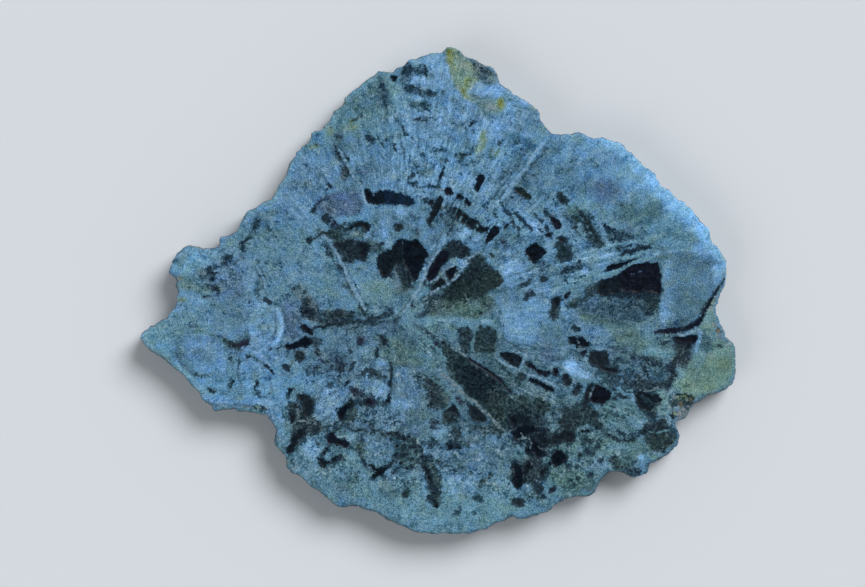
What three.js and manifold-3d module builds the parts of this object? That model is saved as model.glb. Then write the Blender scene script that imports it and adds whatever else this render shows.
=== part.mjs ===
// A slice sawn across a petrified log: one flat slab of agatised wood, lying on its sawn back.
// Millimetres, +Z up. The origin is at the centre of the slab's footprint, on the face it rests on.
//
// The slab is an extruded outline. Its two sawn faces are flat and parallel. Its rim is the old outside
// of the log, so it isn't straight: it swells to the full outline about half way up, draws in towards
// both faces, and rolls over at their edges. At the +X end the cut ran out through the rind, and the
// upper face slopes away there.
import * as THREE from "three";
import { mergeVertices } from "three/addons/utils/BufferGeometryUtils.js";
import Module from "manifold-3d";

const THICKNESS = 15; // sawn face to sawn face
const RIM_ROWS = [0, 0.9, 3.6, 7.6, 11.4, 14.2, THICKNESS]; // heights of the rim's sections
const RIM_DRAW_IN = [1.5, 0.7, 0.25, 0, 0.12, 0.3, 0.85]; // how far each section lies inside the outline
const RIM_ROUGHNESS = [0.55, 0.5, 0.35, 0, 0.12, 0.15, 0.12]; // how much more that varies along the rim
const RIND_FROM = [119.4, 2.5]; // the line on the upper face where the rind's slope starts ...
const RIND_TO = [99.5, -46.5]; // ... and ends
const RIND_SLOPE_DEG = 9.5; // how steeply the rind falls away outside that line

// The widest section of the log, counter-clockwise.
const OUTLINE = [
  [-124.8, -20.2], [-123.1, -22.8], [-120.6, -25.4], [-118.0, -27.0], [-115.4, -28.6],
  [-113.0, -30.6], [-110.9, -32.6], [-109.2, -33.8], [-107.7, -34.9], [-105.2, -37.4],
  [-104.0, -39.1], [-102.8, -40.6], [-101.5, -41.8], [-100.1, -43.0], [-98.6, -46.1],
  [-96.9, -47.2], [-95.2, -47.9], [-94.3, -50.0], [-93.5, -50.7], [-92.8, -50.9], [-90.2, -50.2],
  [-87.5, -50.1], [-85.9, -49.7], [-83.4, -50.9], [-81.5, -51.0], [-79.6, -51.0], [-76.9, -51.4],
  [-74.3, -51.8], [-71.7, -52.1], [-70.6, -54.3], [-69.0, -56.2], [-68.0, -58.5], [-68.0, -59.3],
  [-68.8, -61.8], [-68.8, -63.9], [-68.3, -65.3], [-66.3, -67.3], [-64.3, -69.2], [-63.8, -70.4],
  [-63.7, -73.5], [-63.1, -74.8], [-60.7, -76.8], [-59.3, -77.1], [-57.0, -78.5], [-55.4, -80.1],
  [-53.9, -82.0], [-51.7, -83.2], [-49.5, -84.4], [-47.5, -86.3], [-45.4, -88.0], [-44.3, -89.4],
  [-41.7, -90.7], [-39.1, -91.1], [-35.9, -90.4], [-33.4, -90.5], [-31.6, -91.6], [-28.9, -92.3],
  [-26.3, -93.0], [-23.5, -94.6], [-20.8, -96.6], [-19.6, -96.8], [-17.1, -98.2], [-14.9, -98.9],
  [-13.1, -99.8], [-11.0, -100.8], [-8.3, -101.7], [-6.4, -101.7], [-4.5, -101.7],
  [-2.9, -102.1], [0.6, -102.1], [2.4, -101.7], [5.5, -102.1], [8.8, -102.1], [10.6, -101.7],
  [13.0, -102.1], [15.2, -101.3], [17.5, -100.5], [20.0, -100.3], [21.7, -99.2], [23.4, -98.0],
  [26.1, -97.1], [28.8, -96.1], [30.6, -94.7], [31.2, -94.7], [33.1, -95.8], [35.4, -95.8],
  [38.2, -95.4], [40.7, -94.4], [43.3, -93.5], [45.8, -92.8], [47.6, -91.7], [48.7, -90.2],
  [50.8, -88.9], [53.1, -87.6], [54.9, -87.1], [56.9, -86.6], [59.2, -86.6], [61.5, -86.6],
  [63.3, -86.2], [65.0, -85.5], [66.2, -84.3], [66.9, -82.4], [67.7, -80.5], [69.1, -78.2],
  [71.7, -76.2], [74.4, -76.1], [77.1, -76.2], [79.5, -77.7], [82.0, -78.6], [84.4, -78.0],
  [86.7, -77.2], [88.3, -75.6], [88.5, -73.3], [88.9, -72.6], [92.0, -71.5], [94.1, -70.2],
  [96.1, -69.1], [98.0, -67.2], [99.8, -65.5], [100.9, -63.9], [101.5, -61.4], [101.0, -59.2],
  [99.9, -56.9], [99.7, -55.3], [100.0, -54.8], [102.9, -54.2], [103.7, -53.6], [104.7, -52.5],
  [105.6, -50.4], [106.3, -48.5], [107.5, -47.4], [109.4, -46.6], [111.3, -45.3], [113.1, -43.9],
  [115.5, -43.4], [117.9, -42.9], [120.2, -42.0], [121.3, -41.4], [122.1, -40.3], [123.5, -39.6],
  [124.5, -37.3], [125.0, -34.5], [125.0, -31.7], [125.0, -29.0], [125.0, -26.3], [124.8, -23.8],
  [123.9, -22.0], [122.1, -20.6], [120.5, -18.9], [120.3, -16.8], [119.1, -15.2], [117.9, -13.2],
  [117.8, -11.5], [116.8, -9.7], [116.5, -8.5], [116.7, -6.5], [117.4, -5.2], [118.0, -2.2],
  [118.8, -0.4], [119.8, 1.2], [120.8, 3.7], [120.8, 6.8], [120.8, 9.8], [120.7, 12.9],
  [118.8, 15.8], [116.8, 18.7], [114.6, 20.2], [114.2, 22.8], [113.9, 25.7], [112.0, 27.3],
  [110.2, 29.0], [108.2, 31.7], [106.1, 34.4], [104.3, 35.9], [102.6, 37.4], [100.3, 38.2],
  [99.4, 39.3], [98.4, 40.0], [97.9, 41.3], [96.8, 42.4], [95.1, 43.0], [93.4, 43.8],
  [92.5, 46.2], [91.6, 47.4], [91.1, 48.9], [89.5, 50.2], [88.0, 51.2], [86.3, 51.8],
  [85.1, 53.7], [83.8, 54.7], [82.6, 56.3], [81.1, 57.8], [79.3, 58.7], [77.4, 61.3],
  [74.8, 62.6], [73.0, 62.8], [71.2, 63.2], [69.2, 64.3], [67.9, 64.0], [65.8, 64.0],
  [63.7, 64.1], [61.9, 65.5], [60.2, 66.1], [58.4, 66.4], [55.4, 65.7], [52.9, 65.6],
  [50.4, 65.6], [47.9, 65.8], [46.2, 67.6], [44.4, 69.7], [42.9, 71.7], [42.7, 74.4],
  [42.0, 75.8], [40.4, 76.7], [38.9, 78.2], [37.2, 79.3], [35.0, 80.5], [33.8, 81.4],
  [31.2, 82.6], [29.7, 84.7], [28.3, 85.1], [26.0, 86.8], [25.4, 89.1], [24.6, 91.5],
  [23.3, 93.3], [21.8, 94.1], [19.8, 94.4], [18.0, 95.3], [16.3, 96.5], [13.6, 97.5],
  [11.1, 98.5], [9.2, 100.7], [6.3, 102.1], [3.6, 102.0], [1.3, 99.7], [-0.8, 99.6],
  [-2.9, 99.6], [-5.7, 98.5], [-7.4, 98.2], [-8.8, 97.2], [-12.0, 97.0], [-13.6, 95.4],
  [-15.1, 94.0], [-17.5, 93.2], [-18.5, 91.9], [-19.2, 91.5], [-22.1, 91.7], [-24.9, 92.0],
  [-26.9, 90.2], [-29.1, 89.0], [-31.1, 87.6], [-32.7, 86.0], [-34.4, 84.4], [-35.5, 83.9],
  [-37.5, 82.5], [-39.2, 80.7], [-39.5, 79.0], [-40.2, 77.8], [-41.2, 76.7], [-43.9, 75.2],
  [-44.8, 72.9], [-45.8, 70.9], [-48.3, 68.7], [-49.1, 67.1], [-51.6, 66.9], [-53.0, 66.1],
  [-53.4, 65.4], [-53.4, 63.8], [-54.3, 62.0], [-57.1, 60.3], [-58.3, 58.8], [-59.4, 58.0],
  [-59.8, 56.4], [-62.0, 54.1], [-62.9, 51.8], [-63.5, 48.6], [-65.1, 46.5], [-66.9, 44.2],
  [-67.7, 41.9], [-68.9, 40.2], [-70.0, 38.2], [-73.0, 37.3], [-75.3, 35.6], [-77.5, 34.5],
  [-79.9, 33.4], [-81.7, 30.6], [-83.1, 27.8], [-84.3, 25.2], [-85.2, 24.4], [-87.2, 23.4],
  [-89.2, 22.9], [-91.2, 22.5], [-91.8, 21.5], [-91.5, 19.5], [-92.4, 18.4], [-94.6, 17.9],
  [-96.5, 17.8], [-98.6, 17.8], [-100.7, 18.6], [-102.7, 18.8], [-104.8, 19.1], [-106.1, 18.5],
  [-107.9, 17.1], [-109.5, 15.5], [-110.6, 13.9], [-111.4, 12.3], [-112.2, 9.9], [-112.8, 7.8],
  [-112.5, 6.8], [-110.3, 5.4], [-109.6, 4.1], [-110.2, 2.2], [-109.1, -0.2], [-109.1, -1.7],
  [-109.6, -2.8], [-109.5, -3.9], [-110.4, -7.1], [-112.6, -9.4], [-113.5, -11.2],
  [-116.5, -12.6], [-118.8, -14.3], [-120.2, -14.6], [-121.8, -16.0], [-123.2, -16.8],
  [-124.4, -17.9], [-125.0, -19.5],
];

// Repeatable lumpiness along the rim: a value from 0 to 1 for point i of the outline on section row.
function lump(i, row) {
  const turn = (2 * Math.PI * i) / OUTLINE.length;
  const wave =
    Math.sin(7 * turn + 1.3 * row) +
    0.8 * Math.sin(17 * turn - 2.1 * row + 1.1) +
    0.6 * Math.sin(31 * turn + 0.7 * row + 2.4) +
    0.5 * Math.sin(53 * turn - 1.7 * row + 0.3);
  return 0.5 + wave / 5.8;
}

// The outward direction of the outline at each of its points.
const outward = OUTLINE.map((_, i) => {
  const n = OUTLINE.length;
  const before = OUTLINE[(i + n - 1) % n];
  const after = OUTLINE[(i + 1) % n];
  return new THREE.Vector2(after[1] - before[1], before[0] - after[0]).normalize();
});

// Extrudes the outline in one step for each rim section, then draws every section in.
function slab() {
  const shape = new THREE.Shape(OUTLINE.map(([x, y]) => new THREE.Vector2(x, y)));
  const steps = RIM_ROWS.length - 1;
  const geometry = new THREE.ExtrudeGeometry(shape, {
    depth: THICKNESS,
    steps,
    bevelEnabled: false,
  });
  geometry.deleteAttribute("normal");
  geometry.deleteAttribute("uv");
  const key = (x, y) => x.toFixed(2) + "," + y.toFixed(2);
  const index = new Map(OUTLINE.map(([x, y], i) => [key(x, y), i]));
  const position = geometry.getAttribute("position");
  for (let v = 0; v < position.count; v++) {
    const i = index.get(key(position.getX(v), position.getY(v)));
    const row = Math.round((position.getZ(v) / THICKNESS) * steps);
    const inset = RIM_DRAW_IN[row] + RIM_ROUGHNESS[row] * lump(i, row);
    position.setXYZ(
      v,
      OUTLINE[i][0] - outward[i].x * inset,
      OUTLINE[i][1] - outward[i].y * inset,
      RIM_ROWS[row],
    );
  }
  return mergeVertices(geometry, 1e-4);
}

// A block whose flat underside is the rind's sloping face: what the slab loses there.
function rindBlock() {
  const block = new THREE.BoxGeometry(80, 140, 40);
  block.deleteAttribute("normal");
  block.deleteAttribute("uv");
  block.translate(40, 0, 20);
  const along = Math.atan2(RIND_TO[1] - RIND_FROM[1], RIND_TO[0] - RIND_FROM[0]);
  block.rotateY((RIND_SLOPE_DEG * Math.PI) / 180);
  block.rotateZ(along + Math.PI / 2);
  block.translate((RIND_FROM[0] + RIND_TO[0]) / 2, (RIND_FROM[1] + RIND_TO[1]) / 2, THICKNESS);
  return mergeVertices(block, 1e-4);
}

const wasm = await Module();
wasm.setup();

function solid(geometry) {
  return new wasm.Manifold(
    new wasm.Mesh({
      numProp: 3,
      vertProperties: new Float32Array(geometry.getAttribute("position").array),
      triVerts: new Uint32Array(geometry.index.array),
    }),
  );
}

function toGeometry(made) {
  const mesh = made.getMesh();
  const points = new Float32Array(mesh.numVert * 3);
  for (let v = 0; v < mesh.numVert; v++)
    points.set(mesh.vertProperties.subarray(v * mesh.numProp, v * mesh.numProp + 3), v * 3);
  const geometry = new THREE.BufferGeometry();
  geometry.setAttribute("position", new THREE.BufferAttribute(points, 3));
  geometry.setIndex(new THREE.BufferAttribute(new Uint32Array(mesh.triVerts), 1));
  geometry.computeVertexNormals();
  return geometry;
}

const slice = new THREE.Mesh(
  toGeometry(solid(slab()).subtract(solid(rindBlock()))),
  new THREE.MeshStandardMaterial({ color: 0x5c7a8c, roughness: 0.45, metalness: 0 }),
);
slice.name = "petrified_wood_slice";

const part = new THREE.Group();
part.add(slice);

export default part;
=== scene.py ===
"""A sawn slice of petrified wood: the blue-green agate face with its rays, rings, dark cells and
healed cracks, the weathered rim and the sawn back, as one closed piece on a plain floor."""

import math

import bpy
import numpy as np
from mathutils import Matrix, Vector
from mathutils.geometry import delaunay_2d_cdt


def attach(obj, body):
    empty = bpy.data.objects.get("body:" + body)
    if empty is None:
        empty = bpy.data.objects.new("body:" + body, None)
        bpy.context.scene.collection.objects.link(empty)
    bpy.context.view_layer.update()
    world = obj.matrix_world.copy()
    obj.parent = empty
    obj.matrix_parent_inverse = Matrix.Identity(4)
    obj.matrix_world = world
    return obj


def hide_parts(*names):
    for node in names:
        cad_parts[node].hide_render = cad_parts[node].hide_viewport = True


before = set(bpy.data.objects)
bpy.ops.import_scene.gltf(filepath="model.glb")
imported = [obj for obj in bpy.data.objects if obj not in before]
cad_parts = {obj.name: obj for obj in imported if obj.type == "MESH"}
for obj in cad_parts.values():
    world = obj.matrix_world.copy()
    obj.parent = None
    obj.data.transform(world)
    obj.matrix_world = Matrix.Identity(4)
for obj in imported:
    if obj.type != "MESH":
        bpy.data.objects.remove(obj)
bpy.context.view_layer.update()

# ---------------------------------------------------------------- noise and distances

def _hash(ix, iy, iz, seed):
    """A repeatable whole number for each lattice corner."""
    n = (ix.astype(np.int64) * 73856093) ^ (iy.astype(np.int64) * 19349663) ^ (iz.astype(np.int64) * 83492791)
    n = (n ^ (seed * 668265263)) & 0xFFFFFFFF
    n = ((n ^ (n >> 15)) * 2246822519) & 0xFFFFFFFF
    n = ((n ^ (n >> 13)) * 3266489917) & 0xFFFFFFFF
    return n ^ (n >> 16)


def noise(p, seed=0):
    """Gradient noise at the points p, (n, 2) or (n, 3). Runs from about -1 to 1, with features one unit across."""
    if p.shape[1] == 2:
        p = np.c_[p, np.zeros(len(p))]
    base = np.floor(p)
    f = p - base
    i = base.astype(np.int64)
    u = f * f * f * (f * (f * 6 - 15) + 10)
    total = np.zeros(len(p))
    for dx in (0, 1):
        for dy in (0, 1):
            for dz in (0, 1):
                h = _hash(i[:, 0] + dx, i[:, 1] + dy, i[:, 2] + dz, seed)
                gx = (h & 1023) / 511.5 - 1
                gy = ((h >> 10) & 1023) / 511.5 - 1
                gz = ((h >> 20) & 1023) / 511.5 - 1
                dot = gx * (f[:, 0] - dx) + gy * (f[:, 1] - dy) + gz * (f[:, 2] - dz)
                w = (
                    (u[:, 0] if dx else 1 - u[:, 0])
                    * (u[:, 1] if dy else 1 - u[:, 1])
                    * (u[:, 2] if dz else 1 - u[:, 2])
                )
                total += w * dot
    return total * 1.35


def fbm(p, octaves=4, seed=0, gain=0.5):
    """Noise at several scales, from one unit down."""
    total, amp, norm = np.zeros(len(p)), 1.0, 0.0
    for k in range(octaves):
        total += amp * noise(p * 2.0**k + 17.3 * k, seed + 31 * k)
        norm += amp
        amp *= gain
    return total / norm


def smooth(lo, hi, x):
    t = np.clip((x - lo) / (hi - lo), 0, 1)
    return t * t * (3 - 2 * t)


def rounded(points, times):
    """A closed outline with its corners cut, times times over."""
    p = np.asarray(points, float)
    for _ in range(times):
        q = np.roll(p, -1, 0)
        p = np.stack([0.75 * p + 0.25 * q, 0.25 * p + 0.75 * q], 1).reshape(-1, 2)
    return p


def curved(points, widths):
    """An open path through its points, four steps to a span, with its widths."""
    p, w = np.asarray(points, float), np.asarray(widths, float)
    if len(p) < 3:
        t = np.linspace(0, 1, 5)[:, None]
        return p[0] * (1 - t) + p[1] * t, (w[0] * (1 - t) + w[1] * t)[:, 0]
    ext = np.vstack([2 * p[0] - p[1], p, 2 * p[-1] - p[-2]])
    out, ws = [], []
    for k in range(len(p) - 1):
        a, b, c, d = ext[k : k + 4]
        for t in (0, 0.25, 0.5, 0.75):
            out.append(
                0.5 * (2 * b + (c - a) * t + (2 * a - 5 * b + 4 * c - d) * t**2 + (3 * b - a - 3 * c + d) * t**3)
            )
            ws.append(w[k] * (1 - t) + w[k + 1] * t)
    out.append(p[-1])
    ws.append(w[-1])
    return np.array(out), np.array(ws)


def _along(p, a, b):
    """Distance from each point to each segment, and how far along it the nearest point is."""
    ab = b - a
    length = (ab**2).sum(1) + 1e-9
    t = np.clip(((p[:, None, :] - a) * ab).sum(2) / length, 0, 1)
    gap = p[:, None, :] - (a + t[..., None] * ab)
    return np.sqrt((gap**2).sum(2)), t


def inside_of(p, outline):
    """Signed distance to a closed outline, positive inside."""
    a, b = outline, np.roll(outline, -1, 0)
    d = _along(p, a, b)[0].min(1)
    x, y = p[:, 0:1], p[:, 1:2]
    rise = np.where(np.abs(b[:, 1] - a[:, 1]) < 1e-9, 1e-9, b[:, 1] - a[:, 1])
    crossed = ((a[:, 1] > y) != (b[:, 1] > y)) & (x < (b[:, 0] - a[:, 0]) * (y - a[:, 1]) / rise + a[:, 0])
    return np.where(crossed.sum(1) % 2 == 1, d, -d)


def inside_stroke(p, path, widths):
    """Signed distance to a stroke of varying width, positive inside."""
    d, t = _along(p, path[:-1], path[1:])
    w = widths[:-1] + (widths[1:] - widths[:-1]) * t
    return (w / 2 - d).max(1)

# ---------------------------------------------------------------- the outline of the slice
# Millimetres, counter-clockwise, the same as the CAD's widest section.

OUTLINE = [
    (-124.8, -20.2), (-123.1, -22.8), (-120.6, -25.4), (-118.0, -27.0), (-115.4, -28.6), (-113.0, -30.6), (-110.9, -32.6),
    (-109.2, -33.8), (-107.7, -34.9), (-105.2, -37.4), (-104.0, -39.1), (-102.8, -40.6), (-101.5, -41.8), (-100.1, -43.0),
    (-98.6, -46.1), (-96.9, -47.2), (-95.2, -47.9), (-94.3, -50.0), (-93.5, -50.7), (-92.8, -50.9), (-90.2, -50.2),
    (-87.5, -50.1), (-85.9, -49.7), (-83.4, -50.9), (-81.5, -51.0), (-79.6, -51.0), (-76.9, -51.4), (-74.3, -51.8),
    (-71.7, -52.1), (-70.6, -54.3), (-69.0, -56.2), (-68.0, -58.5), (-68.0, -59.3), (-68.8, -61.8), (-68.8, -63.9),
    (-68.3, -65.3), (-66.3, -67.3), (-64.3, -69.2), (-63.8, -70.4), (-63.7, -73.5), (-63.1, -74.8), (-60.7, -76.8),
    (-59.3, -77.1), (-57.0, -78.5), (-55.4, -80.1), (-53.9, -82.0), (-51.7, -83.2), (-49.5, -84.4), (-47.5, -86.3),
    (-45.4, -88.0), (-44.3, -89.4), (-41.7, -90.7), (-39.1, -91.1), (-35.9, -90.4), (-33.4, -90.5), (-31.6, -91.6),
    (-28.9, -92.3), (-26.3, -93.0), (-23.5, -94.6), (-20.8, -96.6), (-19.6, -96.8), (-17.1, -98.2), (-14.9, -98.9),
    (-13.1, -99.8), (-11.0, -100.8), (-8.3, -101.7), (-6.4, -101.7), (-4.5, -101.7), (-2.9, -102.1), (0.6, -102.1),
    (2.4, -101.7), (5.5, -102.1), (8.8, -102.1), (10.6, -101.7), (13.0, -102.1), (15.2, -101.3), (17.5, -100.5),
    (20.0, -100.3), (21.7, -99.2), (23.4, -98.0), (26.1, -97.1), (28.8, -96.1), (30.6, -94.7), (31.2, -94.7),
    (33.1, -95.8), (35.4, -95.8), (38.2, -95.4), (40.7, -94.4), (43.3, -93.5), (45.8, -92.8), (47.6, -91.7),
    (48.7, -90.2), (50.8, -88.9), (53.1, -87.6), (54.9, -87.1), (56.9, -86.6), (59.2, -86.6), (61.5, -86.6),
    (63.3, -86.2), (65.0, -85.5), (66.2, -84.3), (66.9, -82.4), (67.7, -80.5), (69.1, -78.2), (71.7, -76.2),
    (74.4, -76.1), (77.1, -76.2), (79.5, -77.7), (82.0, -78.6), (84.4, -78.0), (86.7, -77.2), (88.3, -75.6),
    (88.5, -73.3), (88.9, -72.6), (92.0, -71.5), (94.1, -70.2), (96.1, -69.1), (98.0, -67.2), (99.8, -65.5),
    (100.9, -63.9), (101.5, -61.4), (101.0, -59.2), (99.9, -56.9), (99.7, -55.3), (100.0, -54.8), (102.9, -54.2),
    (103.7, -53.6), (104.7, -52.5), (105.6, -50.4), (106.3, -48.5), (107.5, -47.4), (109.4, -46.6), (111.3, -45.3),
    (113.1, -43.9), (115.5, -43.4), (117.9, -42.9), (120.2, -42.0), (121.3, -41.4), (122.1, -40.3), (123.5, -39.6),
    (124.5, -37.3), (125.0, -34.5), (125.0, -31.7), (125.0, -29.0), (125.0, -26.3), (124.8, -23.8), (123.9, -22.0),
    (122.1, -20.6), (120.5, -18.9), (120.3, -16.8), (119.1, -15.2), (117.9, -13.2), (117.8, -11.5), (116.8, -9.7),
    (116.5, -8.5), (116.7, -6.5), (117.4, -5.2), (118.0, -2.2), (118.8, -0.4), (119.8, 1.2), (120.8, 3.7),
    (120.8, 6.8), (120.8, 9.8), (120.7, 12.9), (118.8, 15.8), (116.8, 18.7), (114.6, 20.2), (114.2, 22.8),
    (113.9, 25.7), (112.0, 27.3), (110.2, 29.0), (108.2, 31.7), (106.1, 34.4), (104.3, 35.9), (102.6, 37.4),
    (100.3, 38.2), (99.4, 39.3), (98.4, 40.0), (97.9, 41.3), (96.8, 42.4), (95.1, 43.0), (93.4, 43.8),
    (92.5, 46.2), (91.6, 47.4), (91.1, 48.9), (89.5, 50.2), (88.0, 51.2), (86.3, 51.8), (85.1, 53.7),
    (83.8, 54.7), (82.6, 56.3), (81.1, 57.8), (79.3, 58.7), (77.4, 61.3), (74.8, 62.6), (73.0, 62.8),
    (71.2, 63.2), (69.2, 64.3), (67.9, 64.0), (65.8, 64.0), (63.7, 64.1), (61.9, 65.5), (60.2, 66.1),
    (58.4, 66.4), (55.4, 65.7), (52.9, 65.6), (50.4, 65.6), (47.9, 65.8), (46.2, 67.6), (44.4, 69.7),
    (42.9, 71.7), (42.7, 74.4), (42.0, 75.8), (40.4, 76.7), (38.9, 78.2), (37.2, 79.3), (35.0, 80.5),
    (33.8, 81.4), (31.2, 82.6), (29.7, 84.7), (28.3, 85.1), (26.0, 86.8), (25.4, 89.1), (24.6, 91.5),
    (23.3, 93.3), (21.8, 94.1), (19.8, 94.4), (18.0, 95.3), (16.3, 96.5), (13.6, 97.5), (11.1, 98.5),
    (9.2, 100.7), (6.3, 102.1), (3.6, 102.0), (1.3, 99.7), (-0.8, 99.6), (-2.9, 99.6), (-5.7, 98.5),
    (-7.4, 98.2), (-8.8, 97.2), (-12.0, 97.0), (-13.6, 95.4), (-15.1, 94.0), (-17.5, 93.2), (-18.5, 91.9),
    (-19.2, 91.5), (-22.1, 91.7), (-24.9, 92.0), (-26.9, 90.2), (-29.1, 89.0), (-31.1, 87.6), (-32.7, 86.0),
    (-34.4, 84.4), (-35.5, 83.9), (-37.5, 82.5), (-39.2, 80.7), (-39.5, 79.0), (-40.2, 77.8), (-41.2, 76.7),
    (-43.9, 75.2), (-44.8, 72.9), (-45.8, 70.9), (-48.3, 68.7), (-49.1, 67.1), (-51.6, 66.9), (-53.0, 66.1),
    (-53.4, 65.4), (-53.4, 63.8), (-54.3, 62.0), (-57.1, 60.3), (-58.3, 58.8), (-59.4, 58.0), (-59.8, 56.4),
    (-62.0, 54.1), (-62.9, 51.8), (-63.5, 48.6), (-65.1, 46.5), (-66.9, 44.2), (-67.7, 41.9), (-68.9, 40.2),
    (-70.0, 38.2), (-73.0, 37.3), (-75.3, 35.6), (-77.5, 34.5), (-79.9, 33.4), (-81.7, 30.6), (-83.1, 27.8),
    (-84.3, 25.2), (-85.2, 24.4), (-87.2, 23.4), (-89.2, 22.9), (-91.2, 22.5), (-91.8, 21.5), (-91.5, 19.5),
    (-92.4, 18.4), (-94.6, 17.9), (-96.5, 17.8), (-98.6, 17.8), (-100.7, 18.6), (-102.7, 18.8), (-104.8, 19.1),
    (-106.1, 18.5), (-107.9, 17.1), (-109.5, 15.5), (-110.6, 13.9), (-111.4, 12.3), (-112.2, 9.9), (-112.8, 7.8),
    (-112.5, 6.8), (-110.3, 5.4), (-109.6, 4.1), (-110.2, 2.2), (-109.1, -0.2), (-109.1, -1.7), (-109.6, -2.8),
    (-109.5, -3.9), (-110.4, -7.1), (-112.6, -9.4), (-113.5, -11.2), (-116.5, -12.6), (-118.8, -14.3), (-120.2, -14.6),
    (-121.8, -16.0), (-123.2, -16.8), (-124.4, -17.9), (-125.0, -19.5),
]
UNIT = 0.41948397  # millimetres to a drawing unit
CENTRE = (438.015, 290.5)  # the drawing's place over the CAD's origin
PITH = (398.0, 318.0)


def drawn(x, y):
    """CAD millimetres to drawing units."""
    return np.c_[np.asarray(x) / UNIT + CENTRE[0], CENTRE[1] - np.asarray(y) / UNIT]


RIM = drawn(*np.array(OUTLINE).T)

# ---------------------------------------------------------------- the drawing of the face
# Places are in drawing units: 0.4195 mm each, x to the right and y down, with the pith at (398, 318).

INKS = {  # display colours, 0 to 255
    "ink": (5, 17, 30), "inkp": (14, 18, 33), "inkb": (18, 28, 38), "navy": (14, 33, 55),
    "slate9": (36, 50, 64), "slate8": (46, 66, 84), "slate7": (56, 80, 100), "slate6": (66, 96, 120), "slate5": (76, 110, 136),
    "base": (84, 124, 152), "lav5": (80, 114, 150), "lav6": (92, 132, 168), "lav7": (104, 148, 186), "lav8": (114, 160, 200),
    "sky": (122, 172, 216), "skyb": (118, 184, 234), "az7": (88, 150, 196), "azd": (54, 98, 134), "night": (14, 38, 56),
    "teal4": (62, 92, 104), "teal5": (74, 108, 120), "teal6": (84, 122, 136), "teal7": (94, 136, 152), "teal8": (104, 150, 170),
    "grn5": (70, 100, 100), "grn6": (82, 114, 112), "rind": (106, 138, 124), "rindp": (102, 136, 136),
    "olive3": (24, 38, 40), "olive4": (38, 54, 56), "olive5": (58, 74, 74), "olive6": (72, 92, 92),
    "brown3": (28, 36, 46), "brown4": (43, 53, 62), "brown5": (64, 72, 80), "brown6": (82, 92, 100),
    "purp3": (44, 42, 62), "purp5": (60, 76, 104), "purp6": (74, 96, 128),
    "och": (110, 126, 84), "ochs": (112, 118, 50), "ochg": (110, 134, 122), "ochl": (114, 142, 116), "rust": (100, 88, 74),
    "pink": (128, 130, 146), "veinp": (108, 124, 134), "veinb": (118, 150, 176),
    "fleck": (136, 166, 180), "thread": (122, 142, 142), "murk": (30, 58, 78), "halo": (38, 58, 70),
}

# how much of a dark colour's ground is broken up by still darker islands
MOTTLED = {
    "ink": 0.9, "inkp": 0.9, "inkb": 0.9, "slate9": 0.75, "slate8": 0.6, "slate7": 0.36, "slate6": 0.12,
    "brown3": 0.8, "brown4": 0.7, "brown5": 0.55, "brown6": 0.28, "purp3": 0.75, "purp5": 0.3,
    "olive3": 0.8, "olive4": 0.7, "olive5": 0.5, "olive6": 0.3, "teal4": 0.35, "grn5": 0.15, "rust": 0.2,
}

WASH, STAIN, CELLS, VEINS, GRAIN, LACE, CALM = [], [], [], [], [], [], []


def _paint(kind, ink, shape, soft, op, rag):
    WASH.append((kind, ink, shape, soft, op, rag))
    size = shape[2] * shape[3] if kind == "oval" else 0
    if ink in MOTTLED and size < 900:
        STAIN.append((kind, ink, shape, soft, op * MOTTLED[ink], rag))


def B(ink, x, y, rx, ry=None, op=0.8, turn=0):
    """A soft oval stain."""
    _paint("oval", ink, (x, y, rx, rx if ry is None else ry, turn), 0, op, 0)


def P(ink, points, soft=3.0, op=0.85, rag=1.0):
    """A patch with soft edges."""
    _paint("patch", ink, rounded(points, 1), soft, op, rag)


def M(ink, points, soft=3.0, share=0.6, rag=1.6):
    """Dark islands scattered over a patch."""
    STAIN.append(("patch", ink, rounded(points, 1), soft, share, rag))


def N(ink, width, points, soft=2.0, share=0.6, rag=1.6, taper=0.5):
    """Dark islands strung along a line."""
    w = [width * (taper if k in (0, len(points) - 1) else 1) for k in range(len(points))]
    if len(points) == 2:
        (a, b), w = points, [width * 0.8, width, width * 0.8]
        points = [a, ((a[0] + b[0]) / 2, (a[1] + b[1]) / 2), b]
    STAIN.append(("streak", ink, curved(points, w), soft, share, rag))


def E(points, soft=4.0, amount=0.7):
    """Fewer dark islands over a patch."""
    STAIN.append(("patch", "", rounded(points, 2), soft, amount, 0.8))


def S(ink, width, points, soft=1.2, op=0.8, rag=0.5, taper=0.45):
    """A soft streak."""
    w = [width * (taper if k in (0, len(points) - 1) else 1) for k in range(len(points))]
    if len(points) == 2:
        (a, b), w = points, [width * 0.8, width, width * 0.8]
        points = [a, ((a[0] + b[0]) / 2, (a[1] + b[1]) / 2), b]
    _paint("streak", ink, curved(points, w), soft, op, rag)


def C(ink, points, rag=0.8, depth=0.22, cut=1):
    """A dark cell with a clear edge, a little below the face."""
    CELLS.append(("cell", ink, rounded(points, cut), rag, depth))


def L(ink, width, points, depth=0.25, rag=0.4, taper=0.4):
    """A dark crack or dash."""
    w = [width * (taper if k in (0, len(points) - 1) else 1) for k in range(len(points))]
    if len(points) == 2:
        (a, b), w = points, [width * 0.7, width, width * 0.7]
        points = [a, ((a[0] + b[0]) / 2, (a[1] + b[1]) / 2), b]
    CELLS.append(("crack", ink, curved(points, w), rag, depth))


def D(ink, x, y, r, depth=0.2):
    """A dark dot."""
    ring = [(x + r * math.cos(k * 1.0472 + x), y + r * math.sin(k * 1.0472 + x)) for k in range(6)]
    CELLS.append(("cell", ink, rounded(ring, 1), 0.7, depth))


def V(ink, width, points, rise=0.05, rag=0.35, taper=0.5):
    """A pale healed crack, standing a little proud."""
    w = [width * (taper if k in (0, len(points) - 1) else 1) for k in range(len(points))]
    VEINS.append(("vein", ink, curved(points, w), rag, rise))


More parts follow.
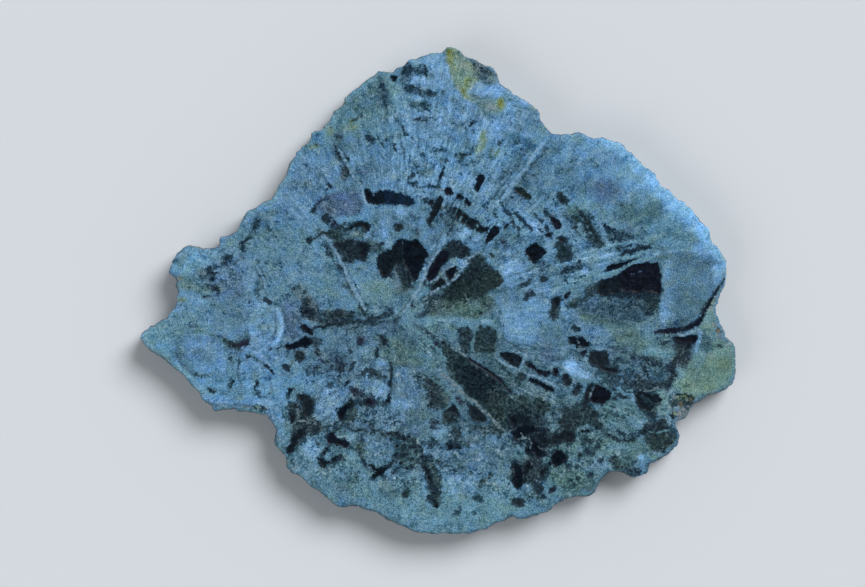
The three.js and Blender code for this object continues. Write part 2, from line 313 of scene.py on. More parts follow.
def G(x, y, rx, ry, ray=0.0, ring=0.0, speck=0.0):
    """Where the rays, the rings and the specks show."""
    GRAIN.append((x, y, rx, ry, ray, ring, speck))


# --- the broad colours, from the rim inwards
P("lav7", [(385, 72), (430, 50), (470, 60), (505, 92), (540, 128), (520, 152), (430, 135), (385, 122)], 10, 0.85)
P("teal6", [(318, 140), (345, 92), (385, 70), (400, 88), (400, 110), (372, 128), (335, 150)], 8, 0.95)
P("teal7", [(388, 80), (402, 78), (410, 100), (402, 113), (390, 110)], 3, 0.8)
P("lav6", [(246, 212), (285, 180), (305, 148), (330, 150), (345, 190), (300, 225), (262, 240)], 10, 0.7)
P("teal6", [(215, 245), (262, 222), (330, 236), (345, 285), (330, 310), (262, 300), (240, 262)], 14, 0.75)
P("lav6", [(270, 265), (300, 262), (306, 285), (275, 292)], 8, 0.55)
P("teal8", [(170, 268), (186, 248), (216, 250), (214, 262), (200, 270), (182, 276)], 4, 0.85)
P("teal6", [(176, 280), (205, 268), (215, 290), (205, 300), (178, 296)], 6, 0.6)
P("purp6", [(206, 262), (245, 255), (252, 290), (235, 302), (212, 292)], 7, 0.65)
P("teal7", [(140, 336), (175, 312), (200, 300), (240, 305), (240, 330), (190, 345), (165, 350)], 8, 0.7)
P("lav6", [(178, 335), (226, 328), (232, 375), (206, 376), (184, 358)], 8, 0.85)
P("lav7", [(246, 300), (280, 302), (284, 380), (250, 402), (238, 372), (248, 345)], 7, 0.9)
P("lav7", [(200, 392), (240, 400), (275, 392), (288, 425), (270, 418), (262, 404), (214, 406)], 6, 0.75)
P("purp6", [(282, 295), (302, 300), (304, 340), (284, 342)], 6, 0.7)
P("lav6", [(330, 338), (352, 332), (352, 352), (330, 356)], 5, 0.7)
P("slate6", [(305, 355), (352, 350), (350, 378), (318, 384), (303, 372)], 7, 0.85)
P("lav6", [(318, 384), (352, 380), (352, 400), (330, 404), (316, 398)], 6, 0.7)
P("slate6", [(352, 368), (388, 368), (388, 382), (352, 384)], 6, 0.6)
P("lav6", [(390, 364), (424, 366), (424, 408), (396, 412), (388, 390)], 7, 0.75)
P("slate6", [(370, 406), (420, 410), (420, 452), (372, 456), (352, 428)], 9, 0.6)
P("teal6", [(288, 408), (380, 452), (388, 500), (300, 468), (284, 440)], 12, 0.7)
P("lav7", [(302, 436), (322, 438), (320, 458), (306, 458)], 5, 0.55)
P("lav6", [(318, 398), (338, 396), (334, 416), (318, 414)], 5, 0.75)
P("teal6", [(320, 478), (390, 478), (408, 516), (370, 506), (330, 494)], 9, 0.7)
P("teal7", [(392, 476), (424, 474), (430, 528), (396, 516)], 7, 0.7)
P("teal7", [(420, 500), (505, 496), (520, 512), (470, 528), (425, 528)], 8, 0.75)
P("slate6", [(440, 440), (476, 446), (474, 470), (440, 470)], 8, 0.6)
P("lav7", [(446, 474), (476, 476), (478, 494), (448, 498)], 4, 0.9)
P("lav6", [(466, 440), (512, 436), (512, 470), (478, 474)], 8, 0.6)
P("grn5", [(556, 438), (604, 430), (650, 442), (640, 462), (604, 470), (594, 492), (552, 494), (542, 470)], 9, 0.8)
P("teal7", [(486, 484), (512, 484), (512, 514), (488, 520)], 6, 0.7)
P("lav6", [(660, 246), (722, 252), (724, 284), (704, 318), (662, 328)], 9, 0.75)
P("teal6", [(676, 292), (712, 292), (702, 318), (680, 326)], 7, 0.75)
P("lav6", [(560, 142), (600, 140), (640, 166), (650, 200), (600, 200), (572, 170)], 12, 0.7)
P("teal6", [(560, 200), (610, 214), (640, 240), (700, 240), (700, 216), (640, 190)], 12, 0.6)
P("purp6", [(590, 178), (622, 178), (626, 202), (596, 206)], 9, 0.75)
P("teal5", [(618, 200), (658, 206), (662, 224), (620, 222)], 9, 0.6)
P("lav7", [(655, 206), (690, 200), (706, 226), (690, 236), (664, 222)], 7, 0.75)
P("lav7", [(498, 252), (524, 262), (548, 300), (548, 332), (518, 346), (500, 332), (500, 290)], 7, 0.95)
P("lav7", [(536, 282), (550, 284), (550, 318), (540, 320)], 5, 0.6)
P("lav6", [(560, 300), (600, 296), (604, 344), (566, 330)], 9, 0.55)
P("slate6", [(580, 300), (640, 298), (656, 322), (610, 330), (584, 322)], 8, 0.75)
P("grn6", [(576, 316), (604, 316), (640, 326), (650, 350), (618, 354), (608, 330)], 7, 0.7)
P("olive6", [(610, 330), (640, 328), (644, 346), (616, 348)], 7, 0.5)
P("lav6", [(590, 326), (612, 328), (612, 348), (592, 348)], 6, 0.6)
P("purp6", [(606, 346), (632, 346), (632, 356), (606, 358)], 4, 0.6)
P("teal6", [(645, 336), (674, 340), (674, 360), (646, 362)], 5, 0.75)
P("teal8", [(646, 347), (668, 348), (677, 353), (674, 360), (652, 358)], 2.4, 0.75)
P("slate7", [(608, 356), (640, 356), (642, 388), (612, 392)], 7, 0.75)
P("teal5", [(600, 400), (640, 396), (640, 430), (604, 430)], 8, 0.7)
P("rind", [(694, 356), (716, 340), (734, 345), (734, 386), (700, 396), (676, 392), (668, 384), (684, 368)], 4, 0.95)
P("rindp", [(716, 336), (733, 342), (733, 356), (712, 352)], 3, 0.6)
P("teal7", [(690, 352), (706, 352), (704, 368), (684, 372), (672, 386), (668, 382), (680, 366)], 4, 0.75)
P("rindp", [(706, 296), (714, 304), (716, 330), (722, 346), (704, 336), (700, 322)], 3, 0.85)
P("rindp", [(652, 390), (672, 392), (670, 416), (656, 418), (650, 404)], 4, 0.85)
P("lav8", [(498, 200), (506, 202), (500, 214), (494, 212)], 4, 0.5)

B("olive5", 455, 385, 175, 85, 0.27)
B("slate7", 430, 262, 40, 26, 0.35)
B("slate7", 455, 345, 70, 24, 0.30)
B("slate6", 470, 56, 24, 12, 0.5)
B("slate6", 672, 262, 30, 12, 0.4)
B("slate6", 560, 300, 46, 40, 0.22)
B("lav7", 390, 418, 26, 20, 0.35)
B("lav7", 352, 380, 30, 24, 0.35)
B("lav7", 190, 382, 36, 22, 0.35)
B("lav7", 432, 462, 26, 20, 0.30)
B("lav7", 630, 384, 30, 20, 0.25)
B("teal8", 592, 462, 34, 20, 0.35)
B("lav7", 230, 262, 40, 22, 0.30)
B("olive5", 350, 345, 34, 24, 0.20)
B("olive5", 450, 342, 60, 22, 0.18)
B("grn5", 550, 428, 44, 30, 0.25)
B("grn5", 515, 462, 34, 26, 0.30)
B("grn5", 540, 500, 44, 20, 0.20)
B("olive5", 672, 345, 26, 30, 0.40)
B("olive5", 615, 303, 50, 26, 0.34)
B("grn5", 668, 280, 32, 40, 0.32)
B("grn6", 420, 298, 62, 26, 0.36)
B("teal5", 512, 300, 30, 32, 0.40)
B("lav8", 440, 166, 78, 40, 0.42)
B("lav8", 470, 184, 30, 18, 0.35)
B("lav7", 634, 176, 42, 28, 0.50)
B("lav7", 592, 146, 44, 16, 0.40)
B("lav7", 530, 218, 42, 20, 0.40)
B("lav7", 308, 262, 26, 22, 0.40)
B("lav7", 190, 302, 26, 16, 0.45)
B("lav7", 592, 462, 28, 18, 0.50)
B("lav6", 200, 376, 32, 20, 0.35)
B("teal8", 508, 102, 18, 14, 0.50)
B("slate6", 352, 178, 26, 16, 0.34)
B("slate7", 390, 222, 26, 14, 0.24)
B("slate6", 470, 222, 24, 12, 0.28)
B("slate6", 510, 140, 26, 16, 0.34)
B("slate6", 552, 142, 22, 14, 0.22)
B("slate6", 352, 140, 26, 14, 0.26)
B("slate7", 430, 342, 26, 16, 0.42)
B("olive5", 510, 382, 26, 16, 0.34)
B("lav7", 632, 384, 26, 16, 0.40)
B("lav7", 632, 178, 26, 16, 0.36)
B("lav7", 268, 396, 26, 26, 0.36)
B("lav7", 194, 384, 28, 18, 0.30)
B("teal8", 152, 340, 14, 10, 0.40)
B("lav7", 312, 142, 14, 12, 0.40)
B("lav6", 300, 250, 150, 110, 0.16)
B("lav6", 210, 350, 90, 60, 0.20)
B("lav7", 400, 150, 120, 60, 0.16)
B("lav6", 330, 380, 60, 50, 0.22)
B("lav6", 520, 300, 60, 60, 0.16)
B("grn6", 592, 430, 100, 60, 0.26)
B("teal7", 470, 504, 130, 30, 0.30)
B("grn6", 640, 366, 54, 40, 0.24)
B("grn6", 690, 284, 34, 40, 0.22)
B("teal5", 672, 210, 44, 50, 0.40)
B("teal6", 640, 170, 40, 30, 0.25)
B("slate6", 440, 110, 60, 40, 0.14)
B("olive6", 705, 368, 30, 26, 0.22)
B("slate6", 470, 58, 26, 14, 0.3)
B("az7", 150, 340, 30, 20, 0.30)
B("az7", 192, 382, 42, 24, 0.30)
B("az7", 232, 380, 38, 26, 0.28)
B("az7", 272, 388, 30, 32, 0.30)
B("az7", 272, 422, 28, 16, 0.30)
B("az7", 308, 142, 26, 18, 0.30)
B("az7", 312, 380, 28, 20, 0.25)
B("az7", 630, 382, 28, 20, 0.40)
B("az7", 512, 220, 32, 16, 0.30)
B("az7", 352, 220, 26, 16, 0.26)
B("az7", 632, 180, 38, 24, 0.26)
B("az7", 524, 318, 28, 34, 0.25)
B("slate7", 430, 342, 22, 14, 0.50)
B("slate7", 430, 262, 24, 16, 0.25)
B("slate7", 450, 222, 28, 14, 0.20)
B("slate7", 430, 384, 16, 14, 0.22)
B("slate6", 672, 262, 22, 12, 0.25)
B("slate6", 408, 390, 16, 13, 0.45)
B("teal5", 379, 452, 15, 12, 0.30)
B("az7", 188, 258, 24, 14, 0.40)
B("az7", 156, 350, 16, 13, 0.40)
B("lav7", 632, 384, 24, 16, 0.40)
B("teal8", 420, 66, 26, 16, 0.30)
B("az7", 430, 100, 40, 20, 0.25)
B("lav8", 516, 104, 22, 18, 0.35)
B("az7", 540, 150, 70, 30, 0.22)
B("az7", 600, 186, 50, 26, 0.26)
B("lav7", 640, 186, 34, 22, 0.35)
B("az7", 672, 226, 34, 24, 0.32)
B("az7", 440, 150, 70, 34, 0.20)
B("slate7", 448, 225, 30, 14, 0.22)
B("slate6", 390, 222, 26, 12, 0.25)
B("slate6", 230, 305, 22, 16, 0.30)
B("slate6", 272, 344, 20, 14, 0.25)
B("slate6", 150, 338, 20, 14, 0.18)
B("slate7", 470, 420, 26, 18, 0.22)
B("slate6", 512, 460, 24, 18, 0.30)
B("slate6", 470, 462, 24, 18, 0.25)
B("slate7", 430, 344, 24, 14, 0.25)
B("slate6", 390, 300, 20, 12, 0.20)
B("lav6", 592, 302, 20, 12, 0.30)
B("az7", 314, 302, 14, 12, 0.20)
B("slate6", 400, 382, 16, 12, 0.20)
B("slate7", 474, 60, 16, 8, 0.30)
B("slate6", 550, 342, 18, 14, 0.30)
B("teal5", 510, 460, 18, 14, 0.25)
B("lav8", 430, 62, 24, 12, 0.25)
B("az7", 508, 102, 22, 18, 0.25)
B("slate6", 350, 100, 22, 14, 0.30)
B("slate5", 310, 180, 24, 16, 0.30)
B("az7", 590, 140, 24, 12, 0.25)
B("olive6", 510, 458, 14, 10, 0.20)
B("slate6", 414, 383, 16, 14, 0.32)
B("teal5", 446, 334, 14, 8, 0.45)
B("teal5", 414, 357, 20, 14, 0.25)
B("grn5", 497, 365, 10, 9, 0.35)

# --- the top lobe
P("ochg", [(445, 49), (452, 46), (461, 53), (468, 60), (476, 64), (482, 70), (480, 80), (470, 87), (466, 92), (468, 100), (463, 97), (455, 87), (450, 74), (446, 61)], 1.6, 0.92, 1.0)
B("och", 450, 55, 5, 8, 0.75, -15)
B("ochl", 457, 74, 5, 12, 0.45, -20)
P("ochl", [(464, 76), (472, 75), (476, 80), (469, 86), (465, 94), (462, 90)], 1.8, 0.8)
B("och", 466, 82, 3, 6, 0.5)
B("ochl", 464, 95, 3, 5, 0.6)
B("pink", 463, 66, 7, 5, 0.4)
B("brown5", 485, 69, 5, 2.5, 0.75, 15)
B("slate8", 489, 72, 4, 2.4, 0.6)
B("olive6", 475, 65, 3.5, 3, 0.6)
P("brown6", [(470, 61), (484, 65), (495, 73), (497, 84), (484, 84), (474, 76)], 2.5, 0.75, 1.4)
P("teal5", [(480, 76), (495, 74), (496, 84), (484, 86)], 3, 0.6)
P("sky", [(478, 86), (499, 86), (499, 97), (482, 97)], 3, 0.55)
S("brown5", 4, [(470, 95), (476, 97), (481, 99)], 1.5, 0.6)
B("teal5", 486, 106, 8, 8, 0.7)
B("pink", 491, 106, 5, 6, 0.6)
B("och", 501, 104, 4, 7, 0.75)
B("ochl", 500, 108, 6, 6, 0.4)
B("lav8", 524, 104, 12, 8, 0.5, 30)
B("lav8", 440, 76, 10, 14, 0.55)
B("lav8", 435, 58, 14, 4, 0.5)
B("lav8", 417, 78, 8, 4, 0.6)
P("slate7", [(400, 70), (409, 62), (416, 67), (422, 68), (423, 76), (415, 74), (412, 79), (408, 85), (401, 81), (399, 74)], 1.3, 0.8, 2.2)
S("slate8", 3.6, [(424, 66), (426, 72), (427, 77)], 1.0, 0.8, 1.0)
B("slate7", 431, 75, 3, 3, 0.5)
C("ink", [(391, 76), (396, 75), (397, 80), (393, 82)], 0.6)
P("slate7", [(402, 89), (408, 85), (418, 84), (426, 90), (437, 92), (438, 96), (428, 98), (414, 95), (406, 93)], 1.4, 0.85, 2.0)
P("teal4", [(411, 101), (430, 100), (431, 110), (421, 112), (411, 107)], 2, 0.8, 1.8)
P("slate7", [(377, 72), (383, 80), (388, 90), (391, 108), (382, 110), (377, 98), (378, 86)], 2.6, 0.72, 1.6)
B("slate6", 372, 102, 5, 12, 0.35)
S("slate8", 3.2, [(414, 120), (420, 121), (426, 120)], 1.0, 0.9, 1.0)
S("slate8", 1.3, [(417, 117), (426, 117), (434, 118)], 0.8, 0.8)
D("slate8", 452.5, 124, 1.6)
L("ink", 2.2, [(470, 125), (475, 122)])
S("slate7", 3, [(456, 124), (466, 123)], 2, 0.5)
L("slate9", 1.6, [(402, 127), (406, 134)])
L("slate9", 1.5, [(392.5, 143), (395.5, 149)])
S("slate7", 3, [(402, 143), (404, 152), (404, 159)], 1.3, 0.6)
S("slate7", 1.8, [(412, 131), (430, 133), (446, 140), (458, 139)], 2, 0.3)
B("slate6", 452, 138, 6, 4, 0.5)
B("slate6", 425, 125, 16, 4, 0.35)
B("sky", 495, 128, 6, 14, 0.75)
B("sky", 490, 92, 8, 5, 0.5)
P("ochl", [(480, 131), (486, 130), (487, 141), (485, 150), (479, 152), (476, 158), (474, 150), (479, 142)], 1.8, 0.75, 1.4)
B("teal5", 484, 144, 4, 5, 0.4)
P("grn6", [(492, 146), (500, 148), (498, 156), (491, 161), (487, 158)], 2, 0.75)
B("ochl", 494, 152, 3, 3, 0.4)
B("grn6", 470, 146, 8, 7, 0.35)
P("teal4", [(457, 154), (464, 153), (466, 158), (460, 163), (456, 160)], 1.6, 0.85)
S("slate8", 2.2, [(459, 154), (465, 155), (471, 154)], 0.9, 0.8)
S("slate8", 1.8, [(470, 154), (474, 150)], 0.9, 0.7)
D("slate8", 474, 162.5, 1.4)
B("teal5", 488, 161, 8, 4, 0.5)

# --- rays and dashes of the upper face
P("azd", [(505, 134), (515, 133), (525, 137), (533, 143), (538, 151), (531, 151), (521, 144), (511, 140)], 2.2, 0.8, 1.2)
B("azd", 514, 146, 4, 3.4, 0.8)
B("azd", 529, 145, 4, 4, 0.5)
L("slate9", 1.8, [(499, 145), (502, 140.5)])
B("slate7", 545, 149, 5, 4, 0.55, 20)
S("slate7", 9, [(523, 150), (512, 166), (502, 184)], 4, 0.45)
S("slate6", 14, [(545, 152), (536, 170), (524, 186)], 6, 0.6)
B("slate6", 520, 128, 14, 4, 0.4, 20)
B("slate7", 558, 152, 4, 5, 0.4)
B("grn5", 568, 170, 5, 4, 0.6)
B("teal4", 569, 170, 2.4, 2, 0.6)
B("teal7", 577, 140, 9, 6, 0.6)
B("rindp", 543, 132, 4, 6, 0.5, -30)
B("rind", 576, 136, 5, 3, 0.35)
B("purp6", 605, 188, 12, 10, 0.35)
V("veinb", 2.6, [(540, 146), (533, 155), (526, 166), (519, 176), (512, 185), (505, 197)], 0.05)
S("lav8", 4, [(543, 143), (530, 161), (517, 179)], 2, 0.35)
V("lav7", 2.0, [(498, 146), (492, 156), (486, 166)], 0.03)
S("slate8", 3, [(505, 190), (500, 199)], 1.4, 0.75)
B("slate8", 509, 184, 3, 5, 0.5, 25)
S("slate6", 2.4, [(497, 166), (490, 178), (484, 192)], 1.5, 0.45)
S("lav8", 2.2, [(470, 160), (466, 172), (460, 186)], 1.4, 0.4)
S("lav8", 2.4, [(436, 160), (436, 174), (434, 186)], 1.2, 0.6)
S("slate7", 1.8, [(441, 158), (441, 166)], 0.8, 0.7)
S("slate8", 1.8, [(446, 158.5), (445.5, 163)], 0.8, 0.8)
D("slate8", 448, 160.5, 1.2)
S("teal4", 3, [(438, 151), (447, 150)], 1.4, 0.7)
B("slate6", 432, 149, 5, 3, 0.35)
L("ink", 2.3, [(444, 166), (442, 172), (440, 178), (438, 183)], taper=0.7)
B("teal5", 428, 173, 9, 5, 0.5)
B("slate7", 420, 172, 4, 3, 0.5)
S("slate8", 2.8, [(423, 186), (431, 186), (440, 187)], 1.0, 0.75, 1.2)
S("slate8", 3.2, [(410, 178), (414, 174)], 0.9, 0.9, 0.8)
P("slate8", [(407, 181), (411, 182), (416, 186), (417, 188), (411, 187)], 1.0, 0.85, 1.4)
B("slate7", 420, 177, 2.5, 2, 0.6)
B("lav8", 428, 192, 12, 5, 0.45)
B("lav8", 386, 180, 10, 6, 0.4)
B("lav8", 400, 182, 5, 8, 0.4)
B("lav8", 384, 205 + 3, 12, 4, 0.4)
C("ink", [(478, 175), (482, 173.5), (485, 177), (483.5, 181), (480.5, 186), (479, 190), (476, 191.5), (474.5, 188), (477, 182)], 0.5)
B("slate7", 476, 174, 4, 3, 0.5)
C("inkp", [(444, 190), (449, 187), (452.5, 190), (452, 195), (447, 195)], 0.9)
S("brown5", 3, [(438, 189), (444, 190)], 1.2, 0.6)
C("ink", [(456, 194), (459.5, 192.5), (464, 196), (461, 200.5), (456, 199)], 0.5)
C("ink", [(464.5, 200), (467, 198.5), (471, 203), (468.5, 206), (463, 203.5)], 0.5)
S("teal5", 3, [(460, 187), (470, 191), (478, 197)], 1.5, 0.5)
B("teal8", 470, 190, 6, 4, 0.4)
C("inkb", [(424, 200), (433, 200.5), (435, 203), (433, 206), (426, 204)], 1.0)
C("inkb", [(440, 196), (443.5, 199), (440.5, 208), (437, 214), (433, 219), (430.5, 226), (427, 224.5), (430, 215), (433, 206), (436, 201)], 0.7)
S("slate9", 3, [(441, 210), (446, 207)], 0.8, 0.8)
D("slate9", 441, 214.5, 1.7)
B("slate7", 447, 203, 4, 5, 0.55)
C("inkb", [(453, 208), (459, 208), (464, 212), (470, 218), (476, 219.5), (481, 224), (484.5, 228), (485, 231.5), (479, 233), (473, 229), (467, 226), (460, 222), (455, 216)], 1.1)
C("ink", [(468, 218), (475, 219), (481, 224), (485, 229), (480, 232), (473, 229), (468, 226)], 0.8)
P("slate8", [(450, 208), (456, 207), (460, 214), (456, 220), (450, 218)], 1.6, 0.75, 1.6)
C("ink", [(484, 228.5), (492, 226.5), (499, 227), (500, 231), (495, 236), (489, 242), (486, 244), (486.5, 236)], 0.7)
S("slate8", 7, [(449, 214), (449, 226), (447, 236)], 2.5, 0.5, 1.5)
B("sky", 464, 232, 8, 9, 0.8, 30)
B("lav8", 476, 238, 8, 5, 0.6)
D("slate9", 470.5, 236.5, 1.6)
S("slate8", 1.4, [(472, 241), (477, 244)], 0.8, 0.6)
S("lav8", 5, [(450, 228), (445, 237), (439, 247)], 1.6, 0.7)
S("lav7", 3, [(436, 240), (431, 250)], 1.5, 0.6)
B("slate6", 432, 234, 6, 10, 0.4)
S("slate8", 3, [(442, 232), (436, 244)], 1.4, 0.45)
C("olive3", [(514.5, 187), (521, 188), (527, 193), (532.5, 196), (530, 199.5), (523, 198), (517, 192)], 1.1)
C("inkb", [(509, 197), (513, 196), (514.5, 198.5), (511, 200)], 0.7)
B("brown5", 520, 199, 6, 3, 0.4)
B("teal5", 500, 190, 5, 6, 0.4)
C("inkb", [(503.5, 227.5), (507, 223.5), (509, 226), (505.5, 229)], 0.8)
L("slate9", 2, [(510.5, 222.5), (513.5, 221)])
B("grn6", 520, 216, 8, 5, 0.4, 30)
S("slate7", 2.4, [(530, 212), (534, 215), (538, 218)], 1.1, 0.7)
D("slate8", 541, 220, 1.7)
B("slate8", 546, 209, 4, 2.5, 0.7)
D("slate9", 547, 228.5, 1.9)
B("teal5", 538, 208, 5, 3, 0.5)
S("slate8", 3, [(545, 212), (550, 217)], 0.9, 0.85)
C("inkp", [(550, 217), (554, 217), (559.5, 221), (562, 224), (559, 228.5), (555, 229), (551.5, 223)], 0.7)
B("brown6", 553, 215, 5, 2, 0.5)
C("halo", [(556.5, 192), (561, 191.5), (566, 197), (570, 202), (565, 205), (559, 202.5), (556.5, 197)], 1.3)
B("rust", 561, 194, 2.5, 2.5, 0.5)
C("olive4", [(573, 216), (578.5, 217), (578, 221.5), (573, 220)], 1.0)
P("grn5", [(564, 206), (578, 208), (580, 216), (568, 216)], 3, 0.7, 1.4)
P("slate8", [(580, 211), (586, 214), (590, 221), (596, 229), (601, 237), (603, 246), (594, 247), (590, 240), (585, 231), (581, 221)], 1.6, 0.85, 2.2)
P("slate9", [(584, 215), (588, 218), (592, 226), (588, 228), (584, 222)], 1.4, 0.6, 1.6)
S("lav7", 3, [(574, 206), (586, 224), (592, 244)], 1.6, 0.3)
B("brown5", 585, 222, 3, 6, 0.4, -25)
P("slate8", [(603, 222), (609, 226), (612, 230), (606, 229), (602, 226)], 1.2, 0.8, 1.2)
P("slate7", [(604, 226), (612, 228), (621, 229), (628, 231), (635, 237), (626, 242), (616, 245), (609, 243), (606, 236)], 1.6, 0.9, 2.0)
P("slate9", [(611, 231), (619, 231), (621, 235), (614, 238)], 1.4, 0.5, 1.6)
B("pink", 614, 244, 3, 2.5, 0.3)
B("slate7", 618, 248, 5, 3, 0.5)
B("purp5", 630, 229, 4, 4, 0.6)
B("slate7", 642, 230, 6, 6, 0.4)
S("slate7", 2, [(620, 202), (624, 207)], 1, 0.6)
B("slate6", 604, 203, 4, 2, 0.6, -20)
B("teal8", 654, 238, 8, 8, 0.5)
B("rindp", 653, 240, 7, 5, 0.5)

# --- the dark blobs left of the middle, and their pale seams
P("purp6", [(318, 200), (345, 196), (362, 198), (360, 212), (335, 216), (316, 212)], 4, 0.85, 1.4)
P("slate5", [(335, 176), (356, 182), (362, 198), (340, 198)], 5, 0.5)
S("lav8", 3, [(362, 184), (364, 195), (366, 206)], 1.4, 0.6)
V("veinb", 2.0, [(361, 184), (363, 193), (366, 206)], 0.05)
C("ink", [(364, 189), (366.5, 189), (370, 190.5), (372.5, 195), (374.5, 197), (376, 192.5), (379, 190), (384, 190.5), (385, 204), (380, 204), (370, 203.5), (366, 202), (365, 196)], 0.8)
C("navy", [(382, 190.5), (390, 191), (400, 193), (407, 196), (411, 198), (414.5, 200.5), (413.5, 204.5), (410, 206), (404, 205), (396, 205), (390, 204), (382, 204)], 0.8)
B("teal6", 409, 193, 4, 3, 0.5)
B("lav8", 401, 212, 7, 9, 0.65)
B("sky", 404, 210, 4, 6, 0.3)
B("teal8", 404, 219, 8, 4, 0.5)
S("slate8", 3.4, [(411, 214), (415, 217), (420, 217)], 1.2, 0.7, 1.2)
B("slate7", 428, 219, 4, 4, 0.4)
L("slate9", 4, [(428, 221), (429.5, 225)])
C("slate9", [(321, 217), (326, 213.5), (330, 216), (330, 221), (325, 223), (321.5, 221)], 1.0)
P("purp5", [(329, 216), (334, 220), (339, 228), (334, 229), (329, 223)], 1.2, 0.85, 1.0)
S("inkp", 1.6, [(331, 216), (335, 222), (338, 228)], 0.8, 0.8)
S("slate8", 1.8, [(312.5, 211), (316, 206), (321, 202), (325, 198), (329, 195)], 0.9, 0.7)
L("slate9", 2.4, [(312.5, 212), (314, 208)])
S("brown5", 2.4, [(337, 230), (341, 226), (346, 222)], 0.9, 0.9)
P("olive5", [(326, 231), (336, 228), (343, 232), (346, 238), (338, 240), (330, 237)], 1.6, 0.7, 1.4)
S("olive4", 3.2, [(324, 232), (331, 235), (336, 239)], 1.0, 0.8)
C("inkb", [(345, 230), (350, 226), (356, 223), (363, 221), (369, 223.5), (370.5, 229), (367, 231.5), (363.5, 226.5), (356, 226.5), (349, 230.5)], 1.0)
B("rust", 365, 225, 3, 3, 0.3)
B("teal6", 362, 222, 4, 2.5, 0.4)
S("slate8", 2.6, [(353.5, 210), (355, 212)], 0.8, 0.8)
S("slate8", 2.6, [(358.5, 210), (359.5, 212)], 0.8, 0.8)
B("lav6", 355, 234, 6, 5, 0.6)
B("lav7", 385, 226, 7, 13, 0.75)
B("lav8", 383, 236, 7, 7, 0.7)
B("lav8", 366, 237, 4, 3, 0.5)
S("lav7", 2, [(367, 230), (374, 240), (385, 247), (394, 241), (397, 236)], 1.0, 0.7)
D("slate9", 382, 243.5, 1.8)
B("slate8", 373, 234, 4, 5, 0.5)
P("brown4", [(394, 224), (399, 221.5), (403, 225), (402.5, 231), (397, 232), (393.5, 228)], 1.0, 0.95, 1.0)
B("inkb", 399, 227, 3, 3, 0.4)
B("teal6", 412, 228, 6, 5, 0.4)
S("slate8", 3, [(417, 229), (418, 234)], 1.0, 0.8)
B("slate8", 414, 231, 4, 2, 0.4)
P("brown4", [(331, 242), (340, 239), (352, 240), (363, 241), (369, 243), (370, 251), (367, 260), (356, 260), (350, 263), (343, 259), (336, 251)], 1.6, 0.97, 1.8)
P("inkb", [(334, 241), (346, 241), (352, 248), (348, 254), (340, 250)], 1.6, 0.75, 1.8)
C("inkb", [(359, 244), (363, 242), (368, 244), (368.5, 250), (366, 257), (361, 256), (358, 250)], 1.6, 0.18)
P("brown3", [(346, 246), (360, 250), (358, 256), (348, 256)], 1.6, 0.6, 1.8)
P("slate8", [(322, 240), (328, 242), (334, 254), (330, 257), (324, 250)], 2, 0.7, 1.4)
L("slate9", 4, [(309, 239.5), (309.5, 243)])
S("brown5", 2.6, [(310, 240), (316, 238), (322, 233), (328, 236), (334, 240)], 1.0, 0.85)
B("rust", 320, 231, 6, 3, 0.35)
V("veinb", 2.8, [(323, 235), (328, 239), (333, 247), (339, 258), (344, 268), (349, 279), (354, 290), (360, 300), (366, 311)], 0.06)
S("slate8", 2.0, [(331, 257), (337, 266), (343, 276)], 0.9, 0.55)
D("slate9", 342, 268.5, 1.3)
S("teal5", 3, [(372, 262), (380, 268), (384, 280)], 2, 0.3)
S("rust", 3.5, [(346, 283), (351, 291), (354, 296)], 1.6, 0.4)
S("lav8", 5, [(352, 276), (358, 286), (364, 296)], 2.5, 0.5)
P("brown4", [(392, 250), (408, 256), (412, 268), (411, 284), (404, 288), (400, 276), (393, 268), (386, 278), (380, 272)], 2.6, 0.8, 2.0)
C("inkb", [(397, 240), (403, 238), (404, 250), (403, 261), (399, 267), (396, 262), (393, 267), (390, 274), (386, 278), (382, 277), (379, 270), (376, 263), (377, 256.5), (383, 251.5), (390, 249.5), (393, 244)], 1.5, 0.24)
C("ink", [(402, 238.5), (409, 241), (418, 239.5), (421.5, 245), (427, 251), (427.5, 258), (423.5, 263), (421, 271), (417, 280), (412.5, 281), (409.5, 274), (407, 267), (404, 263), (402, 257), (403, 248)], 0.9, 0.28)
L("inkb", 2.2, [(407, 266), (408.5, 276), (410, 286)], 0.15, 0.6)
L("inkb", 1.8, [(402, 264), (403.5, 271), (405, 279)], 0.12, 0.6)
L("brown3", 1.8, [(392, 262), (391, 270), (390, 279)], 0.12, 0.6)
S("brown4", 1.6, [(398, 264), (399, 271), (400, 278)], 0.8, 0.7)
P("brown6", [(391, 268), (400, 267), (408, 276), (412, 284), (404, 296), (392, 288)], 3, 0.55, 1.4)
P("olive4", [(402, 276), (409, 278), (416, 284), (412, 292), (404, 292), (401, 286)], 2, 0.6, 2.2)
B("grn6", 378, 288, 16, 10, 0.5)
B("teal7", 380, 300, 20, 6, 0.4)
S("lav7", 4, [(426, 250), (424, 264), (422, 274), (424, 282)], 1.2, 0.6)
V("veinb", 2.0, [(446, 240), (438, 252), (430, 263), (425, 274), (420, 286), (412, 300), (404, 312)], 0.05)
S("lav6", 3, [(424, 290), (416, 300), (408, 310)], 1.4, 0.5)
S("slate8", 3, [(413, 300), (412, 306)], 1.2, 0.6)

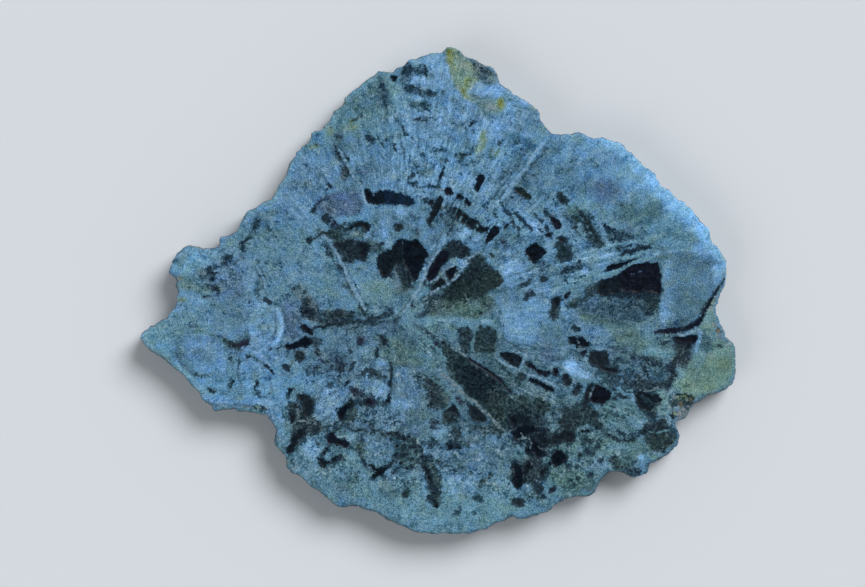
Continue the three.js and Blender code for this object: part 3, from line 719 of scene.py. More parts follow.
# --- the middle
P("olive5", [(442, 246), (455, 240), (468, 246), (470, 254), (462, 260), (450, 258), (440, 262)], 2, 0.9, 1.4)
C("inkp", [(444, 250), (440, 252), (436, 259), (431, 264), (427.5, 272), (426, 280), (429.5, 281.5), (435, 277), (438.5, 272), (442, 266), (447, 260), (450, 253)], 0.7, 0.28)
P("slate8", [(446, 244), (453, 240), (461, 241), (468, 246), (470, 252), (466, 259), (461, 259), (458, 253), (452, 252), (446, 255)], 1.2, 0.95, 1.6)
P("inkb", [(454, 243), (462, 243), (468, 248), (469, 254), (464, 257), (460, 251), (454, 248)], 1.6, 0.7, 1.6)
L("slate9", 3, [(425, 281), (424.5, 284)])
D("slate9", 429, 285, 1.4)
P("teal7", [(452, 258), (458, 257), (468, 264), (466, 270), (458, 268), (452, 263)], 1.8, 0.95)
B("lav7", 463, 263, 4, 4, 0.5)
C("ink", [(444, 271), (450, 267.5), (458, 266), (457.5, 269), (454, 274), (450.5, 280.5), (447, 276.5)], 0.6)
C("inkb", [(439, 277), (446, 283.5), (441, 287), (432, 290), (435.5, 281)], 0.9)
P("brown5", [(436, 268), (444, 270), (450, 282), (440, 292), (428, 290)], 3, 0.55)
V("veinp", 1.5, [(436, 281), (441, 275), (446, 269), (453, 266)], 0.03)
V("veinp", 1.5, [(440, 273), (445, 279), (449, 283.5), (453, 279), (457, 272), (463, 268)], 0.03)
V("veinp", 1.3, [(449, 283.5), (440, 289), (430, 294), (420, 303)], 0.03)
P("olive3", [(471, 255), (477, 253), (484, 256), (488, 262), (491, 268), (497, 272), (503, 276), (501, 283), (496, 289), (489, 292), (482, 297), (474, 300), (466, 302), (458, 303), (450, 305), (443, 300), (441, 294), (447, 288), (455, 281), (459, 275), (464, 272), (468, 265)], 2.2, 0.95, 2.0)
P("brown4", [(474, 255), (484, 258), (486, 266), (480, 276), (470, 280), (464, 274), (469, 264)], 3, 0.6, 1.6)
P("olive4", [(450, 284), (472, 276), (486, 274), (500, 276), (496, 289), (480, 297), (462, 302), (448, 300)], 4, 0.75, 2)
P("olive5", [(486, 270), (497, 273), (502, 277), (500, 284), (494, 289), (486, 287), (484, 278)], 2.4, 0.7, 1.8)
P("inkb", [(470, 268), (482, 270), (480, 280), (470, 284), (462, 280)], 2.4, 0.5, 2)
P("inkb", [(448, 289), (456, 284), (462, 292), (454, 298), (447, 296)], 2, 0.45, 2)
B("rindp", 500, 276, 3, 6, 0.35)
B("rust", 501, 281, 3, 3, 0.3)
P("brown5", [(430, 292), (446, 292), (446, 312), (428, 314), (422, 304)], 4, 0.6, 1.4)
P("grn5", [(444, 302), (474, 302), (492, 296), (496, 306), (480, 316), (446, 314)], 3.5, 0.8, 1.6)
S("veinp", 2.2, [(463, 292), (467, 297), (471, 303)], 1, 0.7)
S("slate9", 2, [(466, 304), (467, 312)], 1.4, 0.6, 1)
P("olive4", [(472, 316), (475, 313), (485, 310), (482, 314), (475, 317)], 0.9, 0.85)
P("teal7", [(424, 316), (456, 316), (490, 318), (500, 322), (500, 328), (458, 328), (456, 341), (440, 340), (424, 328)], 2.5, 0.85)
S("lav7", 5, [(440, 322), (470, 323), (500, 321)], 2, 0.45)
C("olive4", [(488, 251), (491, 252.5), (496, 257), (493, 259), (490, 255)], 0.7)
S("veinp", 1.4, [(468, 262), (474, 254), (484, 252)], 0.9, 0.5)
P("purp5", [(500, 236), (505, 238), (509, 248), (505, 250), (501, 243)], 1.6, 0.7, 1.2)
B("teal5", 511, 247, 5, 3, 0.5)
B("teal5", 497, 243, 3, 3, 0.5)
B("grn6", 516, 238, 6, 6, 0.35)
C("ink", [(523.8, 251.5), (528, 247), (532, 244), (535.5, 242), (540, 245), (546, 251.5), (543, 256), (539, 260), (533, 263), (530, 260.5), (527, 256)], 0.25, 0.3, 0)
S("lav8", 3, [(517, 262), (508, 270), (505, 284)], 3, 0.4)
B("purp5", 541, 266, 5, 5, 0.55)
C("slate9", [(538.5, 278), (543, 276), (548, 275.5), (549, 279), (543.5, 283), (540, 282.5)], 0.8)
P("slate8", [(517, 286), (524, 281), (532, 279), (531, 282), (525, 286), (520, 288)], 1.3, 0.9, 1.2)
P("purp5", [(523, 295), (530, 290.5), (534, 292), (530, 299), (526, 301)], 1.4, 0.85, 1.4)
B("slate8", 532, 291.5, 3, 1.6, 0.6, -20)
L("slate6", 1.3, [(500, 309), (499.5, 316), (499, 322), (501.5, 327)], 0.1)
C("inkp", [(545, 234.5), (550, 231.5), (554, 233), (549.5, 237), (545, 237)], 0.6)
B("lav8", 535, 228, 6, 8, 0.4)
B("lav8", 550, 244, 5, 8, 0.6)
C("brown3", [(558, 237), (563, 236.5), (566, 241), (562, 243.5)], 0.9)
B("brown6", 559, 243, 3, 3, 0.6)
C("halo", [(558, 249), (565, 246), (569, 250), (571.5, 252), (570, 258), (563.5, 258.5), (559, 262), (556, 258), (557.5, 253)], 1.2)
B("brown4", 570, 256, 4, 5, 0.5)
S("teal5", 3, [(568, 236), (574, 248), (574, 256)], 1.6, 0.4)
P("slate7", [(560, 273), (563, 269), (572, 266), (580, 263), (582, 266), (574, 270), (564, 275)], 1.6, 0.8, 1.6)
B("slate8", 578, 265, 3.5, 2, 0.5)
B("slate8", 562, 272, 3, 2.5, 0.5)
P("teal6", [(560, 276), (590, 268), (600, 272), (580, 292), (562, 288)], 5, 0.5)
B("lav6", 556, 279, 8, 6, 0.6)
C("inkp", [(564, 300), (563.5, 297), (567, 293.5), (571, 291), (569, 296.5)], 0.5)
C("inkb", [(552.5, 299.5), (557, 297), (560.5, 298.5), (558, 306), (555, 307.5), (552, 303.5)], 0.8)
P("brown4", [(551, 305), (558, 306), (557.5, 318), (552, 320.5), (550, 313)], 1.3, 0.85, 1.4)
P("olive5", [(568, 304), (573, 299), (579, 297), (577, 302), (571, 306), (569, 310)], 1.2, 0.85, 1.2)
B("och", 577, 299, 3, 1.6, 0.25)
S("lav8", 3, [(562, 303), (565, 314), (568, 326)], 1.5, 0.45)
P("lav7", [(578, 270), (590, 266), (590, 272), (582, 278)], 2.5, 0.7)
B("sky", 586, 273, 3, 4, 0.5)
# the long seams that sweep to the right
S("teal8", 6, [(556, 262), (580, 259), (604, 256), (628, 256), (646, 253)], 3, 0.7)
S("lav8", 4, [(570, 261), (596, 257), (622, 258)], 2, 0.5)
S("teal8", 3.4, [(546, 300), (556, 289), (570, 283), (584, 277), (600, 275), (618, 270), (634, 261), (648, 257)], 1.6, 0.7)
V("teal7", 2.4, [(596, 278), (608, 275), (620, 270), (630, 264), (640, 259.5), (652, 258)], 0.05)
S("teal7", 4, [(648, 257), (664, 250), (690, 240), (706, 236)], 3, 0.4)
S("teal7", 3, [(586, 250), (606, 246), (630, 236), (650, 226)], 2.5, 0.45)
C("ink", [(602, 272), (606, 268), (611, 264.5), (619, 263.5), (627, 260.5), (633, 259.5), (637, 258.2), (631, 263), (624, 267.5), (614, 269.5), (606, 272.5)], 0.7)
S("slate9", 2.0, [(628, 262), (636, 259), (641, 257)], 0.8, 0.6)
S("slate8", 3.2, [(622, 255), (631, 251), (640, 248), (651, 248)], 1.0, 0.9, 1.0)
L("halo", 1.7, [(623, 253.5), (631, 250.5), (640, 247)], 0.05, 0.9)
L("halo", 1.5, [(630, 255.5), (640, 251), (650, 248)], 0.05, 0.9)
S("slate8", 2.2, [(620, 250), (630, 246), (642, 245)], 1.0, 0.6, 1.0)
C("inkp", [(620, 272), (626, 268), (636, 264), (643, 262.5), (652, 263), (659, 264), (661, 272), (661, 284), (660.5, 296), (654, 292), (646, 291), (638, 293), (630, 291), (622, 292), (619, 282)], 0.8, 0.3)
C("ink", [(634, 273), (643, 268), (652, 266), (658, 268), (659, 282), (652, 286), (640, 285), (634, 281)], 1.2, 0.3)
C("inkb", [(597, 288), (599, 282), (606, 279), (615, 277), (621, 273), (622, 284), (621, 292), (612, 294), (604, 296), (599, 294)], 1.1, 0.26)
P("slate9", [(598, 290), (661, 286), (661, 301), (640, 299), (614, 300)], 2.6, 0.7, 2.0)
P("brown4", [(584, 290), (592, 284), (599, 282), (600, 294), (594, 298), (588, 296)], 2.4, 0.7, 1.8)
P("olive4", [(645, 298), (659, 298), (658, 311), (647, 312), (643, 304)], 2.4, 0.7, 2.2)
B("olive4", 646, 315, 4, 2.6, 0.6)
B("slate8", 634, 303, 9, 6, 0.5)
S("veinp", 2.2, [(638, 298), (640, 306), (640, 318)], 1.6, 0.4)
V("purp5", 1.2, [(632, 274), (638, 272), (644, 270)], 0.02)
S("lav7", 15, [(668, 262), (669, 280), (668, 300), (665, 324)], 4, 0.45)
B("lav8", 706, 252, 14, 6, 0.6, 10)
B("lav8", 715, 271, 8, 9, 0.8)
B("lav7", 700, 280, 12, 6, 0.3)
B("slate5", 700, 266, 12, 4, 0.4)
B("grn6", 700, 240, 10, 3, 0.35)
B("rindp", 664, 256, 8, 4, 0.5)
B("grn6", 684, 250, 8, 3, 0.4)
B("teal5", 690, 303, 8, 4, 0.3)
B("rind", 668, 322, 6, 3, 0.35)
B("lav5", 604, 306, 14, 5, 0.5)
B("rind", 586, 317, 9, 4, 0.45)
B("grn6", 640, 322, 12, 4, 0.4)

# --- round the pith
P("brown5", [(302, 296), (312, 298), (320, 308), (322, 320), (334, 318), (352, 318), (352, 326), (330, 328), (312, 322), (303, 316)], 3, 0.75, 1.6)
P("slate9", [(303, 300), (308, 299), (310, 312), (318, 320), (310, 321), (303, 316), (301, 308)], 2, 0.55, 1.6)
P("brown6", [(292, 287), (302, 286), (314, 296), (322, 308), (318, 314), (306, 304), (296, 300)], 3, 0.5, 1.6)
S("brown4", 8, [(325, 314), (338, 313), (352, 314)], 2.4, 0.8, 1.6)
B("grn5", 364, 311, 12, 6, 0.55)
S("olive5", 2, [(360, 307), (366, 314)], 1.0, 0.8, 0.8)
S("slate9", 3.4, [(318, 327), (332, 325), (344, 322), (358, 322), (372, 319), (384, 316), (394, 313)], 1.2, 0.8, 1.4)
S("slate9", 3.2, [(344, 329), (356, 328), (366, 324), (378, 322), (392, 321)], 1.4, 0.7, 1.4)
D("slate9", 371, 323, 2)
P("slate7", [(340, 326), (392, 320), (408, 326), (404, 344), (384, 330), (352, 334)], 5, 0.55, 1.2)
P("purp6", [(376, 322), (396, 322), (396, 332), (376, 330)], 4, 0.35)
S("slate9", 5, [(387, 307), (391, 311), (393, 316)], 1.6, 0.7, 1.2)
L("ink", 2.4, [(395, 321), (399, 318)])
B("lav8", 395, 312, 3.4, 5, 0.55)
S("slate8", 2.4, [(401, 312), (406, 305), (411, 299)], 1.2, 0.6, 1.2)
S("slate9", 3, [(411, 304), (414, 307)], 1, 0.7)
B("teal8", 411, 310, 5, 8, 0.5, 20)
S("slate9", 4.4, [(417, 317), (423, 314), (430, 312), (438, 311)], 1.4, 0.8, 1.4)
S("slate8", 4.2, [(414, 325), (421, 328), (428, 332), (433, 337)], 1.4, 0.75, 1.4)
V("teal7", 1.8, [(404, 320), (414, 319), (428, 318), (446, 318)], 0.04)
V("teal7", 2.0, [(404, 322), (412, 328), (420, 334), (430, 342), (440, 352), (448, 362)], 0.03)
S("teal7", 2.6, [(402, 322), (408, 332), (414, 346), (420, 360)], 1.6, 0.5)
S("slate7", 3.6, [(402, 326), (407, 332), (409, 340)], 1.4, 0.6, 1.2)
P("grn6", [(388, 338), (404, 336), (430, 352), (424, 366), (404, 366), (384, 362), (382, 352)], 5, 0.65, 1.2)
P("teal6", [(410, 330), (424, 330), (440, 346), (446, 356), (438, 368), (424, 366)], 5, 0.7)
D("slate9", 436, 345, 2.6)
S("slate8", 2.0, [(412, 341), (415, 347)], 0.9, 0.8)
S("slate7", 2.0, [(404, 341), (409, 348), (412, 356)], 1.2, 0.55)
P("purp3", [(357, 336), (362, 334.5), (366, 335.5), (365, 341), (361, 345), (357, 341)], 1.6, 0.9, 1.4)
P("brown4", [(378, 336), (384, 335), (388.5, 341), (386, 348), (382, 349), (380, 343)], 1.8, 0.85, 1.6)
S("slate8", 3, [(377, 349), (376, 353), (378, 357)], 1.1, 0.8, 0.8)
B("lav7", 363, 353, 9, 5, 0.6)
B("lav5", 370, 342, 5, 5, 0.5)
B("teal4", 365, 362, 4, 2.6, 0.7)
B("lav7", 382, 364, 8, 6, 0.6)
L("slate9", 2.8, [(391, 363), (391.5, 370), (391, 375)])
D("slate9", 390, 382.5, 1.7)
S("slate8", 2.6, [(391, 375), (391, 388), (390, 396), (387, 402)], 1.2, 0.45)
D("ink", 388, 400.5, 2)
S("slate8", 3.6, [(359, 375), (368, 370), (376, 374), (382, 377)], 1.8, 0.6, 1.4)
B("slate7", 372, 366, 6, 3, 0.4)
S("brown5", 2.4, [(401, 378), (405, 383)], 1.2, 0.5)
S("brown5", 2.6, [(404, 362), (408, 366), (412, 369)], 1.4, 0.5)
B("grn6", 406, 384, 3, 3, 0.4)
B("lav7", 378, 388, 8, 9, 0.75)
B("lav7", 400, 386, 6, 8, 0.4)

# --- the dark wedge below and right of the pith
P("olive5", [(424, 374), (434, 376), (446, 388), (452, 400), (444, 408), (432, 408), (427, 392)], 3, 0.8, 1.8)
P("brown3", [(428, 380), (436, 382), (438, 398), (432, 404), (428, 394)], 3, 0.45, 1.6)
P("olive4", [(440, 341), (448, 342), (458, 354), (470, 360), (478, 372), (470, 384), (456, 384), (450, 372), (446, 360), (444, 350)], 2.2, 0.9, 1.8)
P("olive3", [(462, 360), (478, 368), (492, 378), (506, 390), (508, 400), (502, 410), (508, 420), (500, 426), (486, 414), (476, 402), (466, 396), (460, 386), (462, 372)], 2.0, 0.97, 1.8)
P("ink", [(470, 368), (484, 374), (498, 386), (500, 394), (488, 394), (482, 402), (472, 396), (466, 386)], 4, 0.45, 2)
P("olive4", [(446, 352), (454, 352), (458, 366), (456, 382), (450, 378), (446, 366)], 2, 0.6, 1.4)
P("inkb", [(447, 362), (451, 361), (452, 371), (448, 371)], 1.4, 0.6, 1)
P("brown6", [(492, 394), (502, 396), (506, 402), (498, 404), (490, 400)], 1.8, 0.7, 1.4)
B("brown6", 499, 389, 3, 1.6, 0.5, 20)
B("brown6", 478, 383, 2.4, 4, 0.5)
S("veinp", 1.3, [(476, 388), (480, 380), (485, 374)], 0.9, 0.4)
S("veinp", 1.8, [(468, 361), (465, 368), (463, 376)], 1.0, 0.5)
P("slate8", [(457, 327), (473, 327), (473, 340), (471, 356), (462, 354), (458, 344)], 1.0, 0.95, 1.6)
P("brown4", [(459, 328), (470, 329), (471, 340), (468, 350), (463, 346), (460, 338)], 1.8, 0.6, 1.8)
P("olive4", [(475, 328), (495, 326), (496, 340), (495, 357), (488, 352), (473, 354)], 1.0, 0.92, 1.8)
P("slate8", [(484, 330), (494, 330), (494, 344), (486, 342)], 1.8, 0.55, 1.8)
P("inkb", [(476, 338), (480, 339), (478, 350), (474, 352)], 1.2, 0.7, 1)
P("inkb", [(459, 328), (471, 329), (471, 336), (460, 337)], 2, 0.4, 1.4)
V("teal6", 3.4, [(474, 326), (474, 336), (472, 345), (470.5, 354)], 0.03)
B("veinp", 486, 340, 4, 1.6, 0.4, 10)
P("teal4", [(474, 354), (490, 355), (500, 368), (514, 384), (510, 390), (494, 374), (480, 364)], 2.2, 0.7, 1.8)
P("teal4", [(494, 354), (502, 362), (518, 374), (526, 384), (518, 388), (502, 372), (492, 360)], 1.6, 0.65, 1.4)
N("olive3", 3, [(496, 362), (506, 370), (516, 380), (528, 390)], 1.6, 0.34)
V("veinp", 1.7, [(448, 344), (455, 350), (462, 354), (468, 358)], 0.04)
L("ink", 2.4, [(468, 358), (480, 366), (492, 374), (503, 384), (511, 392)], 0.4, 0.4, 0.8)
V("brown6", 1.0, [(470, 362.5), (480, 370), (488, 376)], 0.02)
V("veinp", 3.0, [(441, 373), (449, 379), (456, 386), (463, 394), (470, 399), (476, 403), (482, 409), (488, 415), (496, 423), (504, 430)], 0.05)
S("teal7", 3.4, [(422, 362), (432, 367), (442, 374)], 1.6, 0.5)
V("teal6", 2.0, [(424, 372), (434, 380), (444, 388), (452, 398), (460, 410), (466, 420)], 0.03)
B("teal8", 460, 390, 4, 3, 0.6)
P("purp3", [(455, 396), (460, 396), (464, 402), (462, 406), (457, 402)], 1.4, 0.75, 1)
C("brown3", [(469, 404), (475, 405), (482, 412), (487.5, 419), (481, 423), (474, 421), (469, 414)], 1.3)
C("inkb", [(446, 411), (449, 407), (453, 404.5), (456, 408), (459, 414), (455, 413), (450, 411)], 0.9)
P("olive4", [(443, 412), (450, 408), (457, 413), (456, 420), (450, 424), (444, 425), (441, 418)], 1.2, 0.95, 1.2)
B("brown5", 449, 417, 4, 3.4, 0.45)
P("slate7", [(456, 400), (466, 404), (468, 426), (458, 424)], 3, 0.4)
C("inkb", [(500, 352), (508, 352.5), (518, 355), (523, 357.5), (521, 364), (517, 367.5), (510, 364), (502, 358.5)], 0.9)
B("rust", 512, 359, 4, 1.4, 0.25, 20)
S("slate8", 3, [(503, 341), (512, 344), (520, 348)], 1.4, 0.6, 1.6)
S("slate8", 2.2, [(518, 349), (524, 352)], 1.0, 0.7)
V("veinb", 2.0, [(496, 358), (504, 363), (511, 367), (519, 369.5)], 0.05)
V("veinb", 1.8, [(520, 370), (522, 364), (524, 358)], 0.03)
C("brown4", [(517, 374), (522, 372.5), (526, 376), (523, 379.5), (518, 378)], 0.9, 0.15)
V("veinb", 1.8, [(520, 369), (527, 374), (536, 377), (546, 381), (556, 387)], 0.04)
C("inkp", [(525.5, 362), (529, 361), (533, 363.5), (537, 368.5), (541, 371.5), (547, 371.5), (551, 373), (548, 376.5), (541, 376), (536, 372), (530, 368.5), (526, 367.5)], 0.7)
C("inkp", [(552, 371), (556, 367), (559, 372), (557.5, 377), (553, 375)], 0.7)
C("ink", [(529.5, 379), (535, 378.5), (543, 383), (549, 386.5), (555, 389.5), (553, 393), (547, 391), (538, 385.5), (530, 382)], 0.8)
S("slate8", 2.4, [(556, 382), (562, 388)], 1.2, 0.5)
P("purp5", [(542, 348), (550, 343), (556, 350), (556, 360), (546, 362), (541, 356)], 3, 0.7, 1.6)
B("slate7", 559, 356, 4, 5, 0.6)
B("slate7", 534, 345, 5, 4, 0.4)
P("brown6", [(530, 385), (546, 392), (550, 402), (530, 398)], 3, 0.5, 1.4)
P("olive5", [(510, 394), (526, 394), (548, 400), (550, 414), (530, 416), (508, 414), (506, 404)], 3, 0.75, 2.2)
P("olive4", [(518, 398), (525, 396.5), (529, 403), (524, 410), (518, 406)], 1.6, 0.8, 1.8)
P("inkb", [(537, 404), (544, 402), (548, 408), (542, 414), (535, 411)], 1.6, 0.85, 1.8)
B("brown6", 528, 407, 4, 5, 0.6, -20)
B("rindp", 554, 402, 6, 5, 0.5)
B("teal6", 556, 414, 6, 8, 0.5)

# --- the right-hand cells
P("teal5", [(554, 326), (560, 326), (563, 338), (557, 340)], 2, 0.6)
B("slate8", 557, 337, 3, 3, 0.6)
C("slate9", [(572, 327), (577, 326), (580, 329), (575, 332)], 1.0, 0.15)
B("slate7", 586, 327, 6, 3, 0.4)
C("ink", [(567.5, 338), (573, 335.5), (577, 337.5), (582, 336.5), (588, 342), (588.5, 347), (583, 347), (576, 346), (570, 343.5)], 1.0)
V("veinp", 1.2, [(576, 336), (578, 341), (580, 347)], 0.02)
B("pink", 581, 348, 6, 2, 0.5)
C("inkp", [(580, 351), (585.5, 350), (587, 353.5), (583, 356), (580, 353.5)], 0.5)
S("slate8", 2.6, [(569, 349), (576, 352)], 1.1, 0.6)
P("slate7", [(566, 352), (580, 354), (586, 364), (574, 360)], 3, 0.55, 1.4)
P("sky", [(562, 361), (574, 360), (584, 369), (592, 373), (589, 379), (577, 380), (566, 373)], 2.4, 0.85, 0.8)
B("skyb", 573, 366, 6, 4, 0.3)
S("slate7", 1.6, [(578, 366), (586, 370)], 0.8, 0.5)
C("brown3", [(589.5, 351.5), (598, 352), (607, 351.5), (608, 358), (609, 364), (603, 364.5), (598, 367), (593, 364.5), (590.5, 359)], 1.3, 0.22, 0)
L("brown4", 1.4, [(597, 353), (596, 360)], 0.05)
C("inkb", [(594, 363), (602, 366), (608, 367.5), (616, 368), (619, 371.5), (612, 373.5), (606, 372), (600, 368.5)], 1.0)
B("rust", 611, 364, 5, 2, 0.25)
P("slate8", [(604, 372), (616, 374), (614, 380), (606, 378)], 2.4, 0.6, 1.6)
B("slate8", 618, 359, 6, 3, 0.5)
B("purp5", 594, 376, 4, 3, 0.4)
C("brown3", [(562, 377), (567, 373.5), (572.5, 381), (568, 386), (562, 382)], 1.0)
C("brown3", [(573, 391), (576, 385), (580, 383), (582.5, 385), (579, 393), (575.5, 395)], 0.7)
S("slate8", 2, [(573, 385), (578, 381.5)], 0.9, 0.6)
C("inkp", [(594, 385), (600, 384.5), (604, 388), (611, 393), (609, 399), (602, 404), (593, 403.5), (589, 400), (591, 392)], 0.9, 0.24, 0)
C("brown3", [(587, 386), (592, 384), (592.5, 389), (589.5, 396), (587.5, 404), (584, 407), (584.5, 399), (586, 391)], 0.9, 0.2, 0)
V("veinp", 1.7, [(595, 384), (592, 391), (589, 398)], 0.02)
S("brown3", 3.4, [(588, 386), (586, 396), (584, 406)], 1.2, 0.85, 1.2)
L("slate9", 2.4, [(613, 389), (618, 393), (622, 397), (626, 397)], 0.2)
C("slate9", [(611, 398), (615, 397), (617, 400), (613, 402)], 0.9, 0.15)
S("olive4", 5, [(614, 372), (626, 380), (636, 388)], 3, 0.5, 1.8)
P("slate6", [(620, 372), (632, 366), (636, 380), (628, 388), (618, 384)], 3, 0.55)
S("lav6", 4, [(632, 366), (634, 374), (633, 382)], 1.6, 0.65)
P("brown5", [(634, 374), (643, 372), (648, 382), (642, 388), (634, 386)], 2.4, 0.7, 1.2)
P("purp5", [(630, 353), (640, 356), (640, 364), (632, 362)], 2.0, 0.75, 1.4)
P("teal4", [(648, 362), (664, 364), (670, 372), (666, 382), (652, 380), (646, 370)], 3, 0.75, 1.4)
S("slate9", 2.8, [(641, 364), (646, 372), (650, 379)], 1.1, 0.8, 0.8)
S("olive4", 2.6, [(640, 358), (650, 358), (660, 362)], 1.2, 0.7, 1.2)
P("slate9", [(646, 380), (656, 384), (668, 380), (672, 374), (672, 382), (666, 386), (652, 388), (645, 386)], 1.6, 0.85, 1.6)
P("purp3", [(667, 366), (674, 365), (676, 370), (670, 376), (667, 372)], 1.6, 0.8, 1.2)
P("brown5", [(672, 343), (690, 343), (692, 354), (688, 364), (678, 368), (668, 362), (676, 352)], 3, 0.85, 1.4)
P("purp5", [(684, 350), (691, 350), (690, 362), (685, 364)], 2, 0.65, 1.0)
V("veinb", 1.6, [(673, 335), (682, 335.5), (690, 333), (699, 329)], 0.03)
B("pink", 680, 335, 6, 1.6, 0.4)
C("inkp", [(672, 337.5), (680, 337.5), (690, 335), (697, 335), (695.5, 341), (688, 343), (678, 341.5)], 0.7)
S("inkp", 3.2, [(657, 332), (668, 331), (678, 329.5), (688, 328)], 1.0, 0.9, 1.0)
C("inkp", [(684, 328.5), (693, 325.5), (699, 321), (702, 315), (705.5, 309), (706.5, 311), (704, 317), (701, 323), (695, 327), (688, 329.5)], 0.5)
L("inkp", 2.2, [(704, 312), (708.5, 304), (712, 298)], 0.3, 0.4, 0.7)
L("brown3", 1.5, [(711, 300), (715, 293), (719, 287), (723, 280)], 0.2, 0.4, 0.7)
S("brown6", 2.4, [(716, 293), (721, 286), (724, 276), (724.5, 266)], 0.8, 0.7)
S("slate8", 4, [(699, 314), (706, 304), (714, 292)], 2.4, 0.5)
S("pink", 3, [(709, 310), (713, 302), (717, 294)], 1.4, 0.6)
B("och", 713, 302, 2.4, 5, 0.5, 25)
B("grn5", 713, 319, 4, 6, 0.6)
B("rust", 714, 325, 4, 3, 0.6)
D("rust", 718.5, 330, 2.3, 0.12)
B("pink", 720, 335, 4, 2.6, 0.7)
S("sky", 1.8, [(716, 312), (724, 330), (732, 344)], 1.2, 0.4)
V("lav8", 2.8, [(701, 330), (699.5, 338), (697, 346), (696, 352)], 0.05)
P("teal4", [(702, 336), (706.5, 334), (712, 340), (713.5, 348), (715, 351), (703, 352), (699.5, 348)], 1.2, 0.95, 1.0)
D("olive4", 719.5, 346, 1.7, 0.15)
B("brown6", 707, 354, 3, 1.6, 0.5)
B("pink", 711, 355, 5, 2.4, 0.35, 20)
B("pink", 728, 345, 5, 2, 0.4, 30)
B("teal7", 726, 356, 6, 8, 0.3)
S("grn5", 1.2, [(705, 367), (714, 369.5), (723, 370.5)], 0.8, 0.6)
B("ochl", 688, 361, 4, 2, 0.4)
B("rind", 712, 376, 14, 7, 0.5)
B("teal7", 680, 376, 7, 5, 0.5)
B("olive6", 690, 386, 8, 3, 0.4)
B("olive6", 720, 388, 8, 3, 0.3, -15)
P("rust", [(676, 396), (688, 394), (697, 397), (693, 403), (687, 410), (684, 418), (676, 418), (671, 408), (668, 402)], 2.2, 0.55, 1.6)
P("pink", [(678, 398), (690, 398), (688, 408), (682, 416), (676, 414), (674, 406)], 2.2, 0.5, 1.6)
S("inkb", 2.4, [(677, 394.5), (684, 396), (690, 395.5), (695, 400)], 0.9, 0.75, 1.2)
D("olive4", 674, 403, 1.8, 0.12)
D("rust", 681, 404, 1.6, 0.12)
D("rust", 691, 400.5, 2, 0.12)
D("veinp", 686, 405, 1.6, 0.0)
S("pink", 1.6, [(666, 391), (674, 396), (678, 400)], 1.0, 0.6)
B("sky", 677, 408.5, 3, 3.4, 0.95)
B("och", 674, 413.5, 4, 2.4, 0.7)
S("inkb", 3, [(671, 416), (674, 418)], 1.0, 0.8)
B("pink", 680, 417, 4, 2.4, 0.8)
S("rust", 2, [(692, 402), (688, 410), (685, 416)], 1.0, 0.5)

# --- lower right
C("inkb", [(635, 393), (645, 391.5), (652, 394), (656, 396), (663, 398), (661, 401), (655, 402), (654.5, 408), (648, 411.5), (640, 409), (636, 401)], 1.2)
V("halo", 6.0, [(642, 397), (646, 400), (651, 404)], 0.0, 1.2, 0.6)
C("slate9", [(645, 412), (652, 411.5), (655.5, 414), (654, 419), (648, 419)], 1.1)
V("veinp", 1.4, [(640, 390), (648, 391), (656, 388.5), (664, 389)], 0.03)
B("sky", 640, 423, 10, 4, 0.45, -15)
S("slate8", 5, [(616, 430), (626, 434), (634, 437), (642, 432)], 1.8, 0.7, 2.0)
S("slate9", 3.2, [(604, 432.5), (610, 435.5), (618, 439), (626, 441), (636, 440)], 1.0, 0.85, 1.2)
P("inkb", [(640, 430), (646, 424), (654, 421), (662, 420), (669, 424), (668, 430), (660, 431), (652, 430), (644, 436)], 1.4, 0.85, 2.0)
P("olive5", [(646, 434), (656, 430), (668, 431), (676, 437), (673, 446), (662, 452), (650, 449), (645, 441)], 2, 0.92, 1.6)
S("olive4", 1.6, [(648, 441), (658, 438), (670, 437)], 0.9, 0.6)
S("olive4", 1.6, [(652, 448), (661, 445), (671, 443)], 0.9, 0.5)
B("brown6", 668, 444, 5, 3, 0.4, -20)
B("olive6", 655, 434, 6, 2.5, 0.5)
S("slate8", 1.6, [(675, 432), (676, 438)], 1, 0.6)
B("inkb", 664, 451, 3, 2.5, 0.6)
B("rind", 655, 457, 6, 3, 0.7)
B("pink", 655, 452, 7, 3, 0.4)
B("skyb", 641, 457.5, 5, 4, 0.6)
B("lav6", 641, 467, 4, 3, 0.6)
P("olive5", [(608, 459), (613, 455), (620, 461), (630, 463), (632, 468), (622, 469), (612, 467)], 1.8, 0.85, 1.6)
B("slate8", 614, 457, 3, 3, 0.6)
P("brown5", [(628, 470), (636, 468), (642, 472), (634, 476), (628, 474)], 1.6, 0.75)
B("teal7", 618, 448, 18, 5, 0.5)
P("lav5", [(586, 460), (602, 460), (604, 468), (590, 470)], 3, 0.75)
for _x, _y, _r in ((587, 451, 2.2), (580, 455, 1.8), (593, 453, 1.7), (601, 460.5, 1.9), (591, 474.5, 2.1), (577, 479, 1.6), (590, 442, 2.0), (585, 439, 1.7), (576.5, 466, 1.2), (575, 485, 1.2), (571, 480, 1.0), (598, 447, 1.6), (583, 444, 1.2), (568, 466, 1.4)):
    D("slate9", _x, _y, _r, 0.14)
L("ink", 2.2, [(581, 431), (585, 432), (589, 431.5)])
B("purp6", 583, 489, 5, 3, 0.5)
B("brown6", 590, 489, 5, 4, 0.4)
B("rind", 584, 495, 5, 2, 0.5)
P("brown4", [(584, 404), (592, 406), (598, 412), (600, 424), (608, 430), (600, 430), (590, 424), (584, 414)], 2, 0.8, 2.2)
P("inkb", [(591, 408), (596, 411), (597, 420), (592, 420)], 1.4, 0.6, 1.4)
S("inkb", 3.2, [(584, 405), (581, 413), (586, 422)], 1.2, 0.7, 1.6)
P("olive4", [(560, 418), (568, 410), (578, 412), (584, 420), (578, 428), (566, 430), (560, 424)], 2.4, 0.7, 2.4)
B("grn6", 568, 410, 6, 4, 0.5)
P("brown3", [(558, 420), (566, 418), (572, 424), (570, 430), (562, 428)], 1.8, 0.75, 1.8)
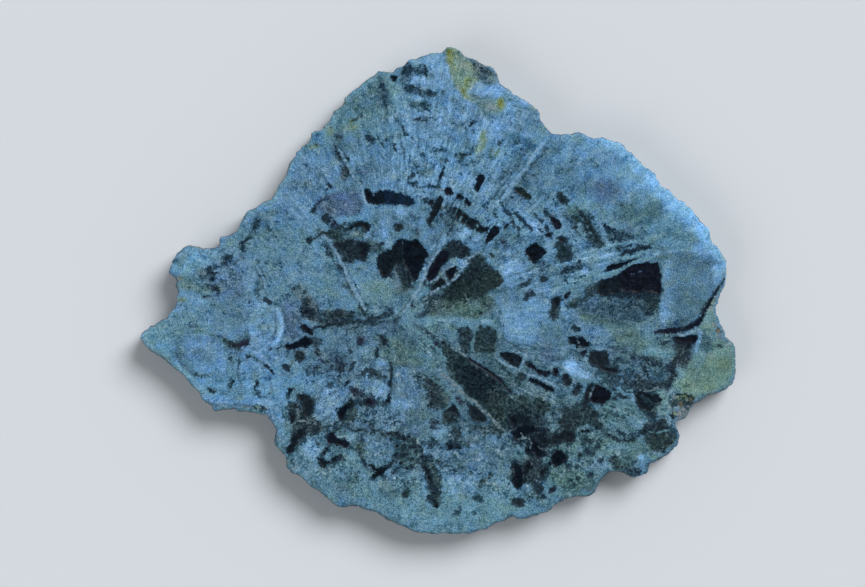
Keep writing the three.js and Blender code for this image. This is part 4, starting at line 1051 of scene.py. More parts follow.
C("brown3", [(552, 440), (556, 435), (561, 432), (564, 428), (570, 430), (575, 434), (573, 441), (568, 443.5), (562, 440), (557, 444), (552, 445)], 2.4, 0.2, 0)
C("brown4", [(561, 419), (566, 415), (571, 421), (569, 428), (564, 427)], 2.0, 0.14, 0)
P("olive5", [(546, 436), (556, 430), (556, 446), (548, 450)], 2.4, 0.7, 2)
B("rust", 550, 444, 4, 4, 0.4)
P("inkb", [(508, 412), (518, 415), (530, 414), (534, 424), (546, 430), (540, 436), (528, 432), (512, 432)], 2.2, 0.85, 3.0)
C("inkb", [(509, 414), (516, 416), (520, 413), (524, 419), (531, 416), (530, 424), (524, 426), (518, 424), (513, 429), (509, 424)], 3.0, 0.22, 0)
C("ink", [(513, 434), (518, 428), (525, 426), (533, 427), (535.5, 430), (529, 433.5), (523, 437), (518, 438.5), (514, 438)], 1.2, 0.3, 0)
V("veinp", 1.5, [(508, 432), (512, 430), (516, 428)], 0.03)
V("veinp", 1.6, [(521, 433), (524, 438), (527, 441)], 0.03)
B("brown6", 522, 422, 2.4, 1.6, 0.5)
P("slate8", [(530, 418), (545, 416), (550, 430), (545, 440), (534, 438)], 3, 0.6, 2.2)
P("inkb", [(528, 437), (540, 432), (549, 437), (546, 452), (536, 458), (526, 452)], 2.2, 0.8, 3.0)
C("ink", [(525, 450), (530, 447), (534, 440), (538, 443), (543, 449), (545, 455), (538, 457), (532, 453), (527, 453)], 2.4, 0.24, 0)
C("inkb", [(532, 436), (540, 434), (548, 438), (547, 446), (541, 443), (536, 440)], 2.4, 0.2, 0)
V("veinp", 1.6, [(518, 440), (526, 438), (531, 441), (530, 448)], 0.03)
V("brown6", 1.4, [(538, 447), (545, 449), (551, 444)], 0.02)
P("purp3", [(512, 438), (520, 440), (518, 448), (512, 446)], 2.4, 0.5)
P("teal6", [(512, 444), (524, 446), (526, 460), (514, 458)], 3.5, 0.6)
B("brown6", 538, 456, 6, 2, 0.4, 20)
P("brown5", [(524, 456), (538, 456), (546, 466), (544, 482), (530, 484), (522, 474)], 2.6, 0.85, 2.0)
B("veinp", 535, 471, 5, 4, 0.7)
S("veinb", 2.0, [(534, 478), (539, 482)], 0.9, 0.7)
C("ink", [(552, 458), (556, 452), (562, 452), (566, 456), (566.5, 462), (560, 464), (554, 467), (551, 463)], 1.6, 0.26, 0)
C("inkb", [(550, 465), (546, 472), (542, 480), (540, 474), (545, 467), (548, 461)], 1.8, 0.2, 0)
C("ink", [(512, 462), (517, 465), (522, 470), (521, 479), (521, 489), (517, 491), (514, 486), (514.5, 477), (513, 470)], 1.9, 0.24, 0)
C("inkb", [(523, 467), (529, 463), (532, 468), (528, 474), (526, 481), (522.5, 483), (524, 474)], 2.0, 0.2, 0)
C("slate9", [(535, 484), (541, 486), (543, 492), (538.5, 494.5), (533, 489)], 1.1)
D("slate9", 543, 496.5, 2.2)
C("purp3", [(549, 489), (553, 487.5), (556.5, 488.5), (553, 492), (550, 493)], 0.7)
C("brown4", [(512, 500), (520, 498), (524.5, 502), (521, 507.5), (514, 505.5)], 1.2, 0.15)
B("lav6", 527, 512, 8, 3, 0.5)
P("teal6", [(524, 490), (534, 492), (536, 500), (524, 500)], 3, 0.5)
S("olive5", 4.6, [(480, 486), (485, 480), (491, 475)], 1.3, 0.85, 1.0)
B("olive6", 471, 474, 4, 3, 0.5)
B("slate8", 478, 482, 3.4, 2, 0.6)
B("slate6", 496, 430, 12, 6, 0.4)
B("brown6", 484, 432, 8, 3, 0.4)
P("olive5", [(486, 422), (504, 424), (508, 434), (494, 436)], 3, 0.6, 2)
P("slate8", [(474, 424), (486, 426), (482, 434), (473, 432)], 2, 0.6, 1.6)
S("slate7", 1.6, [(468, 450), (464, 458), (462, 466)], 1.0, 0.5)
C("slate8", [(472, 497), (477, 496), (479, 499), (476, 501)], 1.0, 0.12)
D("slate8", 480.5, 500.5, 1.8)
B("teal5", 484, 500, 8, 5, 0.35)
D("slate8", 457.5, 513.5, 1.8)
D("slate7", 459, 507.5, 1.2)
D("slate7", 475, 513, 1.4)
B("teal5", 484, 514, 7, 4, 0.5)

# --- the foot
B("grn5", 408, 490, 8, 9, 0.4, -30)
D("olive4", 405.5, 494, 2.8, 0.12)
P("slate7", [(400, 480), (412, 480), (408, 490), (400, 490)], 3, 0.4)
S("slate8", 2, [(408, 488), (414, 482)], 1.2, 0.5)
P("olive5", [(424, 458), (434, 458), (438, 478), (442, 494), (440, 506), (430, 502), (428, 484), (424, 470)], 2.2, 0.8, 1.8)
B("pink", 431, 466, 3, 2.6, 0.5)
L("ink", 3.6, [(424, 466), (428, 472), (430, 479), (431, 484)], 0.3, 0.8)
C("slate9", [(429, 481), (434, 484), (438, 491), (438, 496), (433, 494), (430, 488)], 1.3)
D("ink", 434, 492.5, 2.6)
C("slate9", [(426, 497), (430, 496), (433, 500), (429, 501.5)], 1.0, 0.15)
L("ink", 3.6, [(434, 501), (436.5, 506.5)], 0.2)
L("ink", 3.0, [(421, 456.5), (426, 457.5), (431, 456)], 0.25, 0.8)
L("slate9", 2.6, [(425, 458), (423, 465)])
S("slate8", 3, [(437, 461), (441, 466)], 1.0, 0.7)
P("olive6", [(404, 440), (420, 442), (422, 456), (410, 462), (398, 452)], 3, 0.7, 2.0)
P("olive6", [(398, 456), (422, 458), (424, 470), (404, 470)], 3, 0.6, 2.0)
for _x, _y, _r in ((413, 441, 1.7), (411, 446.5, 2.0), (419, 446, 1.6), (416, 452, 1.8), (421, 451, 1.4), (407, 451, 1.2), (405, 447, 1.3)):
    D("slate9", _x, _y, _r, 0.12)
S("slate9", 5, [(384, 434), (394, 434), (402, 434)], 1.4, 0.8, 2.0)
S("slate9", 4, [(403, 435), (406, 441), (401, 447)], 1.2, 0.85, 1.4)
C("slate9", [(393, 454), (397, 452), (400, 455), (397, 458.5), (393, 457)], 1.0, 0.15)
S("slate8", 3, [(396, 459), (390, 464), (384, 468)], 1.2, 0.85, 1.0)
C("ink", [(371, 463), (374, 465), (376, 469), (383, 467), (389, 464), (391, 465), (386, 469.5), (382, 472), (385, 476), (383, 479), (379, 475), (373, 480), (371, 477.5), (375, 473), (372, 468)], 0.9)
B("rust", 383, 470, 3, 2, 0.4)
B("lav6", 388, 470, 4, 3, 0.5)
S("slate8", 3.6, [(390, 474), (398, 470), (408, 467), (418, 469)], 1.8, 0.6, 1.8)
B("lav7", 402, 404, 14, 9, 0.7)
B("sky", 408, 406, 7, 4, 0.3)
B("lav7", 440, 434, 9, 7, 0.6)
B("teal8", 443, 432, 5, 6, 0.4)
B("lav7", 436, 456, 5, 5, 0.45)
B("purp6", 437, 452, 4, 4, 0.4)
B("slate7", 432, 443, 9, 5, 0.6)
C("ink", [(445, 443.5), (451, 442.5), (452.5, 447), (448.5, 450.5)], 1.0)
S("slate8", 3.6, [(452, 444.5), (461, 445)], 1.2, 0.75, 1.4)
P("slate8", [(452, 426), (460, 427), (462, 441), (454, 442), (450, 434)], 2.4, 0.65, 1.8)
B("slate8", 467, 446, 3.4, 2, 0.6)
P("slate8", [(430, 422), (438, 420), (438, 427), (431, 428)], 1.8, 0.65, 1.4)
P("brown4", [(428, 392), (438, 394), (440, 406), (432, 410), (428, 402)], 2, 0.6, 1.6)
B("grn6", 412, 420, 8, 6, 0.4)
B("brown6", 470, 440, 8, 6, 0.4)

# --- lower left
C("brown3", [(296, 398), (300, 394), (306, 393.5), (310, 397), (314.5, 402), (314, 409), (312, 416), (306, 418), (301, 414), (304, 407), (300, 402)], 1.3, 0.24)
B("rust", 303, 397, 3, 2.2, 0.6)
P("brown5", [(288, 402), (300, 404), (304, 414), (312, 418), (322, 422), (322, 432), (308, 430), (302, 438), (292, 440), (292, 420)], 2.6, 0.85, 2.0)
B("olive6", 297, 415, 4, 5, 0.8)
L("inkb", 1.8, [(289.5, 389), (287.5, 394), (287, 398)])
S("teal4", 2.2, [(289, 390), (293, 388), (296, 391)], 0.9, 0.6)
D("slate9", 295, 406.5, 2.8)
C("inkb", [(291, 410), (294, 412), (294, 422), (298, 425), (292, 424), (290, 416)], 1.2, 0.15)
S("slate9", 2.2, [(298, 423), (305, 424), (312, 425)], 1.2, 0.7, 1.4)
C("inkb", [(302, 428), (307, 428), (304, 434), (300, 440), (296, 446), (293, 451), (288, 453), (286, 449), (290, 443), (293, 436), (297, 431)], 1.5, 0.2)
P("purp3", [(288, 444), (296, 444), (292, 452), (286, 453)], 1.8, 0.6, 1.4)
C("slate9", [(312, 428), (316, 427), (319, 431), (316, 434), (313, 432)], 0.9, 0.15)
S("slate8", 2.4, [(318, 424), (325, 419), (332, 416)], 1.2, 0.6, 1.2)
S("slate8", 2, [(331, 430), (334, 426), (337, 423)], 1.0, 0.8)
B("brown6", 284, 448, 4, 3, 0.5)
B("brown6", 277, 440, 3, 4, 0.5)
B("teal5", 278, 427, 3, 2, 0.7)
B("teal7", 284, 432, 5, 9, 0.5)
B("pink", 295, 468, 3, 3, 0.6)
B("brown6", 291, 462, 4, 3, 0.5)
B("olive6", 313, 482, 5, 3, 0.6, 30)
B("brown6", 309, 476, 4, 3, 0.4)
C("ink", [(348, 401), (352, 399.5), (354, 402.5), (350.5, 407), (346.5, 411), (345, 416), (343.5, 421), (340, 420), (338.5, 415), (336.5, 411), (340.5, 408.5), (345, 406.5)], 1.3)
S("slate9", 2.2, [(345, 411), (347, 406), (349, 402)], 0.8, 0.7)
P("olive5", [(348, 402), (355, 403), (356, 414), (352, 420), (346, 424), (343, 420), (350, 412)], 2, 0.8, 1.6)
S("slate8", 3, [(343, 419), (340, 425), (336, 430)], 1.4, 0.6, 1.4)
P("brown5", [(346, 418), (356, 418), (354, 426), (346, 426)], 2.4, 0.5, 1.4)
C("inkp", [(326, 437), (329, 434), (333, 433), (337, 438), (345, 440), (351.5, 446), (348, 449), (340, 446), (334, 444.5), (329, 446), (328, 441)], 1.1, 0.3)
B("rust", 328, 434, 2.6, 2, 0.4)
L("ink", 2.0, [(328, 447), (326, 451), (323.5, 455)])
C("inkb", [(318, 459), (323, 457.5), (326, 462), (325, 467.5), (321, 465), (319, 462)], 1.0)
L("slate9", 2.4, [(341, 455), (338, 459), (335, 462)])
L("slate9", 1.8, [(340, 456), (345, 460)])
L("slate9", 1.8, [(329, 463), (334, 461)])
B("slate8", 334, 466, 3.4, 1.8, 0.8)
B("teal7", 346, 458, 8, 8, 0.3)
S("olive6", 3, [(356, 444), (361, 450), (363, 458)], 1.6, 0.7, 1.4)
B("och", 360, 446, 4, 5, 0.35)
C("slate9", [(362, 459), (365, 461), (366, 466), (363, 464)], 0.8, 0.15)
S("slate8", 3, [(364, 464), (368, 469), (372, 470)], 1.2, 0.75, 1.2)
S("slate8", 2.6, [(356, 430), (361, 434), (364, 441)], 1.3, 0.55, 1.2)
S("slate7", 3.4, [(346, 430), (356, 429), (372, 431), (384, 434)], 1.8, 0.55, 1.6)
S("slate8", 3, [(356, 415), (364, 421), (372, 427)], 1.8, 0.4, 1.6)
B("teal8", 350, 436, 6, 5, 0.6)
B("lav7", 392, 420, 8, 10, 0.35)
P("purp3", [(349, 389), (355, 388), (359, 390), (359, 395), (355, 398), (352, 394)], 1.4, 0.8, 1.6)
S("brown6", 3, [(360, 394), (368, 396)], 1.6, 0.5)
C("purp3", [(368, 400), (372, 398.5), (377, 401), (375, 405.5), (369, 405)], 1.2, 0.15)
P("slate8", [(356, 400), (362, 398), (368, 402), (364, 406), (357, 405)], 1.4, 0.75, 1.8)
L("inkp", 2.8, [(345, 386), (347, 383), (349, 381)])
D("slate8", 331, 384.5, 1.9)
S("slate8", 2, [(341, 364), (340, 370)], 1.1, 0.7)
S("slate8", 2, [(353, 365), (350, 370)], 1.1, 0.6)
D("slate9", 350.5, 351.5, 1.3)
S("slate8", 2.2, [(347, 344), (350, 350)], 1.1, 0.5)
B("slate7", 352, 376, 6, 5, 0.4)
L("slate9", 2.4, [(354, 363), (351, 369)], 0.1)
B("purp5", 336, 362, 10, 7, 0.6)
P("teal6", [(285, 405), (290, 404), (290, 440), (284, 438)], 3, 0.5)

# --- left
C("ink", [(285.5, 345), (291, 343), (297, 341.5), (302, 338.5), (309, 338), (313, 341), (311.5, 345.5), (306, 346.5), (300, 347.5), (295, 349.5), (288, 350)], 1.4, 0.3)
P("brown4", [(310, 338), (320, 339), (323, 344), (318, 348), (311, 347)], 1.6, 0.75, 1.8)
P("brown4", [(314, 349), (321, 350), (322, 359), (316, 358)], 1.2, 0.7, 1.8)
P("slate8", [(300, 336), (318, 336), (322, 344), (304, 342)], 2, 0.7, 1.6)
S("slate7", 2, [(268, 349), (277, 348), (286, 347)], 1.0, 0.7, 1.0)
C("inkp", [(301, 325), (305, 323.5), (310, 328.5), (313.5, 334), (310, 335.5), (304, 331.5)], 0.8)
B("veinb", 314, 325, 4, 3, 0.5, 30)
C("slate9", [(265, 298), (268, 298.5), (271.5, 303), (268, 304.5)], 0.6)
S("slate8", 1.3, [(292, 312), (297, 318), (301, 324)], 0.8, 0.6)
S("sky", 3.0, [(264, 302), (272, 305), (278, 311), (281.5, 320), (281.5, 330), (278, 339), (271, 346)], 1.2, 0.8, 0.4)
S("slate6", 2.6, [(262, 307), (269, 310), (275, 318), (276, 328), (272, 337), (265, 343)], 1.4, 0.55, 0.4)
S("slate7", 1.8, [(276, 303), (283, 311), (286, 322), (285, 334), (281, 343)], 0.9, 0.6, 0.6)
S("sky", 3, [(250, 324), (252, 334), (252, 346)], 1.6, 0.6)
S("sky", 2.4, [(262, 342), (270, 336), (274, 330)], 1.6, 0.35)
P("brown4", [(293, 351), (302, 350), (307, 357), (302, 362), (297, 358), (294, 355)], 1.4, 0.9, 1.6)
B("brown6", 304, 351, 4, 2.2, 0.7)
P("brown4", [(314, 351), (319, 353), (323, 359), (320, 360), (315, 355)], 1.4, 0.85, 1.4)
C("slate9", [(285, 367), (289, 367), (290.5, 371), (287, 371.5)], 0.7)
S("olive6", 2.2, [(290, 366), (294, 360)], 1.0, 0.6)
B("brown6", 284, 374, 4, 3, 0.4)
P("olive5", [(222, 336), (230, 340), (238, 342), (236, 349), (230, 351), (226, 346)], 1.6, 0.7, 1.4)
B("brown6", 233, 345, 4, 3, 0.5)
C("purp3", [(235, 345.5), (240, 342.5), (246, 340), (249, 337), (249.5, 343), (246, 347.5), (239, 348)], 1.0)
B("purp3", 247, 343, 2.6, 4, 0.8)
P("teal4", [(243, 330), (249, 328), (249.5, 340), (245, 339)], 1.8, 0.75, 1.2)
S("slate8", 1.6, [(220, 335), (224, 339)], 1, 0.6)
S("teal4", 2.2, [(247, 355), (254, 358), (260, 361), (263, 363)], 1.1, 0.8, 1.4)
D("slate9", 248, 356.5, 1.5)
L("inkp", 2.2, [(264, 364.5), (268, 368), (271, 371), (273.5, 374)], 0.25)
S("slate7", 1.6, [(239, 360), (238, 366)], 0.9, 0.6)
B("teal5", 230, 360, 3, 3, 0.5)
B("teal5", 228, 372, 3, 10, 0.25)
P("teal4", [(230, 378), (234, 378), (234, 386), (230, 392), (227, 390)], 1.6, 0.7, 1.6)
C("slate9", [(207, 388), (211, 387.5), (215, 392), (213, 394), (209, 391)], 1.0, 0.15)
B("slate7", 213, 390, 5, 4, 0.5)
S("teal4", 4, [(184, 372), (196, 375), (208, 376)], 2, 0.6, 1.4)
S("teal5", 1.6, [(218, 393), (226, 394)], 1, 0.5)
D("inkp", 257, 383.5, 1.7)
S("slate7", 1.4, [(257, 382), (260, 379), (263, 378)], 0.8, 0.6)
S("slate7", 2, [(255, 388), (256, 384)], 1.0, 0.5)
D("slate7", 259, 392.5, 1.4)
S("slate5", 2.6, [(254, 370), (252, 382), (256, 394)], 2, 0.4)
S("slate6", 2.2, [(266, 380), (272, 386), (268, 396)], 1.6, 0.35)
B("brown6", 272, 388, 3, 5, 0.3)
B("rindp", 240, 398, 6, 3, 0.5)
B("ochl", 240, 399, 4, 2.6, 0.4)
B("brown6", 247, 406, 6, 2.4, 0.6)
B("och", 258, 408, 4, 2.4, 0.65)
S("inkb", 1.4, [(252, 410), (258, 405), (264, 410)], 0.8, 0.5)
B("rust", 266, 408.5, 3, 2, 0.8)
B("pink", 272, 416, 4, 3, 0.4)
S("teal4", 2, [(283, 410), (283, 416)], 0.9, 0.7)
P("slate8", [(207, 268), (213, 264), (213, 272), (217, 278), (214, 281), (209, 277)], 1.5, 0.9, 1.6)
P("slate8", [(205, 283), (212, 284), (218, 288), (223, 290), (220, 292), (212, 289), (206, 287)], 1.3, 0.9, 1.6)
S("slate8", 4, [(212, 278), (208, 283)], 1.4, 0.6)
B("inkp", 206, 296.5, 3.2, 1.6, 0.8)
B("purp5", 214, 297, 6, 3, 0.4)
B("brown5", 203, 276, 4, 5, 0.3)
C("slate9", [(224, 258), (227, 255), (230, 257), (227, 260)], 0.8, 0.12)
B("slate7", 223, 262, 4, 3, 0.7)
B("slate7", 233, 262, 4, 3, 0.6, -40)
P("slate8", [(238, 241), (244, 240), (249, 238), (247, 244), (242, 248), (239, 246)], 1.5, 0.85, 1.6)
S("slate7", 4, [(249, 238), (254, 234)], 2, 0.6)
P("slate8", [(251, 225), (255, 217), (260, 218), (262, 224), (258, 229), (252, 231)], 1.8, 0.8, 2.0)
P("teal5", [(258, 216), (268, 210), (282, 208), (280, 214), (266, 218)], 2.6, 0.7, 1.4)
B("slate6", 277, 223, 4, 3, 0.8)
B("slate6", 274, 236, 6, 4, 0.5)
B("teal5", 296, 248, 3, 3, 0.5)
B("teal5", 282, 247, 4, 4, 0.4)
B("lav7", 290, 210, 7, 5, 0.5)
B("lav6", 248, 220, 4, 10, 0.4, 30)
B("teal5", 256, 268, 5, 8, 0.3)
S("slate6", 2.4, [(256, 270), (258, 282), (256, 294)], 1.2, 0.6)
S("slate6", 1.8, [(261, 268), (264, 278), (268, 286)], 1.0, 0.6)
P("lav7", [(242, 276), (252, 274), (254, 296), (246, 300)], 3.5, 0.7)
B("slate7", 248, 296, 3, 5, 0.3)
S("slate7", 3, [(283, 262), (290, 258), (300, 262)], 2.4, 0.3)
P("olive6", [(290, 284), (300, 282), (304, 292), (296, 296), (288, 292)], 3, 0.4)
S("slate8", 1.8, [(291, 291), (295, 287)], 1, 0.6)
B("slate6", 192, 326, 7, 3, 0.7, 10)
B("teal5", 194, 320, 5, 3, 0.4)
B("slate7", 202, 308, 3, 1.6, 0.5)
B("teal5", 180, 340, 6, 8, 0.35, 30)
B("lav7", 180, 306, 8, 8, 0.6, -30)
S("lav8", 3, [(160, 320), (172, 313), (180, 304)], 1.6, 0.6)
S("lav7", 5, [(205, 322), (218, 324), (232, 332)], 3, 0.5)
S("lav7", 4, [(222, 350), (226, 362), (222, 376)], 3, 0.4)
B("ochl", 152, 341, 6, 4, 0.4)
B("rindp", 146, 336, 4, 5, 0.4)
B("och", 181, 277, 2.6, 3, 0.4)
B("och", 180, 300, 4, 2.6, 0.55)
B("rust", 181, 302, 3, 1.4, 0.4)
B("ochg", 191, 287, 9, 4, 0.45)
B("lav8", 184, 294, 4, 2.4, 0.5)
B("pink", 180, 255, 3, 2, 0.4)
B("teal5", 222, 254, 7, 4, 0.4)
B("brown6", 228, 238, 6, 1.6, 0.5)
B("rindp", 228, 243, 5, 4, 0.4)

# --- upper left
L("slate9", 3.4, [(327.5, 183.5), (331, 188)], 0.15)
D("slate9", 327, 189, 1.2)
P("slate7", [(330, 144), (338, 142), (342, 154), (348, 164), (344, 168), (338, 160), (332, 152)], 2.4, 0.6, 1.8)
P("slate8", [(344, 152), (349, 158), (351, 163), (346, 160)], 1.2, 0.75, 1.2)
P("slate8", [(334, 148), (338, 152), (344, 162), (340, 162), (335, 155)], 1.2, 0.55, 1.2)
V("veinb", 2.0, [(337, 148), (341, 153), (345, 160), (349, 168), (353, 176), (358, 184)], 0.05)
P("brown5", [(345, 164), (350, 168), (348, 178), (342, 182), (340, 174)], 2, 0.7, 1.8)
B("slate8", 346, 175, 3, 3, 0.6)
D("slate9", 355.5, 181, 1.5)
S("slate8", 1.8, [(359, 180), (362, 184)], 0.9, 0.7)
S("brown6", 3, [(356, 172), (366, 172), (372, 171)], 2, 0.6)
P("slate6", [(360, 164), (392, 160), (394, 170), (362, 174)], 5, 0.5)
B("slate7", 348, 190, 8, 4, 0.3)
P("slate8", [(365, 137), (371, 134), (375, 139), (374, 144), (368, 142)], 1.6, 0.85, 2.0)
B("slate8", 378, 137, 2.6, 3, 0.7)
L("slate8", 1.6, [(380, 142), (384, 147)], 0.1)
V("teal7", 1.6, [(374, 134), (378, 141), (382, 148)], 0.03)
B("slate7", 387, 138, 3, 3, 0.6)
B("slate7", 372, 126, 12, 4, 0.3)
P("teal6", [(360, 120), (400, 118), (400, 134), (362, 132)], 6, 0.5)
B("slate7", 383, 122, 8, 3, 0.4)
B("lav8", 393, 118, 5, 5, 0.6)
B("lav6", 350, 140, 8, 6, 0.4)
S("olive5", 4, [(350, 123), (354, 120), (359, 117)], 1.3, 0.85, 1.2)
B("ochg", 353, 128, 8, 4, 0.55)
B("och", 350, 122, 3, 3, 0.35)
B("slate7", 362, 115, 3, 3, 0.5)
P("slate8", [(334, 133), (339, 132), (342, 138), (338, 142), (334, 138)], 1.8, 0.85, 1.4)
S("slate8", 1.8, [(341, 138), (344, 141)], 0.9, 0.7)
B("ochg", 328, 129, 4, 8, 0.5, -20)
B("rust", 330, 124, 3, 3, 0.35)
B("och", 313, 147, 7, 3, 0.55, -10)
B("grn6", 328, 136, 4, 4, 0.5)
B("pink", 348, 100, 3, 3, 0.4)
B("slate7", 350, 103, 4, 5, 0.4)
B("slate7", 344, 112, 4, 3, 0.4)
B("rindp", 356, 93, 4, 3, 0.4)
B("slate7", 294, 186, 8, 5, 0.6, -30)
B("teal5", 292, 182, 5, 6, 0.4)
S("slate6", 3, [(296, 190), (310, 182), (318, 172)], 2.4, 0.5)
B("slate6", 318, 182, 4, 3, 0.3)
B("lav7", 308, 158, 9, 8, 0.4)
S("slate6", 2, [(300, 222), (308, 220), (318, 222)], 1.6, 0.4)
B("slate6", 384, 155, 4, 3, 0.4)
B("slate6", 398, 166, 5, 3, 0.4)
B("lav7", 408, 140, 9, 8, 0.4)

# --- darker islands of the top and the upper left
M("night", [(407, 61), (414, 65), (429, 65), (428, 79), (420, 77), (410, 75), (399, 77), (402, 68)], 1.6, 0.50)
M("night", [(401, 77), (410, 77), (408, 84), (402, 84)], 1.6, 0.40)
M("night", [(401, 84), (412, 84), (424, 88), (439, 91), (437, 98), (424, 98), (410, 94), (402, 90)], 1.6, 0.48)
M("night", [(409, 100), (430, 101), (434, 110), (418, 111), (409, 107)], 2.2, 0.48)
N("olive3", 3, [(412, 119), (422, 119), (432, 118)], 1.2, 0.55)
for _x in range(402, 436, 4):
    N("ink", 1.8, [(_x, 66 + (_x * 7) % 5), (_x + 1, 75 - (_x * 5) % 4)], 0.8, 0.35)
M("night", [(377, 79), (383, 80), (389, 98), (385, 103), (378, 92)], 2.5, 0.45)
M("night", [(348, 96), (364, 88), (372, 100), (362, 114), (350, 110)], 5, 0.22)
M("olive3", [(350, 117), (358, 116), (362, 112), (366, 115), (358, 122), (351, 123)], 1.4, 0.55)
B("och", 355, 127, 5, 3, 0.45, -20)
B("och", 331, 131, 4, 5, 0.45, 30)
N("olive3", 3, [(329, 122), (333, 132), (339, 140)], 1.6, 0.50)
B("och", 314, 146, 8, 2.6, 0.5, -15)
N("ink", 3, [(334, 146), (338, 153), (343, 160)], 1.4, 0.55)
N("ink", 3.2, [(345, 155), (350, 160)], 1.2, 0.62)
N("brown4", 5, [(340, 166), (350, 170), (346, 176)], 1.8, 0.45)
N("night", 2, [(352, 162), (358, 172), (360, 182)], 1, 0.45)
M("night", [(364, 134), (376, 134), (377, 143), (368, 143)], 1.6, 0.58)
N("night", 4, [(378, 138), (388, 140)], 1.4, 0.5)
N("night", 1.8, [(376, 143), (382, 152)], 0.9, 0.5)
N("ink", 1.8, [(402, 126), (406, 135)], 0.8, 0.55)
N("ink", 2.2, [(392, 143), (396, 151)], 0.9, 0.55)
N("night", 4, [(401, 144), (404, 152), (405, 161)], 1.4, 0.5)
M("night", [(428, 146), (446, 145), (450, 151), (434, 152)], 1.6, 0.45)
D("inkb", 452.5, 124, 1.5)
L("inkb", 2.6, [(469.5, 125.5), (473, 122)])
M("night", [(457, 153), (465, 153), (466, 157), (463, 162), (457, 161)], 1.6, 0.40)
for _x, _y, _t in ((420, 157, 8), (424, 156, 6), (429, 155, 8), (432, 158, 9), (436, 157, 8), (446, 158, 7), (450, 158, 6), (454, 161, 8), (415, 160, 6), (410, 163, 8), (405, 165, 6), (460, 170, 8), (465, 167, 7), (428, 168, 7), (396, 163, 8)):
    _d = np.array((_x - 398.0, _y - 318.0)) / math.hypot(_x - 398.0, _y - 318.0)
    N("night", 2.2, [(_x, _y), (_x + _d[0] * _t, _y + _d[1] * _t)], 0.9, 0.50)
M("olive3", [(414, 168), (424, 166), (434, 174), (430, 179), (418, 179)], 2.2, 0.42)
M("night", [(408, 174), (416, 172), (415, 180), (409, 181)], 1.2, 0.6)
M("ink", [(406, 180), (419, 181), (421, 189), (410, 189)], 1.6, 0.5)
N("night", 4, [(421, 186), (432, 186), (442, 185)], 1.2, 0.6)
N("night", 3, [(420, 199), (428, 199)], 1.2, 0.5)
M("night", [(504, 140), (520, 138), (528, 152), (514, 172), (502, 186), (496, 176), (504, 158)], 4, 0.30)
M("night", [(512, 135), (524, 137), (536, 146), (534, 152), (522, 146), (512, 141)], 2.2, 0.26)
M("night", [(536, 150), (552, 148), (548, 164), (532, 184), (524, 182), (532, 166)], 4, 0.30)
P("ochg", [(466, 92), (477, 98), (488, 103), (497, 98), (505, 99), (504, 109), (494, 115), (484, 112), (474, 105), (466, 99)], 3, 0.45, 1.4)
B("och", 500, 104, 4.5, 7, 0.6)
M("night", [(478, 64), (490, 68), (494, 76), (484, 74), (476, 70)], 1.8, 0.42)
N("ink", 3, [(328, 182), (331, 187)], 1, 0.7)
N("ink", 3, [(345, 170), (350, 176)], 1.2, 0.5)
N("ink", 3, [(313, 212), (320, 203), (330, 196)], 1.2, 0.62)
M("ink", [(320, 216), (328, 213), (338, 228), (332, 231), (325, 225)], 1.4, 0.62)
M("olive3", [(324, 229), (336, 228), (344, 224), (347, 233), (334, 241), (326, 238)], 1.8, 0.62)
M("olive3", [(340, 224), (352, 220), (370, 220), (372, 232), (366, 234), (356, 228), (344, 234)], 1.8, 0.60)
N("brown4", 3, [(308, 240), (318, 233), (330, 230)], 1.2, 0.55)
M("ink", [(307, 238), (312, 239), (311, 244), (307, 244)], 0.9, 0.7)
M("ink", [(321, 239), (326, 243), (334, 256), (330, 259), (323, 250)], 1.6, 0.66)
M("ink", [(356, 241), (369, 242), (370, 254), (362, 260), (346, 262), (341, 256), (356, 254)], 2, 0.5)
N("ink", 2.4, [(332, 257), (340, 268), (348, 278)], 1, 0.62)
N("night", 2.4, [(351, 276), (356, 286), (361, 296)], 1, 0.50)
N("olive3", 2.2, [(346, 282), (351, 290), (355, 297)], 0.9, 0.55)
M("olive3", [(356, 300), (366, 302), (374, 314), (366, 318), (358, 310)], 2, 0.52)
M("night", [(251, 216), (263, 215), (262, 226), (256, 232), (250, 230)], 2.2, 0.60)
M("night", [(272, 220), (282, 219), (282, 226), (274, 226)], 2, 0.45)
M("ink", [(238, 240), (249, 239), (248, 248), (242, 254), (237, 250)], 2, 0.55)
N("night", 4, [(246, 252), (250, 236), (258, 228)], 2, 0.35)
M("ink", [(220, 260), (226, 255), (233, 254), (234, 262), (224, 266)], 1.8, 0.60)
B("purp3", 243, 257, 4, 3, 0.4)
M("ink", [(206, 266), (214, 265), (216, 278), (209, 278)], 1.8, 0.66)
M("brown3", [(205, 283), (214, 285), (223, 289), (221, 295), (212, 292), (206, 289)], 1.6, 0.68)
N("inkp", 3, [(202, 296), (210, 297)], 1, 0.6)
N("purp3", 3, [(214, 296), (222, 298)], 1.2, 0.5)
M("night", [(206, 262), (236, 262), (246, 270), (240, 284), (222, 288), (212, 280)], 4, 0.28)
S("lav8", 3, [(218, 279), (226, 278)], 1.2, 0.6)
N("night", 2.2, [(252, 272), (260, 280), (258, 297)], 1, 0.50)
N("night", 2.2, [(261, 275), (266, 284), (270, 292)], 1, 0.50)
N("ink", 4, [(264, 298), (270, 304)], 1, 0.7)
S("lav8", 2.2, [(258, 306), (270, 308), (277, 314), (279.5, 326), (278, 338), (275, 346)], 1.1, 0.55)
S("purp6", 8, [(288, 300), (290, 320), (288, 340)], 3, 0.35)
M("brown3", [(290, 290), (298, 283), (306, 291), (316, 302), (323, 316), (314, 314), (306, 300), (296, 294)], 2.5, 0.36)
M("ink", [(299, 302), (306, 298), (312, 308), (318, 320), (306, 320), (300, 312)], 1.8, 0.60)
M("brown4", [(318, 316), (334, 310), (354, 310), (356, 318), (338, 322), (322, 324)], 2, 0.55)
M("night", [(276, 296), (290, 292), (298, 304), (284, 308)], 3, 0.36)
